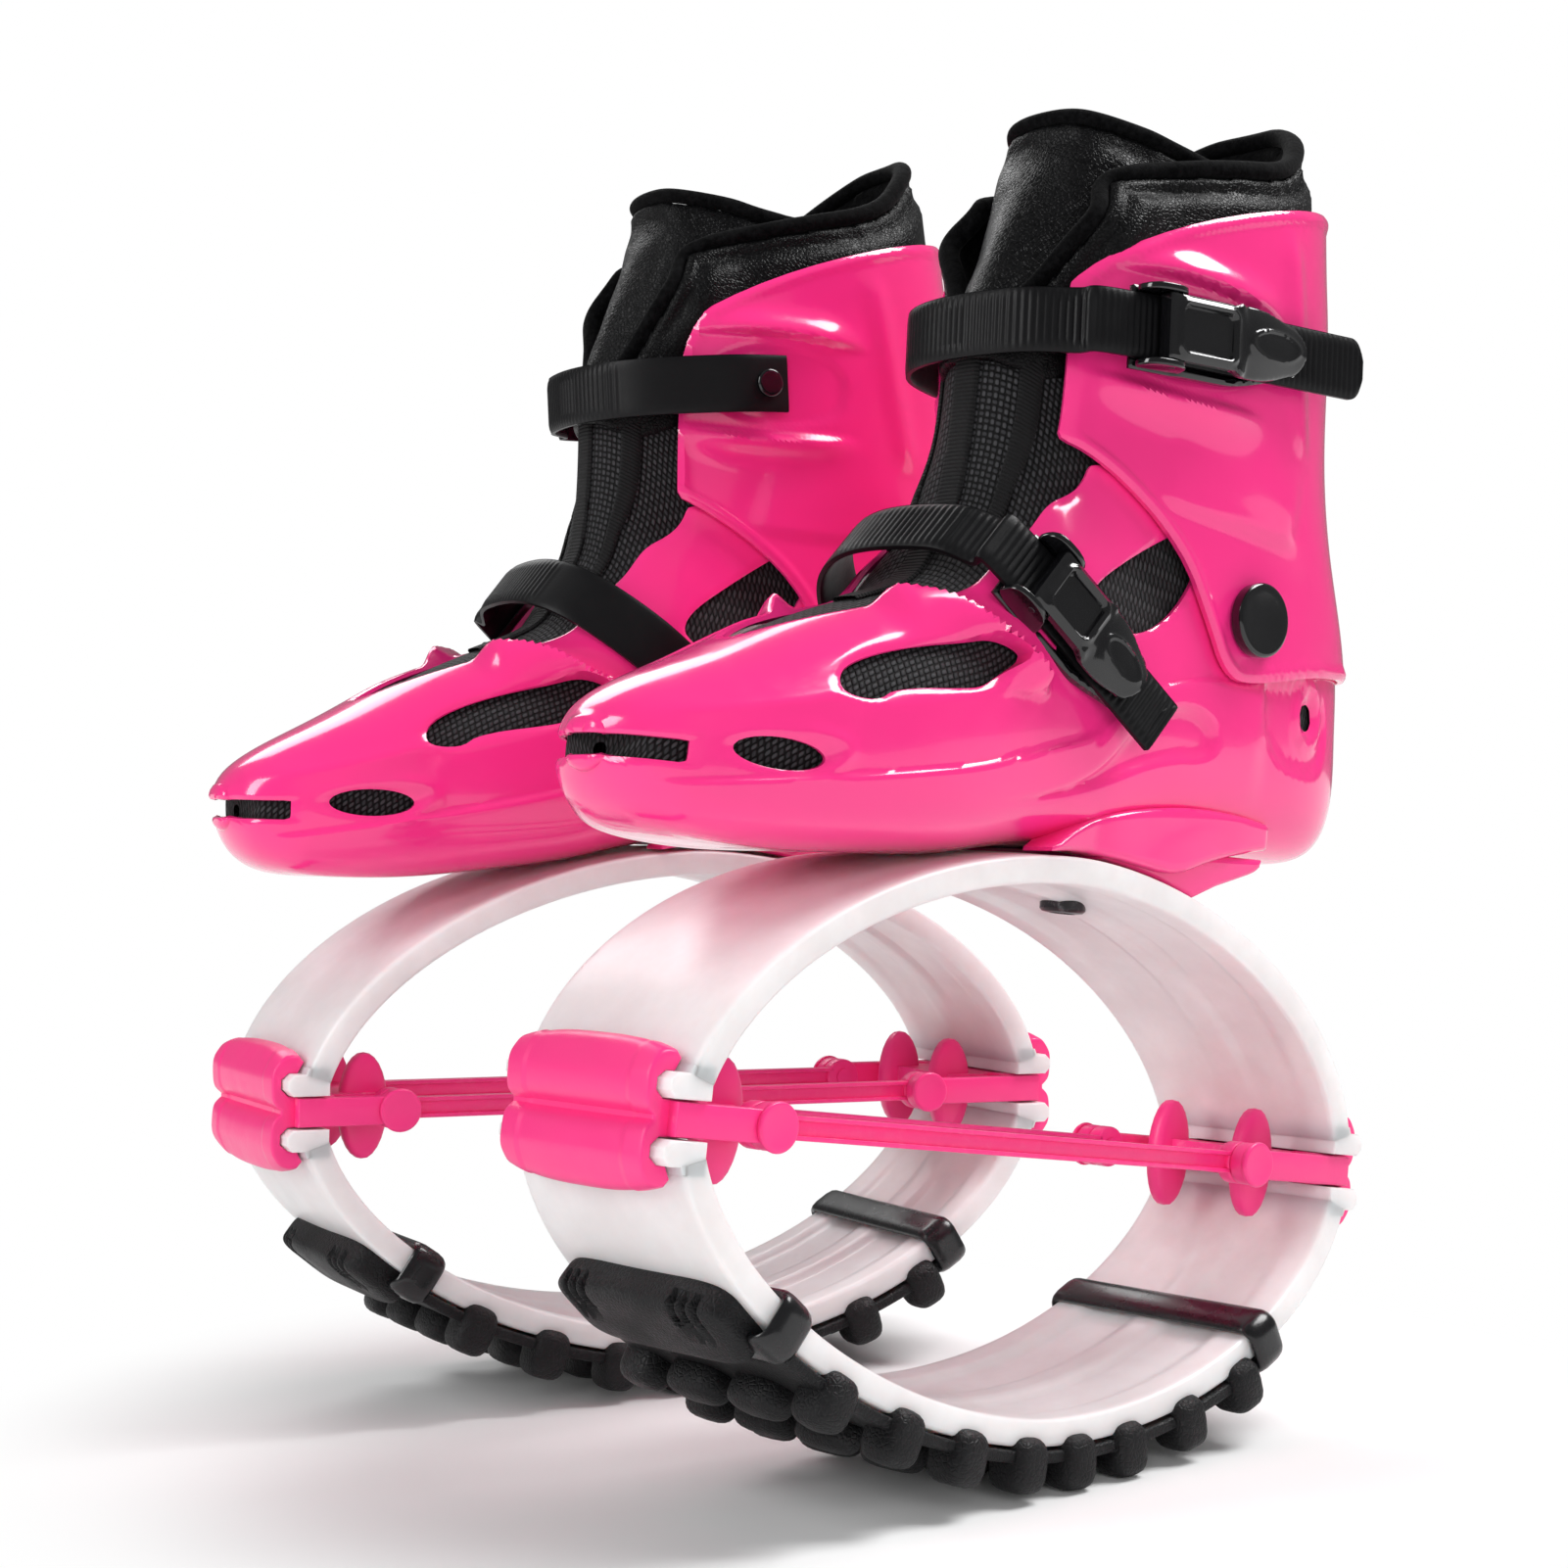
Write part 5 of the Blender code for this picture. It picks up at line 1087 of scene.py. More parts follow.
# ================================================================ bows
def bow_ring(half, fade):
    """The bow's section: crowned outside, round edges, two shallow flutes inside that fade."""
    x = np.linspace(-1.0, 1.0, 41)
    out_x = x * (half - 0.0012)
    out_depth = BOW_CROWN * (x ** 2)
    in_x = -out_x
    edge = smooth_step((half - FLUTE_FROM_EDGE - np.abs(in_x)) / 0.005)
    rib = smooth_step((np.abs(in_x) - FLUTE_FROM_MIDDLE) / 0.004)
    in_depth = BOW_THICKNESS - FLUTE_DEPTH * fade * edge * rib
    right = np.array([
        (half - BOW_EDGE_CUT, BOW_CROWN + BOW_EDGE_CUT), (half, BOW_CROWN + BOW_EDGE_RUN),
        (half, BOW_THICKNESS - BOW_EDGE_RUN), (half - BOW_EDGE_CUT, BOW_THICKNESS - BOW_EDGE_CUT)])
    left = right[::-1] * [-1.0, 1.0]
    outside = np.stack([out_x, out_depth], 1)
    inside = np.stack([in_x, in_depth], 1)
    return np.vstack([outside, right, inside, left])


def bow():
    end = bow_end()
    body = hoop_sweep(hoop_places(-end, end, 121),
                      lambda y: bow_ring(float(hoop_half_width(y)), 1.0 - (y / end) ** 4))
    return joined([body, lip(-1), lip(1)])


def lip(side):
    """The foot of one end of the bow, turned out into a lip."""
    end = bow_end()
    inside = hoop(end, BOW_THICKNESS)[0] - RING_MIDDLE_Y
    outside = hoop(end)[0] - RING_MIDDLE_Y
    top, tip, corner = LIP_GAP + LIP_THICKNESS, outside + LIP_REACH, LIP_THICKNESS * 0.3
    outline = np.array([
        (inside + GAP, top + corner), (inside + GAP, LIP_GAP), (tip - corner, LIP_GAP),
        (tip, LIP_GAP + corner), (tip, top - corner), (tip - corner, top),
        (outside - GAP, top), (outside - 4 * GAP, top + corner),
    ])
    outline[:, 0] = RING_MIDDLE_Y + side * outline[:, 0]
    return side_prism(outline, -(BOW_END_WIDTH + BOW_CROWN) / 2, (BOW_END_WIDTH + BOW_CROWN) / 2, 0.0008)


def side_prism(outline, low, high, round_off, steps=3, spans=0, step_in=0.0, step_at=0.0):
    """An outline on the side plane carried across x, with its end edges rounded.

    Each end ring is drawn in along the outline's own normals by r (1 - cos t) as x moves by r sin t.
    Spans adds rings between, drawn in by step_in where they are further than step_at from the ends.
    """
    outline = np.asarray(outline, float)
    ahead = np.roll(outline, -1, 0) - outline
    area = np.sum(outline[:, 0] * np.roll(outline[:, 1], -1) - np.roll(outline[:, 0], -1) * outline[:, 1])
    edge_normal = np.stack([ahead[:, 1], -ahead[:, 0]], 1) * np.sign(area)
    edge_normal /= np.maximum(np.linalg.norm(edge_normal, axis=1, keepdims=True), 1e-12)
    normal = edge_normal + np.roll(edge_normal, 1, 0)
    size = np.linalg.norm(normal, axis=1, keepdims=True)
    normal = normal / np.maximum(size, 0.7)
    turn = np.linspace(0.0, math.pi / 2, steps + 1)
    first = [(low + round_off * (1.0 - math.cos(t)), round_off * (1.0 - math.sin(t))) for t in turn]
    rings = first + [(high - (x - low), inset) for x, inset in first[::-1]]
    if spans:
        between = np.linspace(low + round_off, high - round_off, spans + 2)[1:-1]
        near = np.minimum(between - low, high - between)
        middle = list(zip(between, step_in * smooth_step((near - step_at) / 0.0008)))
        rings = first + middle + rings[len(first):]
    points = []
    for x, inset in rings:
        moved = outline - normal * inset
        points.append(np.column_stack([np.full(len(outline), x), moved]))
    return np.array(points).reshape(-1, 3), sweep_faces(len(rings), len(outline))


# ================================================================ brackets, bands and rivets
def placed_end(outline, end):
    outline = np.asarray(outline, float).copy()
    outline[:, 0] = RING_MIDDLE_Y + end * (outline[:, 0] - RING_MIDDLE_Y)
    return outline


def jaw_outline():
    """The jaws from the side: a convex C over each lip, meeting in a groove."""
    end = bow_end()
    outside = float(hoop(end)[0])
    tip = outside + LIP_REACH
    top, back = LIP_GAP + LIP_THICKNESS, tip + JAW_WALL
    share = (1 - (JAW_HEIGHT * 0.88 / BOW_RISE) ** BOW_ROUNDNESS) ** (1 / BOW_ROUNDNESS)
    bow_y, bow_z = [float(v) for v in hoop(BOW_HALF_LENGTH * share, -2 * GAP)[:2]]
    corner = LIP_THICKNESS * 0.3
    crown = [(tip, JAW_HEIGHT * 0.96), (back - JAW_WALL * 0.45, JAW_HEIGHT * 0.80),
             (back - JAW_WALL * 0.06, JAW_HEIGHT * 0.60), (back, JAW_HEIGHT * 0.45),
             (back - JAW_WALL * 0.08, JAW_HEIGHT * 0.28), (back - JAW_WALL * 0.35, JAW_HEIGHT * 0.14),
             (back - JAW_GROOVE, 0.0006)]
    upper = [
        (tip - WEB_LENGTH / 2, LIP_GAP - GAP), (tip - corner, LIP_GAP - GAP),
        (tip + GAP, LIP_GAP + corner - GAP / 2), (tip + GAP, top - corner + GAP / 2),
        (tip - corner, top + GAP), (outside + 2 * GAP, top + GAP), (bow_y, bow_z),
        (bow_y + JAW_WALL * 0.4, JAW_HEIGHT), (bow_y + JAW_WALL, JAW_HEIGHT * 1.01),
    ]
    smooth = even_path(np.array([(bow_y + JAW_WALL, JAW_HEIGHT * 1.01)] + crown), 26)
    upper = np.vstack([upper, smooth[1:]])
    return np.vstack([upper, (upper * [1.0, -1.0])[::-1]])


def bar_outline(root_y, eye_y, half_height, radius):
    """A bar from root_y that ends in a round eye at eye_y."""
    step = math.asin(half_height / radius)
    towards = math.copysign(1.0, eye_y - root_y)
    angles = np.linspace(step, 2 * math.pi - step, 20)
    arc = np.column_stack([eye_y - towards * radius * np.cos(angles), radius * np.sin(angles)])
    return np.vstack([[(root_y, half_height)], arc, [(root_y, -half_height)]])


def arm_sides():
    outside = BOW_END_WIDTH / 2 - ARM_INSET
    inside = outside - ARM_THICKNESS
    return outside, inside, inside - GAP, inside - GAP - BAND_THICKNESS


def side_span(side, near, far):
    """Two distances from the middle as (low, high) x on the +1 or -1 side."""
    return sorted((side * near, side * far))


def bump_pad(y, x):
    """An upright oval pad with rounded faces: a lens x^4 + y^2 + z^2 = 1."""
    points, faces = superellipsoid((1.0, 1.0, 1.0), 1.0, 14, 28)
    flat = np.sign(points[:, 0]) * np.abs(points[:, 0]) ** 0.45
    spread = np.column_stack([flat * PAD_THICKNESS / 2, points[:, 1] * PAD_HALF_LENGTH,
                              points[:, 2] * PAD_HALF_HEIGHT])
    return spread + [x, y, 0.0], faces


def bracket(boss_y):
    end = 1 if boss_y > 0 else -1
    jaw, faces = side_prism(placed_end(jaw_outline(), end), -JAW_HALF_WIDTH, JAW_HALF_WIDTH, round_off=0.0010,
                            steps=4, spans=60, step_in=0.0004, step_at=0.0085)
    share = np.abs(jaw[:, 0]) / JAW_HALF_WIDTH
    high = smooth_step((np.abs(jaw[:, 2]) - 0.5 * JAW_HEIGHT) / (0.4 * JAW_HEIGHT))
    jaw[:, 2] *= 1.0 + high * (0.05 - 0.16 * share ** 3)
    outward = smooth_step((end * (jaw[:, 1] - RING_MIDDLE_Y) - BOW_HALF_LENGTH - LIP_REACH) / JAW_WALL)
    jaw[:, 1] += end * outward * (0.0008 - 0.0022 * share ** 3)
    parts = [(jaw, faces)]
    tip = float(hoop(bow_end())[0]) + LIP_REACH
    web_end, root, half = tip - WEB_LENGTH, tip - WEB_LENGTH * 0.45, ARM_HEIGHT / 2
    web = [(web_end, -half), (root, -half), (root, half), (web_end, half)]
    parts.append(side_prism(placed_end(web, end), -WEB_HALF_WIDTH, WEB_HALF_WIDTH, 0.0009))
    outside, inside, _, _ = arm_sides()
    arm = bar_outline(placed_end([(tip - JAW_WALL, 0.0)], end)[0, 0], boss_y, half, EYE_RADIUS)
    pad_y = placed_end([(web_end + PAD_FROM_WEB_END, 0.0)], end)[0, 0]
    for side in (-1, 1):
        parts.append(side_prism(arm, *side_span(side, inside, outside), 0.0008))
        parts.append(bump_pad(pad_y, side * PAD_OFFSET_X))
    return joined(parts)


def band(side):
    """An I-section strap: a thin web between two flanges, and an eye at each end."""
    _, _, outside, inside = arm_sides()
    low, high = side_span(side, outside, inside)
    half, flange, middle = BAND_HEIGHT / 2, 0.0014, (low + high) / 2
    span = (FRONT_BOSS_Y + EYE_RADIUS * 0.6, REAR_BOSS_Y - EYE_RADIUS * 0.6)
    parts = []
    for bottom, top, wide in ((-half, -half + flange, high - low), (half - flange, half, high - low),
                              (-half + flange * 0.6, half - flange * 0.6, 0.0022)):
        bar = [(span[0], bottom), (span[1], bottom), (span[1], top), (span[0], top)]
        parts.append(side_prism(bar, middle - wide / 2, middle + wide / 2, 0.0004))
    for boss_y in (FRONT_BOSS_Y, REAR_BOSS_Y):
        turn = np.linspace(0.0, 2.0 * math.pi, 33)[:-1]
        disc = np.column_stack([boss_y + EYE_RADIUS * np.cos(turn), EYE_RADIUS * np.sin(turn)])
        parts.append(side_prism(disc, low, high, 0.0007))
    return joined(parts)


def lathe(profile, centre, sides):
    """A profile of (height, radius) turned round an axis along X through centre, as (x, y, z)."""
    profile = np.asarray(profile, float)
    angle = 2.0 * math.pi * np.arange(sides) / sides
    x = np.repeat(profile[:, 0], sides)
    y = np.outer(profile[:, 1], np.cos(angle)).ravel()
    z = np.outer(profile[:, 1], np.sin(angle)).ravel()
    return np.column_stack([x, y, z]) + centre, sweep_faces(len(profile), sides)


def stud(side, profile, y, z, sides):
    """A turned pin on the +1 or -1 side of the shoe."""
    return lathe([(side * x, r) for x, r in profile], (0.0, y, z), sides)


def mushroom(low, high, radius, head, head_height, rounding, dish=0.0):
    """The profile of a stem with a domed or dished head."""
    profile = [(low, 0.0001), (low, radius), (high - head_height, radius), (high - head_height, head * 0.98)]
    for t in np.linspace(0.0, math.pi / 2, 6):
        profile.append((high - head_height * rounding * (1.0 - math.sin(t)),
                        head - head_height * rounding * (1.0 - math.cos(t))))
    profile.append((high - dish, head * 0.72))
    profile.append((high - dish, 0.0001))
    return profile


# ================================================================ outsole
def slab_ring(low_depth, high_depth, half, radius):
    ring = rounded_box_ring(half, -max(low_depth, high_depth), -min(low_depth, high_depth), radius, arc=4, flat=6)
    return np.column_stack([ring[..., 0], -ring[..., 1]])


def hoop_sweep(places, ring_of, turned=1.0):
    """Rings of (x, depth) swept along a bow. The lower one is the upper one turned over by -1."""
    rings = []
    for y in places:
        ring = ring_of(y)
        at_y, at_z, out_y, out_z = hoop(y)
        rings.append(np.stack([ring[:, 0], at_y - out_y * ring[:, 1], turned * (at_z - out_z * ring[:, 1])], 1))
    points = np.array(rings)
    return points.reshape(-1, 3), sweep_faces(*points.shape[:2])


def lug(y, x_low, x_high, low, high, power=0.60, length=LUG_LENGTH, rows=12, columns=24, notch=None):
    """A rounded block that stands square to the lower bow."""
    at_y, at_z, out_y, out_z = [float(v) for v in hoop(y)]
    points, faces = superellipsoid(
        ((x_high - x_low) / 2, length / 2, (high - low) / 2), power, rows, columns)
    if notch is not None:
        points = points * (1.0 - notch(points))[:, None] ** [0.0, 0.6, 1.0]
    rise = points[:, 2] + (low + high) / 2
    placed = np.column_stack([
        points[:, 0] + (x_low + x_high) / 2,
        at_y + out_y * rise + out_z * points[:, 1],
        -(at_z + out_z * rise - out_y * points[:, 1]),
    ])
    return placed, faces


def outsole():
    """The rubber strip round the outside of the lower bow, its lugs and toe pocket; its two loops are made apart."""
    first, last = FRONT_LOOP_Y, REAR_LOOP_Y
    parts = [hoop_sweep(hoop_places(first, last, 90), lambda y: slab_ring(
        0.0002, -RUBBER_WALL, float(hoop_half_width(y)) + 0.001, 0.0010), -1.0)]
    for y in LUG_ROW_PLACES:
        wrap = float(hoop_half_width(y)) + SIDE_LUG_WRAP
        for side in (-1, 1):
            parts.append(lug(y, *side_span(side, wrap - SIDE_LUG_LENGTH_IN, wrap), -SIDE_LUG_RISE, TREAD_DEPTH))
            centre_lug = side_span(side, CENTRE_LUG_INSIDE, CENTRE_LUG_INSIDE + CENTRE_LUG_WIDTH)
            parts.append(lug(y, *centre_lug, 0.0005, TREAD_DEPTH))
    half = float(hoop_half_width(POCKET_Y)) - POCKET_SIDE_INSET
    parts.append(lug(POCKET_Y, -half, half, -0.004, POCKET_DEPTH + 0.0012, power=0.42, length=POCKET_LENGTH + 0.003,
                     rows=48, columns=160, notch=pocket_notches))
    return joined(parts)


def pocket_notches(points):
    """Three short upright grooves at each end of the toe pocket, deepest at its upper edge."""
    grooves = np.zeros(len(points))
    for at in (0.56, 0.68, 0.80):
        grooves += np.exp(-((np.abs(points[:, 0]) - at * POCKET_HALF_WIDTH) / 0.0009) ** 2)
    return 0.42 * grooves * smooth_step((0.10 - points[:, 1] / POCKET_LENGTH) / 0.15) * (points[:, 2] > 0)


def sole_loop(y):
    """A band of rubber right round the lower bow: rings across its width, then along its path."""
    half = float(hoop_half_width(y)) + LOOP_WALL * 0.55
    path = rounded_box_ring(half, -(BOW_THICKNESS + LOOP_WALL * 0.55), RUBBER_WALL, 0.004, arc=8, flat=24)
    turn = 2.0 * math.pi * np.arange(14) / 14
    across = np.sign(np.cos(turn)) * np.abs(np.cos(turn)) ** 0.6 * LOOP_LENGTH / 2
    thick = np.sin(turn) * LOOP_WALL * 0.62
    middle = path.mean(axis=0)
    out = np.roll(path, -1, 0) - np.roll(path, 1, 0)
    out = np.column_stack([out[:, 1], -out[:, 0]])
    out /= np.linalg.norm(out, axis=1, keepdims=True)
    out *= np.sign(np.sum(out * (path - middle), axis=1, keepdims=True))
    flat = path[:, None, :] + out[:, None, :] * thick[None, :, None]
    at_y, at_z, out_y, out_z = [float(v) for v in hoop(y)]
    points = np.stack([
        flat[..., 0],
        at_y + out_y * flat[..., 1] + out_z * across[None, :],
        -(at_z + out_z * flat[..., 1] - out_y * across[None, :]),
    ], axis=-1)
    return points.reshape(-1, 3), sweep_faces(len(path), len(turn), close_rows=True)


# ================================================================ saddle and bolt
SADDLE_WIDTH = 0.078
SADDLE_START_Y = 0.010
SADDLE_FOOT_END_Y = 0.053
SADDLE_END_Y = 0.085
BOLT_Y = 0.035
WING_READ_FROM_Z = 0.1010
WING_READ_SPREAD = 0.0042
WING_LIFT = 0.0032
WING_EDGE_DROP = 0.0014
WING_EDGE_WIDTH = 0.0016
WING_DEPTH = 0.0080


def sole_height(y):
    places = boot_place(STATION_SHARES[4:12, 2:4])
    return np.interp(y, places[:, 0], places[:, 1]) - GAP


def saddle():
    """The wedge between the upper bow and the heel, a rounded belly behind its foot, and two side wings."""
    tops = np.linspace(SADDLE_END_Y, SADDLE_START_Y, 24)
    outline = [(y, float(sole_height(y))) for y in tops]
    foot = hoop_places(SADDLE_START_Y - RING_MIDDLE_Y, SADDLE_FOOT_END_Y - RING_MIDDLE_Y, 14)
    outline += [(float(hoop(y, -GAP)[0]), float(hoop(y, -GAP)[1])) for y in foot]
    belly = line_of((64, 86.6), (76, 90.8), (82.5, 93.2), (84.6, 95.0))
    outline = np.vstack([outline, cut_corners(belly, 2, closed=False)])
    plate = side_prism(outline, -SADDLE_WIDTH / 2, SADDLE_WIDTH / 2, 0.0016, steps=4)
    return joined([plate, saddle_wing(1), saddle_wing(-1)])


def side_reach(y, z):
    """How far out the shell's skin is at places of the side plane: a mean weighted by nearness."""
    skin = boot_skin(0, 16, rows=90, columns=340, inset=0.0, nose=6).points.reshape(-1, 3)
    skin = skin[skin[:, 0] > 0.0]
    near = np.exp(-((y[:, None] - skin[:, 1]) ** 2 + (z[:, None] - skin[:, 2]) ** 2) / WING_READ_SPREAD ** 2)
    return (near * skin[:, 0]).sum(axis=1) / np.maximum(near.sum(axis=1), 1e-12)


def saddle_wing(side):
    """A lens-shaped plate on the side of the shell, in rings across its height at each place along it."""
    top, low = cut_corners(WING_TOP, 3, closed=False), cut_corners(WING_LOW, 3, closed=False)
    y = np.linspace(WING_TOP[0, 0] + 0.001, WING_TOP[-1, 0], 64)
    ends = np.interp(y, low[:, 0], low[:, 1]), np.interp(y, top[:, 0], top[:, 1])
    share = smooth_step(np.linspace(0.0, 1.0, 15)) * 0.4 + np.linspace(0.0, 1.0, 15) * 0.6
    z = ends[0][:, None] + (ends[1] - ends[0])[:, None] * share
    flat_y = np.repeat(y, len(share))
    reach = side_reach(flat_y, np.maximum(z.ravel(), WING_READ_FROM_Z)).reshape(z.shape)
    reach = np.maximum.accumulate(reach[:, ::-1], axis=1)[:, ::-1]
    raised = shell_relief(np.full(z.size, 0.04), flat_y, z.ravel(), np.full(z.size, 0.02)).reshape(z.shape)
    edge = np.minimum(z - ends[0][:, None], ends[1][:, None] - z)
    edge = np.minimum(edge, np.minimum(y - y[0], y[-1] - y)[:, None])
    out = reach + raised + WING_LIFT - WING_EDGE_DROP * (1.0 - np.clip(edge / WING_EDGE_WIDTH, 0.0, 1.0)) ** 2
    deep = np.minimum(out - 0.0040, reach - 0.0010) - WING_DEPTH
    x = side * np.concatenate([out, deep[:, ::-1]], axis=1)
    ring = np.stack([x, np.repeat(y[:, None], x.shape[1], 1), np.concatenate([z, z[:, ::-1]], axis=1)], axis=2)
    return ring.reshape(-1, 3), sweep_faces(*ring.shape[:2])


# ================================================================ straps
def ribbon(path, across, width, ribs_from):
    """A moulded strap: a rounded section along a path, with ribs across its outer face.

    The outer face is sunk by RIB_FLOOR, and each rib lifts it by RIB_HEIGHT times a raised cosine.
    """
    length = np.linalg.norm(np.diff(path, axis=0), axis=1).sum()
    count = max(60, int(length / STRAP_ROW))
    path = even_path(path, count)
    run = np.linspace(0.0, length, count)
    ahead = np.gradient(path, axis=0)
    ahead /= np.linalg.norm(ahead, axis=1, keepdims=True)
    out = np.cross(ahead, across)
    out /= np.linalg.norm(out, axis=1, keepdims=True)
    from_tail = length - run
    narrow = np.sqrt(np.clip(1.0 - (1.0 - np.clip(from_tail / STRAP_TAIL, 0.0, 1.0)) ** 2, 0.02, 1.0))
    half = width / 2 * (0.35 + 0.65 * narrow)
    rib = 0.5 + 0.5 * np.cos(2.0 * math.pi * run / RIB_PITCH)
    rib = rib ** 0.7 * smooth_step((run / length - ribs_from) / 0.02)
    thick = STRAP_THICKNESS / 2
    section = rounded_box_ring(1.0, -1.0, 1.0, 0.34, arc=4, flat=10)
    wide, high = section[:, 0], section[:, 1]
    inner_share = smooth_step((0.90 - np.abs(wide)) / 0.12)
    top = high[None, :] * thick + (high[None, :] > 0.6) * rib[:, None] * RIB_HEIGHT * inner_share[None, :]
    top = top - RIB_FLOOR * (high[None, :] > 0.6)
    points = path[:, None, :] + across * (wide[None, :, None] * half[:, None, None]) + out[:, None, :] * top[..., None]
    return points.reshape(-1, 3), sweep_faces(count, len(wide))


def cuff_strap_point(x, y):
    return np.stack([x, y, CUFF_STRAP_Z + CUFF_STRAP_SLOPE * y], axis=-1)


CUFF_ACROSS = np.array([0.0, -CUFF_STRAP_SLOPE, 1.0]) / math.hypot(CUFF_STRAP_SLOPE, 1.0)
INSTEP_ACROSS = np.array([0.0, math.sin(INSTEP_SLOPE), math.cos(INSTEP_SLOPE)])
INSTEP_DOWN = np.array([0.0, math.cos(INSTEP_SLOPE), -math.sin(INSTEP_SLOPE)])


def instep_point(x, drop):
    x, drop = np.asarray(x, float), np.asarray(drop, float)
    start = np.stack([x, np.full_like(x, INSTEP_TOP_Y), np.full_like(x, INSTEP_TOP_Z)], axis=-1)
    return start + drop[..., None] * INSTEP_DOWN


# Each strap's path, its direction across, its width, and the share of its length where its ribs begin
STRAPS = {
    "cuff": (cuff_strap_point(*CUFF_STRAP_PLAN.T), CUFF_ACROSS, CUFF_STRAP_WIDTH, 0.24),
    "instep": (instep_point(*INSTEP_STRAP_PLAN.T), INSTEP_ACROSS, INSTEP_STRAP_WIDTH, 0.30),
}


# ================================================================ buckles
def buckle_frame(name, inset):
    """A buckle's own axes (along the strap, across it, outwards) and origin under the strap."""
    path, across = STRAPS[name][:2]
    start, end = path[-3:-1]
    along = (end - start) / np.linalg.norm(end - start)
    out = np.cross(along, across)
    out /= np.linalg.norm(out)
    origin = start + along * inset - out * (STRAP_THICKNESS / 2 + GAP)
    return np.array([along, across, out]), origin


def in_frame(frame, points):
    axes, origin = frame
    return np.asarray(points, float) @ axes + origin


def plate(frame, keep_of, along, across, top_of, bottom_of, step=0.0008):
    """A moulded plate over a grid of (along, across), trimmed to an outline, between two heights."""
    a = np.arange(along[0] - 2 * step, along[1] + 2.5 * step, step)
    b = np.arange(across[0] - 2 * step, across[1] + 2.5 * step, step)
    grid_a, grid_b = np.meshgrid(a, b, indexing="ij")
    flat = np.stack([grid_a, grid_b, np.zeros_like(grid_a)], axis=2)
    up = np.zeros_like(flat)
    up[..., 2] = 1.0
    skin = Skin(flat, closed=False, normals=up)
    points, _, _, away, faces = trimmed(skin, keep_of(grid_a, grid_b))
    edge = np.clip(away / PLATE_EDGE / 1.4, 0, 1)
    ease = PLATE_EDGE * (1.0 - np.sqrt(np.clip(1.0 - (1.0 - edge) ** 2, 0, 1)))
    top = points.copy()
    top[:, 2] = top_of(points[:, 0], points[:, 1]) - ease
    bottom = points.copy()
    bottom[:, 2] = bottom_of(points[:, 0], points[:, 1]) + ease * 0.5
    return in_frame(frame, np.vstack([top, bottom])), wall_faces(faces, len(points))


def box_distance(a, b, centre, half, radius):
    """How far inside a rounded box each place lies."""
    away_a = np.abs(a - centre[0]) - half[0] + radius
    away_b = np.abs(b - centre[1]) - half[1] + radius
    outside = np.hypot(np.maximum(away_a, 0.0), np.maximum(away_b, 0.0))
    return radius - outside - np.minimum(np.maximum(away_a, away_b), 0.0)


def round_tip(past, b, half, reach):
    """How far inside a tip each place lies: half an ellipse, half wide, reach long."""
    return half - np.hypot(np.maximum(past, 0.0) * half / reach, b)


def pin_place():
    return BUCKLE_PIN_FROM_END, STRAP_THICKNESS + 2 * GAP + BUCKLE_PIN_RISE - BUCKLE_FLOOR


def buckle_base(frame, length):
    """A tapered tray with a rounded tail, two cheeks for the pin and a stiffening rib each side."""
    half = BUCKLE_WIDTH / 2

    def half_at(a):
        taper = smooth_step((a - length * 0.50) / (length * 0.50))
        return half * (1.0 - 0.50 * taper)

    def keep_of(a, b):
        tail = length - BASE_TIP
        side = half_at(a) - np.abs(b)
        end = round_tip(a - tail, b, half_at(np.array(tail)), BASE_TIP)
        return np.minimum(np.minimum(side, np.where(a > tail, end, side)), a)

    def top_of(a, b):
        edge = half_at(a) - np.abs(b)
        return -0.0002 + smooth_step((0.0030 - edge) / 0.0012) * 0.0014 * smooth_step((a - 0.016) / 0.004)

    parts = [plate(frame, keep_of, (0.0, length), (-half, half), top_of, lambda a, b: -BUCKLE_BASE_DEPTH)]
    for side in (-1, 1):
        low, high = side_span(side, half - GAP - BUCKLE_CHEEK, half - GAP)
        points, faces = side_prism(cheek_outline(), low, high, 0.0006)
        parts.append((in_frame(frame, points[:, [1, 0, 2]]), faces))
    return joined(parts)


def cheek_outline():
    """A cheek from the side: a box with a big round corner over the pin."""
    corners = [(GAP, -0.001), (BUCKLE_CHEEK_LENGTH, -0.001), (BUCKLE_CHEEK_LENGTH, 0.003),
               (BUCKLE_CHEEK_LENGTH - 0.004, BUCKLE_CHEEK_HEIGHT), (GAP + 0.003, BUCKLE_CHEEK_HEIGHT),
               (GAP, BUCKLE_CHEEK_HEIGHT * 0.6)]
    return cut_corners(corners, 2)


def lever_half(a, length):
    """Half the lever's width: full past the window, then a long taper to the thumb end."""
    pin_along, _ = pin_place()
    half = BUCKLE_WIDTH / 2 - BUCKLE_CHEEK - 2 * GAP
    share = (a - pin_along) / length
    return half * (1.0 + 0.13 * smooth_step((share - 0.42) / 0.08) - 0.50 * smooth_step((share - 0.56) / 0.50) ** 1.3)


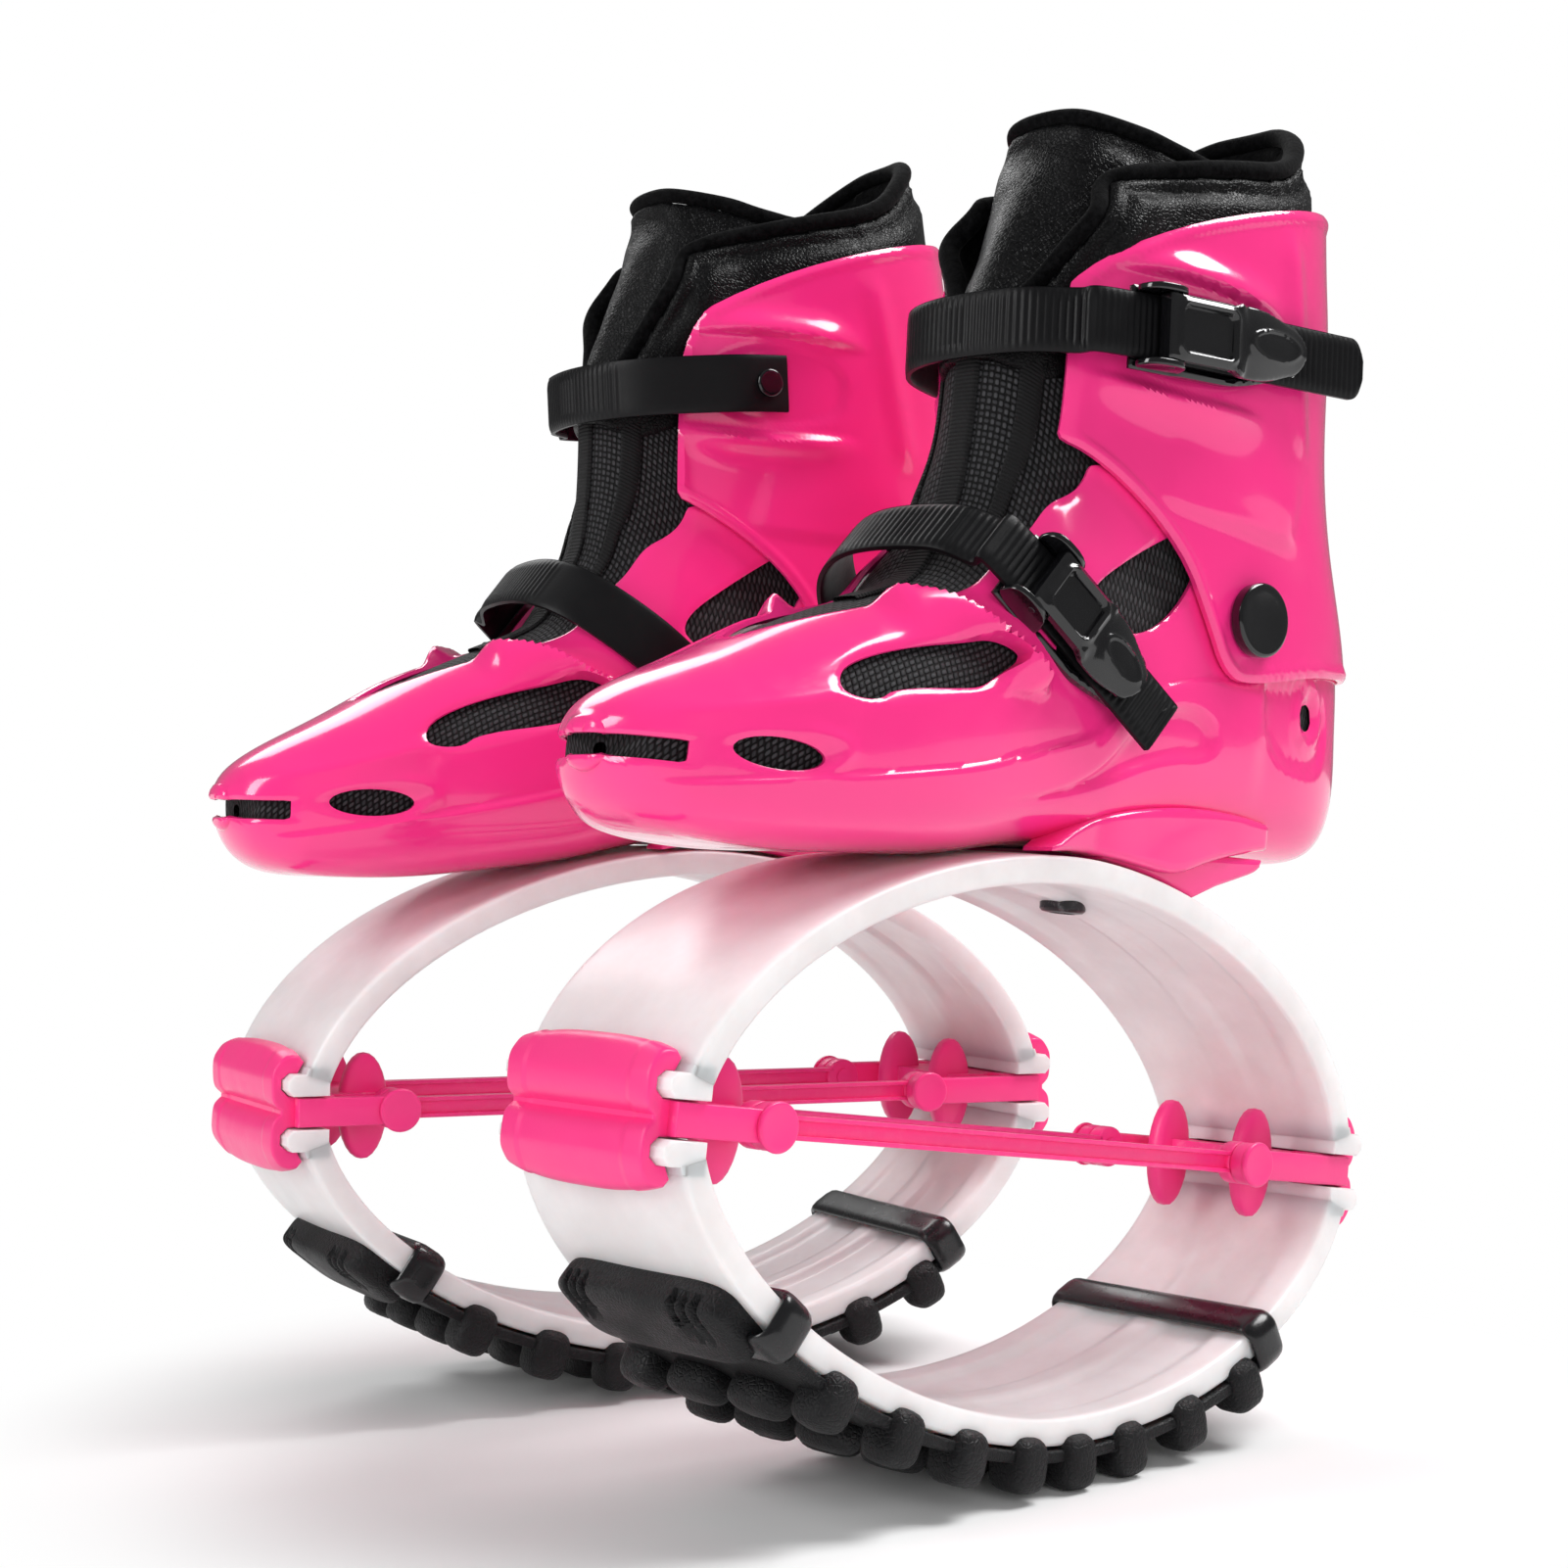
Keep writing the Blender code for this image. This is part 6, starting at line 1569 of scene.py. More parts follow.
def lever(frame, length):
    """A window frame with a bare floor in front, and a domed tail with a raised oval ring."""
    pin_along, pin_rise = pin_place()
    nose = LEVER_NOSE_RADIUS
    end = pin_along + length
    top_level = pin_rise + nose

    def keep_of(a, b):
        tail = end - LEVER_TIP
        side = lever_half(np.minimum(a, tail), length) - np.abs(b)
        tip = round_tip(a - tail, b, lever_half(np.array(tail), length), LEVER_TIP)
        return np.minimum(np.where(a > tail, tip, side), a - pin_along + nose)

    def top_of(a, b):
        share = (a - pin_along) / length
        window = box_distance(a, b, (pin_along + length * 0.23, 0.0), (length * 0.205, 0.0080), 0.0030)
        rim = 0.0010 * np.exp(-(window / 0.0010) ** 2)
        sunk = -0.0013 * smooth_step((window - 0.0009) / 0.0006)
        oval = np.hypot((a - pin_along - length * 0.74) / (length * 0.19), b / 0.0046)
        ring = 0.0005 * np.exp(-((oval - 1.0) / 0.12) ** 2)
        tail = smooth_step((share - 0.46) / 0.08)
        dome = -0.0022 * (b / lever_half(a, length)) ** 2 * tail
        return top_level + rim + sunk + ring * tail + dome - 0.0016 * smooth_step((share - 0.55) / 0.45)

    def bottom_of(a, _):
        thin = top_level - LEVER_THICKNESS - 0.0010 * smooth_step((a - pin_along) / length)
        return np.where(a < pin_along + nose, pin_rise - nose, thin)

    return plate(frame, keep_of, (pin_along - nose, end), (-LEVER_HALF_SPACE, LEVER_HALF_SPACE), top_of, bottom_of,
                 step=0.0006)


def buckle_pin(frame, radius, length):
    pin_along, pin_rise = pin_place()
    points, faces = lathe([(-length / 2, 0.0001), (-length / 2, radius * 0.7), (-length / 2 + 0.0004, radius),
                           (length / 2 - 0.0004, radius), (length / 2, radius * 0.7), (length / 2, 0.0001)],
                          (0.0, 0.0, 0.0), 24)
    points = points[:, [1, 0, 2]] + [pin_along, 0.0, pin_rise]
    return in_frame(frame, points), faces


# ================================================================ shared material effects
FLOAT, VECTOR = "NodeSocketFloat", "NodeSocketVector"


class Sheet:
    """Short ways to add and join nodes in one tree."""

    def __init__(self, tree):
        self.tree = tree

    def feed(self, socket, value):
        if isinstance(value, bpy.types.NodeSocket):
            self.tree.links.new(value, socket)
        else:
            socket.default_value = value

    def fill(self, made, **values):
        """Feeds a node's inputs by name, with _ for each space."""
        for key, value in values.items():
            self.feed(made.inputs[key.replace("_", " ")], value)

    def node(self, kind, settings=None, **values):
        made = self.tree.nodes.new(kind)
        for key, value in (settings or {}).items():
            setattr(made, key, value)
        self.fill(made, **values)
        return made

    def maths(self, operation, *values):
        made = self.node("ShaderNodeMath", {"operation": operation})
        for socket, value in zip(made.inputs, values):
            self.feed(socket, value)
        return made.outputs[0]

    def ramp(self, value, low, high, to_low=0.0, to_high=1.0):
        made = self.node("ShaderNodeMapRange", {"interpolation_type": "SMOOTHSTEP"}, Value=value, From_Min=low,
                         From_Max=high, To_Min=to_low, To_Max=to_high)
        return made.outputs["Result"]

    def mix(self, share, first, second):
        made = self.node("ShaderNodeMix", {"data_type": "RGBA"})
        for index, value in ((0, share), (6, first), (7, second)):
            self.feed(made.inputs[index], value)
        return made.outputs[2]

    def noise(self, vector, scale, detail=3.0, roughness=0.5):
        made = self.node("ShaderNodeTexNoise", Vector=vector, Scale=scale, Detail=detail, Roughness=roughness)
        return made.outputs["Fac"]

    def place(self, uv=False):
        return self.node("ShaderNodeTexCoord").outputs["UV" if uv else "Object"]

    def bump(self, height, distance, strength=1.0, normal=None):
        under = {} if normal is None else {"Normal": normal}
        made = self.node("ShaderNodeBump", Height=height, Distance=distance, Strength=strength, **under)
        return made.outputs["Normal"]

    def hump(self, value, pitch=1.0):
        """|sin| that falls to 0 once each pitch."""
        return self.maths("ABSOLUTE", self.maths("SINE", self.maths("MULTIPLY", value, math.pi / pitch)))


def new_group(name, inputs, outputs):
    """A node group. Inputs without a default and the output Normal are vectors, the rest are floats."""
    tree = bpy.data.node_groups.new(name, "ShaderNodeTree")
    for label, default in inputs.items():
        kind = VECTOR if default is None else FLOAT
        socket = tree.interface.new_socket(label, in_out="INPUT", socket_type=kind)
        if default is not None:
            socket.default_value = default
    for label in outputs:
        kind = VECTOR if label == "Normal" else FLOAT
        tree.interface.new_socket(label, in_out="OUTPUT", socket_type=kind)
    return Sheet(tree), tree.nodes.new("NodeGroupInput").outputs, tree.nodes.new("NodeGroupOutput")


def moulded_effect():
    """Fine grain and slow waves of a moulded face: a roughness offset, a tone and a normal."""
    use, given, out = new_group("moulded_surface", {
        "Place": None, "Grain Scale": 1800.0, "Grain Height": 0.00002, "Wave Height": 0.0001,
    }, ("Roughness", "Tone", "Normal"))
    place = given["Place"]
    normal = use.bump(use.noise(place, 26.0, 2.0), given["Wave Height"])
    grain = use.noise(place, given["Grain Scale"], 2.0)
    use.fill(out, Normal=use.bump(grain, given["Grain Height"], 1.0, normal),
             Roughness=use.ramp(use.noise(place, 90.0, 4.0, 0.65), 0.35, 0.75, -0.03, 0.06),
             Tone=use.ramp(use.noise(place, 12.0, 3.0), 0.3, 0.7, 0.94, 1.0))
    return use.tree


def edge_wear_and_highlight_effect():
    """Paler marks along the edges that stand out, broken up by noise: partly wear scuffs and partly painted highlight.
    """
    use, given, out = new_group("edge_wear_and_highlights", {"Place": None, "Amount": 0.4}, ("Mask",))
    edge = use.ramp(use.node("ShaderNodeNewGeometry").outputs["Pointiness"], 0.53, 0.62)
    streak = use.ramp(use.noise(given["Place"], 260.0, 5.0, 0.7), 0.48, 0.66)
    use.fill(out, Mask=use.maths("MULTIPLY", use.maths("MULTIPLY", edge, streak), given["Amount"]))
    return use.tree


def weave_effect():
    """A basket weave on a map in metres: warp humps and weft humps that swap on a chessboard.

    Each thread's height is |sin| across it times |sin| along its float, and the higher one shows.
    """
    use, given, out = new_group("basket_weave", {"Map": None, "Pitch": 0.0016}, ("Height", "Warp"))
    parts = use.node("ShaderNodeSeparateXYZ", Vector=given["Map"]).outputs
    u, v = (use.maths("DIVIDE", parts[axis], given["Pitch"]) for axis in "XY")
    board = use.maths("ADD", use.maths("FLOOR", u), use.maths("FLOOR", v))
    odd = use.maths("MODULO", use.maths("ABSOLUTE", board), 2.0)
    over = use.maths("GREATER_THAN", odd, 0.5)
    warp, weft = (use.maths("MULTIPLY", use.hump(across), use.maths("POWER", use.hump(along), 0.45))
                  for across, along in ((u, v), (v, u)))
    first = use.maths("MULTIPLY", warp, over)
    second = use.maths("MULTIPLY", weft, use.maths("SUBTRACT", 1.0, over))
    use.fill(out, Height=use.maths("ADD", first, second), Warp=over)
    return use.tree


def pebble_effect():
    """Leather or moulded pebbles: rounded cells with creases between them, at two sizes."""
    use, given, out = new_group("pebbles", {"Place": None, "Scale": 700.0}, ("Height",))
    cells, fine = (
        use.node("ShaderNodeTexVoronoi", {"feature": feature}, Vector=given["Place"], Scale=scale).outputs["Distance"]
        for feature, scale in (("DISTANCE_TO_EDGE", given["Scale"]),
                               ("F1", use.maths("MULTIPLY", given["Scale"], 2.3))))
    crease = use.ramp(cells, 0.0, 0.22)
    use.fill(out, Height=use.maths("SUBTRACT", crease, use.maths("MULTIPLY", fine, 0.25)))
    return use.tree


EFFECT_MAKERS = {"moulded": moulded_effect, "wear_and_highlights": edge_wear_and_highlight_effect, "weave": weave_effect, "pebbles": pebble_effect}
EFFECTS = {}


def effect(use, name, **values):
    if name not in EFFECTS:
        EFFECTS[name] = EFFECT_MAKERS[name]()
    return use.node("ShaderNodeGroup", {"node_tree": EFFECTS[name]}, **values).outputs


def start_material(name):
    made = bpy.data.materials.new(name)
    made.use_nodes = True
    return made, Sheet(made.node_tree), made.node_tree.nodes["Principled BSDF"]


def grey(value, blue=None):
    """A neutral colour, a little cooler when blue is given."""
    return value, value, value if blue is None else blue, 1.0


def tone(use, colour, factor):
    """A colour times a brightness factor."""
    made = use.node("ShaderNodeVectorMath", {"operation": "SCALE"}, Scale=factor)
    made.inputs[0].default_value = colour[:3]
    return made.outputs[0]


def plastic(name, colour, rough, coat=0.0, grain=0.00002, waves=0.0001, edge_wear_and_highlight=0.0, wear_and_highlight_colour=None, scale=1800.0,
            shine=0.5):
    """Moulded plastic: slow waves, grain, small changes of tone and gloss, and paler edges that are partly scuffs and
    partly painted highlight.
    """
    made, use, shader = start_material(name)
    place = use.place()
    surface = effect(use, "moulded", Place=place, Grain_Scale=scale, Grain_Height=grain, Wave_Height=waves)
    base = tone(use, colour, surface["Tone"])
    if edge_wear_and_highlight:
        # Edges that stand out are painted paler: partly wear, partly painted highlight.
        base = use.mix(effect(use, "wear_and_highlights", Place=place, Amount=edge_wear_and_highlight)["Mask"], base, wear_and_highlight_colour)
    use.fill(shader, Base_Color=base, Roughness=use.maths("ADD", surface["Roughness"], rough),
             Normal=surface["Normal"], Specular_IOR_Level=shine, Coat_Weight=coat, Coat_Roughness=0.06)
    return made


def nylon_material():
    """Cast nylon: milky, with light let through, cloudy tone and a satin face."""
    made, use, shader = start_material("milky_nylon")
    place = use.place()
    surface = effect(use, "moulded", Place=place, Grain_Scale=900.0, Grain_Height=0.00002, Wave_Height=0.00025)
    clouds = use.ramp(use.noise(place, 34.0, 4.0, 0.6), 0.3, 0.75)
    use.fill(shader, Base_Color=use.mix(clouds, (0.78, 0.755, 0.755, 1.0), (0.86, 0.845, 0.845, 1.0)),
             Roughness=use.maths("ADD", surface["Roughness"], 0.36), Normal=surface["Normal"],
             Subsurface_Weight=0.55, Subsurface_Radius=(1.0, 0.75, 0.70), Subsurface_Scale=0.010,
             Coat_Weight=0.08, Coat_Roughness=0.25)
    return made


def rubber_material():
    """Moulded rubber: fine pebbles, dull, with paler edges that are partly dust and partly painted highlight."""
    made, use, shader = start_material("pebbled_rubber")
    place = use.place()
    height = effect(use, "pebbles", Place=place, Scale=620.0)["Height"]
    mask = effect(use, "wear_and_highlights", Place=place, Amount=0.45)["Mask"]
    # Edges that stand out are painted paler grey: partly dust, partly painted highlight.
    use.fill(shader, Base_Color=use.mix(mask, grey(0.0060, 0.0068), grey(0.045, 0.047)),
             Roughness=use.ramp(use.noise(place, 60.0, 4.0), 0.3, 0.7, 0.46, 0.62),
             Normal=use.bump(height, 0.00018, 0.8), Specular_IOR_Level=0.34)
    return made


def leather_material():
    """Coated leather: pebbled grain, soft folds and a satin face; the creases between pebbles are painted darker than
    their tops, as painted shade.
    """
    made, use, shader = start_material("pebbled_leather")
    place = use.place()
    height = effect(use, "pebbles", Place=place, Scale=760.0)["Height"]
    folds = use.bump(use.noise(place, 38.0, 4.0, 0.6), 0.0022, 0.7)
    use.fill(shader, Normal=use.bump(height, 0.00016, 0.75, folds),
             # Painted shade: darker in the creases, paler on the pebble tops, by the pebbles' height.
             Base_Color=use.mix(height, grey(0.0015, 0.0018), grey(0.0055, 0.006)),
             Roughness=use.ramp(use.noise(place, 80.0, 5.0, 0.7), 0.3, 0.7, 0.30, 0.46), Specular_IOR_Level=0.15)
    return made


def mesh_material():
    """Coarse basket-woven mesh, with threads that are painted darker down into the gaps between them, as painted
    shade.
    """
    made, use, shader = start_material("basket_mesh")
    weave = effect(use, "weave", Map=use.place(uv=True), Pitch=0.0021)
    fuzz = use.bump(use.noise(use.place(), 2600.0, 3.0), 0.00008)
    threads = use.mix(weave["Warp"], grey(0.030, 0.033), grey(0.050, 0.054))
    tops = use.ramp(weave["Height"], 0.35, 0.85)
    # Painted shade: the low places of the weave, between threads, are darkened.
    use.fill(shader, Base_Color=use.mix(tops, grey(0.0010, 0.0012), threads), Roughness=0.72,
             Specular_IOR_Level=0.25, Normal=use.bump(weave["Height"], 0.00045, 1.0, fuzz),
             Sheen_Weight=0.04, Sheen_Roughness=0.5)
    return made


def webbing_material():
    """Grosgrain: ribs across the strip, each a rounded ridge, with fine threads along it; the grooves between ribs are
    painted darker as painted shade.
    """
    made, use, shader = start_material("grosgrain_webbing")
    parts = use.node("ShaderNodeSeparateXYZ", Vector=use.place(uv=True)).outputs
    rib, thread = use.hump(parts["Y"], 0.0013), use.hump(parts["X"], 0.0005)
    height = use.maths("ADD", rib, use.maths("MULTIPLY", thread, 0.25))
    use.fill(shader, Normal=use.bump(height, 0.00028),
             # Painted shade: darker in the grooves, paler on the rib tops, by the ribs' height.
             Base_Color=use.mix(rib, grey(0.0015, 0.0018), grey(0.0075, 0.0082)),
             Roughness=0.7, Specular_IOR_Level=0.25, Sheen_Weight=0.04)
    return made


def lining_material():
    """Brushed knit: soft tufts and short fibres, matt with a faint sheen; the hollows between tufts are painted darker
    as painted shade.
    """
    made, use, shader = start_material("brushed_knit_lining")
    place = use.place()
    tufts = use.noise(place, 420.0, 4.0, 0.7)
    under = use.bump(tufts, 0.0006, 0.8)
    use.fill(shader, Normal=use.bump(use.noise(place, 3200.0, 2.0), 0.00012, 0.8, under),
             # Painted shade: darker in the hollows, paler on the raised tufts, by the tufts' height.
             Base_Color=use.mix(use.ramp(tufts, 0.35, 0.7), grey(0.0012, 0.0014), grey(0.0055, 0.006)),
             Roughness=0.92, Specular_IOR_Level=0.08, Sheen_Weight=0.03, Sheen_Roughness=0.35)
    return made


def steel_material():
    """Blackened steel with paler rubbed spots."""
    made, use, shader = start_material("blackened_steel")
    place = use.place()
    spots = use.ramp(use.noise(place, 300.0, 5.0, 0.7), 0.52, 0.7)
    use.fill(shader, Base_Color=use.mix(spots, grey(0.05, 0.052), grey(0.16, 0.165)),
             Normal=use.bump(use.noise(place, 1500.0, 3.0), 0.00003), Metallic=0.9,
             Roughness=use.ramp(spots, 0.0, 1.0, 0.30, 0.45))
    return made


PINK = (0.98, 0.032, 0.255, 1.0)
SOFT_PINK = (0.98, 0.036, 0.245, 1.0)
# Pale pink painted on edges that stand out: partly wear, partly painted highlight.
PALE_PINK = (1.0, 0.26, 0.44, 1.0)


def all_materials():
    """The material of each slot, and of the parts of a slot that look different."""
    return {
        # The colours painted on edges that stand out are partly wear and partly painted highlight.
        "gloss_pink_shell": plastic("gloss_pink", PINK, 0.17, coat=0.55, grain=0.000004, waves=0.00022, edge_wear_and_highlight=0.10,
                                    wear_and_highlight_colour=PALE_PINK),
        "moulded_pink_bracket": plastic("satin_pink", SOFT_PINK, 0.38, coat=0.08, grain=0.00003, waves=0.0003,
                                        edge_wear_and_highlight=0.35, wear_and_highlight_colour=PALE_PINK, scale=1100.0),
        "black_plastic": plastic("gloss_black", grey(0.0042, 0.005), 0.14, coat=0.5, grain=0.000006, edge_wear_and_highlight=0.12,
                                 wear_and_highlight_colour=grey(0.05)),
        "black_ladder_strap": plastic("matt_strap", grey(0.0045, 0.0052), 0.42, grain=0.00004, waves=0.0002,
                                      edge_wear_and_highlight=0.25, wear_and_highlight_colour=grey(0.05, 0.052), scale=1400.0, shine=0.22),
        "gloss_rubber": plastic("gloss_rubber", grey(0.006, 0.007), 0.26, coat=0.1, waves=0.0003),
        "natural_nylon": nylon_material(),
        "black_rubber": rubber_material(),
        "leather": leather_material(),
        "mesh": mesh_material(),
        "webbing": webbing_material(),
        "lining": lining_material(),
        "dark_steel": steel_material(),
    }


# ================================================================ putting the shoes together
BOW_BEND = (0.008, 0.088)
ANKLE_BEND = ("boot", "cuff", (0.0, 0.0, 0.176), (0.0, -0.012, 0.232))
# Each strip's low x, high x, low z and high z
WEBBING_STRIPS = {
    "front_webbing": (-0.0055, 0.0055, 0.155, 0.250),
    "left_edge_webbing": (0.0175, 0.0225, 0.180, 0.250),
    "right_edge_webbing": (-0.0225, -0.0175, 0.180, 0.250),
}


def solid(m, name, made, body, slot, look=None, stands_for=None, **more):
    """A piece of one material, which is its slot's, that stands for the CAD node of its own name."""
    put(name, made, body, slot, [m[look or slot]], [stands_for or name], **more)


def soft(name, made, materials, stands_for):
    """A piece of the liner, fixed in place."""
    return put(name, made, "cuff", "black_lining", materials, stands_for, sharp=80.0, blend=ANKLE_BEND)


def build_hard(m):
    solid(m, "lower_shell", lower_shell(), "boot", "gloss_pink_shell")
    solid(m, "cuff", cuff(), "cuff", "gloss_pink_shell")
    solid(m, "saddle", saddle(), "boot", "gloss_pink_shell")
    top = 0.92 * BOOT_HALF_WIDTH + CUFF_GAP + CUFF_WALL + PIVOT_CAP_HEIGHT
    profile = mushroom(top - 0.0105, top, radius=0.005, head=PIVOT_CAP_RADIUS, head_height=0.0042, rounding=0.3,
                       dish=0.0003)
    for name, side in SIDES:
        solid(m, f"pivot_pin_{name}", stud(side, profile, PIVOT_Y, PIVOT_Z, 48), "boot", "black_plastic")


def build_spring(m):
    low, high = BOW_BEND
    points, faces = bow()
    solid(m, "upper_bow", (points, faces), "boot", "natural_nylon",
          blend=("hooks", "boot", (0.0, 0.0, low), (0.0, 0.0, high)))
    lower = points * [1.0, 1.0, -1.0], [face[::-1] for face in faces]
    solid(m, "lower_bow", lower, "hooks", "natural_nylon",
          blend=("sole", "hooks", (0.0, 0.0, -high), (0.0, 0.0, -low)))
    outside, _, _, inside = arm_sides()
    profile = mushroom(inside - 0.001, outside + GAP + RIVET_HEAD_HEIGHT, radius=0.003, head=RIVET_HEAD_RADIUS,
                       head_height=RIVET_HEAD_HEIGHT, rounding=0.6, dish=0.0002)
    for end, boss_y in (("front", FRONT_BOSS_Y), ("rear", REAR_BOSS_Y)):
        solid(m, f"{end}_bracket", bracket(boss_y), "hooks", "moulded_pink_bracket")
        for name, side in SIDES:
            rivet = stud(side, profile, boss_y, 0.0, 36)
            solid(m, f"band_rivet_{end}_{name}", rivet, "hooks", "moulded_pink_bracket")
    for name, side in SIDES:
        solid(m, f"tension_band_{name}", band(side), "hooks", "moulded_pink_bracket")


def build_sole(m):
    solid(m, "outsole", outsole(), "sole", "black_rubber")
    for end, y in (("front", FRONT_LOOP_Y), ("rear", REAR_LOOP_Y)):
        solid(m, f"outsole_{end}_loop", sole_loop(y), "sole", "black_rubber", "gloss_rubber", "outsole")


def saddle_bolt():
    """A dished head inside the bow and a stem up into the saddle."""
    low = float(hoop(BOLT_Y - RING_MIDDLE_Y, BOW_THICKNESS)[1]) + FLUTE_DEPTH - GAP - 0.004
    profile = [(low, 0.0001), (low, 0.0030), (low + 0.0006, 0.0036), (low - 0.0004, 0.0042), (low, 0.0066),
               (low + 0.0008, 0.0074), (low + 0.004, 0.0075), (low + 0.004, 0.004), (BOW_RISE + 0.003, 0.004),
               (BOW_RISE + 0.003, 0.0001)]
    points, faces = lathe(profile, (0.0, 0.0, 0.0), 36)
    return points[:, [1, 2, 0]] + [0.0, BOLT_Y, 0.0], faces


def build_fittings(m):
    solid(m, "saddle_bolt", saddle_bolt(), "boot", "dark_steel")
    for name, body in (("cuff", "cuff"), ("instep", "boot")):
        solid(m, f"{name}_strap", ribbon(*STRAPS[name]), body, "black_ladder_strap", sharp=55.0)
    for name, body, inset, length in (("cuff", "cuff", CUFF_BUCKLE_FROM, CUFF_BUCKLE_LENGTH),
                                      ("instep", "boot", INSTEP_BUCKLE_FROM, INSTEP_BUCKLE_LENGTH)):
        axes = buckle_frame(name, inset)
        solid(m, f"{name}_buckle_base", buckle_base(axes, length), body, "black_plastic")
        solid(m, f"{name}_buckle_lever", lever(axes, length - BUCKLE_TAIL), f"{name}_lever", "black_plastic")
        solid(m, f"{name}_buckle_pin", buckle_pin(axes, radius=0.0015, length=BUCKLE_WIDTH - GAP), body, "dark_steel")
    for name, body, point in (("cuff", "cuff", cuff_strap_point(CUFF_STRAP_PLAN[0, 0], 0.0165)),
                              ("instep", "boot", instep_point(INSTEP_STRAP_PLAN[0, 0], 0.0515))):
        x, y, z = (float(v) for v in point)
        top = -x + STRAP_THICKNESS / 2 + GAP
        profile = mushroom(top - 0.0055, top + 0.0012, radius=0.003, head=0.005, head_height=0.0012, rounding=0.7)
        solid(m, f"{name}_strap_rivet", stud(-1.0, profile, y, z, 30), body, "black_plastic")


def build_soft(m):
    mesh, leather, lining = m["mesh"], m["leather"], m["lining"]
    collar, flap = liner_cut(), tongue_cut()
    for piece in soft("liner", liner(collar), [mesh, leather, lining], ["liner_foot", "liner_shaft"]):
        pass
    tape = bound_edge(collar, LINER_WALL, floor=0.2545, wide=0.0030, extra=0.0005)
    soft("collar_border", tape, [lining], ["liner_shaft"])
    tape = bound_edge(flap, TONGUE_BORDER_WALL, floor=MESH_TOP_Z, wide=0.0026, extra=0.0004)
    soft("tongue_border", tape, [lining], ["tongue"])
    for piece in soft("tongue", tongue(flap), [leather, lining], ["tongue"]):
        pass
    for name, places in WEBBING_STRIPS.items():
        soft(name, front_strip(*places, lift=0.0012, thickness=0.0016), [m["webbing"]], ["tongue"])


# ================================================================ camera, light and floor
CAMERA_FROM_CENTRE = (0.6248, -0.6199, 0.1132)
CAMERA_TURN = math.radians(6.26)
CAMERA_AZIMUTH = math.radians(55.04)
CAMERA_DOWN = math.radians(0.18)
CAMERA_ROLL = math.radians(-0.61)
SENSOR_WIDTH = 36.0
CAMERA_LENS = SENSOR_WIDTH * 2889.0 / 1601.0
LIGHTS_AIM = (0.0, 0.0, 0.2)
# Each light: how far right of, beyond and above the middle of the pair as the camera sees it, its
# size, its watts, and whether it shows in reflections
LIGHTS = {
    "key": ((1.0, 0.1, 1.6), (0.8, 0.8), 27.0, True),
    "left_box": ((-1.5, -0.7, 1.0), (0.5, 1.2), 14.0, True),
    "front_box": ((0.3, -2.2, 0.8), (1.8, 1.2), 20.0, False),
    "back_box": ((-0.6, 1.4, 1.5), (1.2, 0.8), 12.0, True),
}
FLOOR_HALF_SIZE = 6.0
FLOOR_FADE = (0.17, 0.29)
WORLD_LIGHT = 0.20
WHITE = (1.0, 1.0, 1.0, 1.0)


def stand(name, data, side, over, away, place):
    """Puts a camera or light in the scene, with its own three axes and its place given."""
    obj = bpy.data.objects.new(name, data)
    rows = [[float(v[i]) for v in (side, over, away, place)] for i in range(3)]
    obj.matrix_world = Matrix(rows + [[0, 0, 0, 1]])
    bpy.context.scene.collection.objects.link(obj)
    return obj


def add_camera():
    """The photo's viewpoint, from the left shoe's ring centre."""
    x, y, z = CAMERA_FROM_CENTRE
    cx, cy, cz = SHOES["left"]["centre"]
    place = (cx + x * math.cos(CAMERA_TURN) - y * math.sin(CAMERA_TURN),
             cy + x * math.sin(CAMERA_TURN) + y * math.cos(CAMERA_TURN), cz + z)
    az, el, roll = CAMERA_AZIMUTH, CAMERA_DOWN, CAMERA_ROLL
    ahead = np.array([-math.sin(az) * math.cos(el), math.cos(az) * math.cos(el), -math.sin(el)])
    right = np.array([math.cos(az), math.sin(az), 0.0])
    up = np.cross(right, ahead)
    across = math.cos(roll) * right + math.sin(roll) * up
    above = -math.sin(roll) * right + math.cos(roll) * up
    lens = bpy.data.cameras.new("photo_view")
    lens.lens, lens.sensor_width, lens.clip_start = CAMERA_LENS, SENSOR_WIDTH, 0.01
    bpy.context.scene.camera = stand("photo_view", lens, across, above, -ahead, place)
    return ahead, right


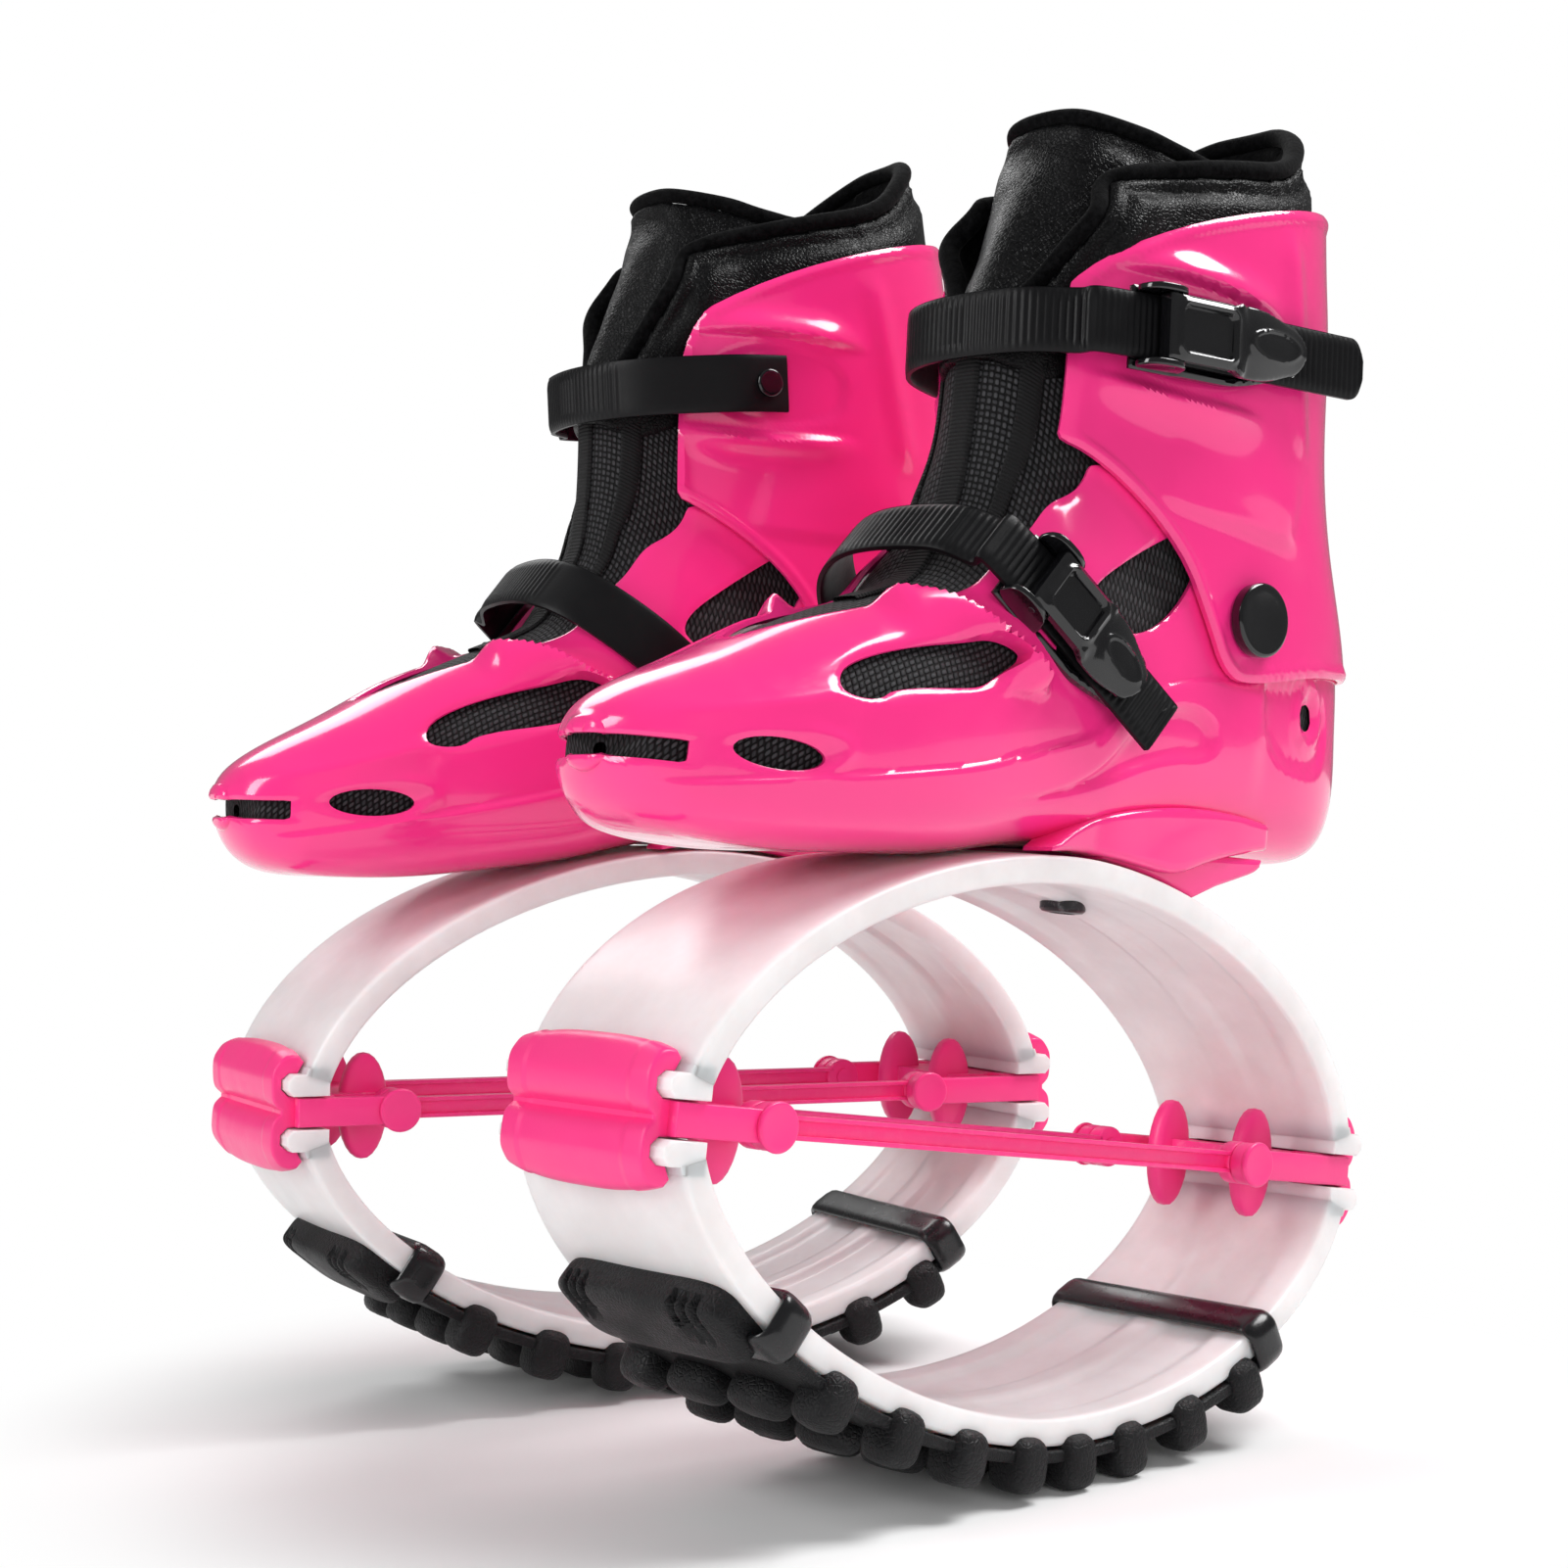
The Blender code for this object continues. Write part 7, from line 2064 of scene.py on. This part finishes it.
def add_lights(ahead, right):
    """Soft rectangular lights that look at the middle of the pair."""
    flat = np.array([ahead[0], ahead[1], 0.0])
    flat /= np.linalg.norm(flat)
    for name, ((to_right, beyond, height), size, watts, shiny) in LIGHTS.items():
        lamp = bpy.data.lights.new(name, "AREA")
        lamp.shape = "RECTANGLE"
        lamp.size, lamp.size_y = size
        lamp.energy = watts
        place = np.array([0.0, 0.0, height]) + right * to_right + flat * beyond
        away = place - LIGHTS_AIM
        away /= np.linalg.norm(away)
        side = np.cross((0.0, 0.0, 1.0), away)
        side /= np.linalg.norm(side)
        stand(name, lamp, side, np.cross(away, side), away, place).visible_glossy = shiny


def add_floor():
    """A pale floor that fades to white around the pair but keeps their shadow."""
    size = FLOOR_HALF_SIZE
    mesh = bpy.data.meshes.new("floor")
    mesh.from_pydata([(-size, -size, 0), (size, -size, 0), (size, size, 0), (-size, size, 0)], [], [(0, 1, 2, 3)])
    floor = bpy.data.objects.new("floor", mesh)
    floor.location.z = -0.0002
    bpy.context.scene.collection.objects.link(floor)
    made, use, shader = start_material("studio_floor")
    use.tree.nodes.remove(shader)
    matt = use.node("ShaderNodeBsdfDiffuse", Color=(0.93, 0.93, 0.93, 1.0)).outputs[0]
    white = use.node("ShaderNodeEmission", Color=WHITE, Strength=1.0).outputs[0]
    away = use.node("ShaderNodeVectorMath", {"operation": "LENGTH"})
    use.feed(away.inputs[0], use.place())
    far = use.ramp(away.outputs["Value"], *FLOOR_FADE)
    seen = use.node("ShaderNodeLightPath").outputs
    rays = use.maths("MAXIMUM", seen["Is Camera Ray"], seen["Is Glossy Ray"])
    rays = use.maths("MAXIMUM", rays, seen["Is Transmission Ray"])
    blend = use.node("ShaderNodeMixShader")
    for socket, value in zip(blend.inputs, (use.maths("MULTIPLY", far, rays), matt, white)):
        use.feed(socket, value)
    use.fill(use.tree.nodes["Material Output"], Surface=blend.outputs[0])
    mesh.materials.append(made)


def add_world():
    """White for what the camera sees, and a softer white for what lights the shoes."""
    world = bpy.data.worlds.new("studio")
    world.use_nodes = True
    bpy.context.scene.world = world
    use = Sheet(world.node_tree)
    seen = use.node("ShaderNodeLightPath").outputs["Is Camera Ray"]
    use.fill(world.node_tree.nodes["Background"], Color=WHITE, Strength=use.ramp(seen, 0.0, 1.0, WORLD_LIGHT, 1.0))


def main():
    m = all_materials()
    build_hard(m)
    build_spring(m)
    build_sole(m)
    build_fittings(m)
    build_soft(m)
    bpy.context.scene.view_settings.view_transform = "Standard"
    add_lights(*add_camera())
    add_floor()
    add_world()


main()
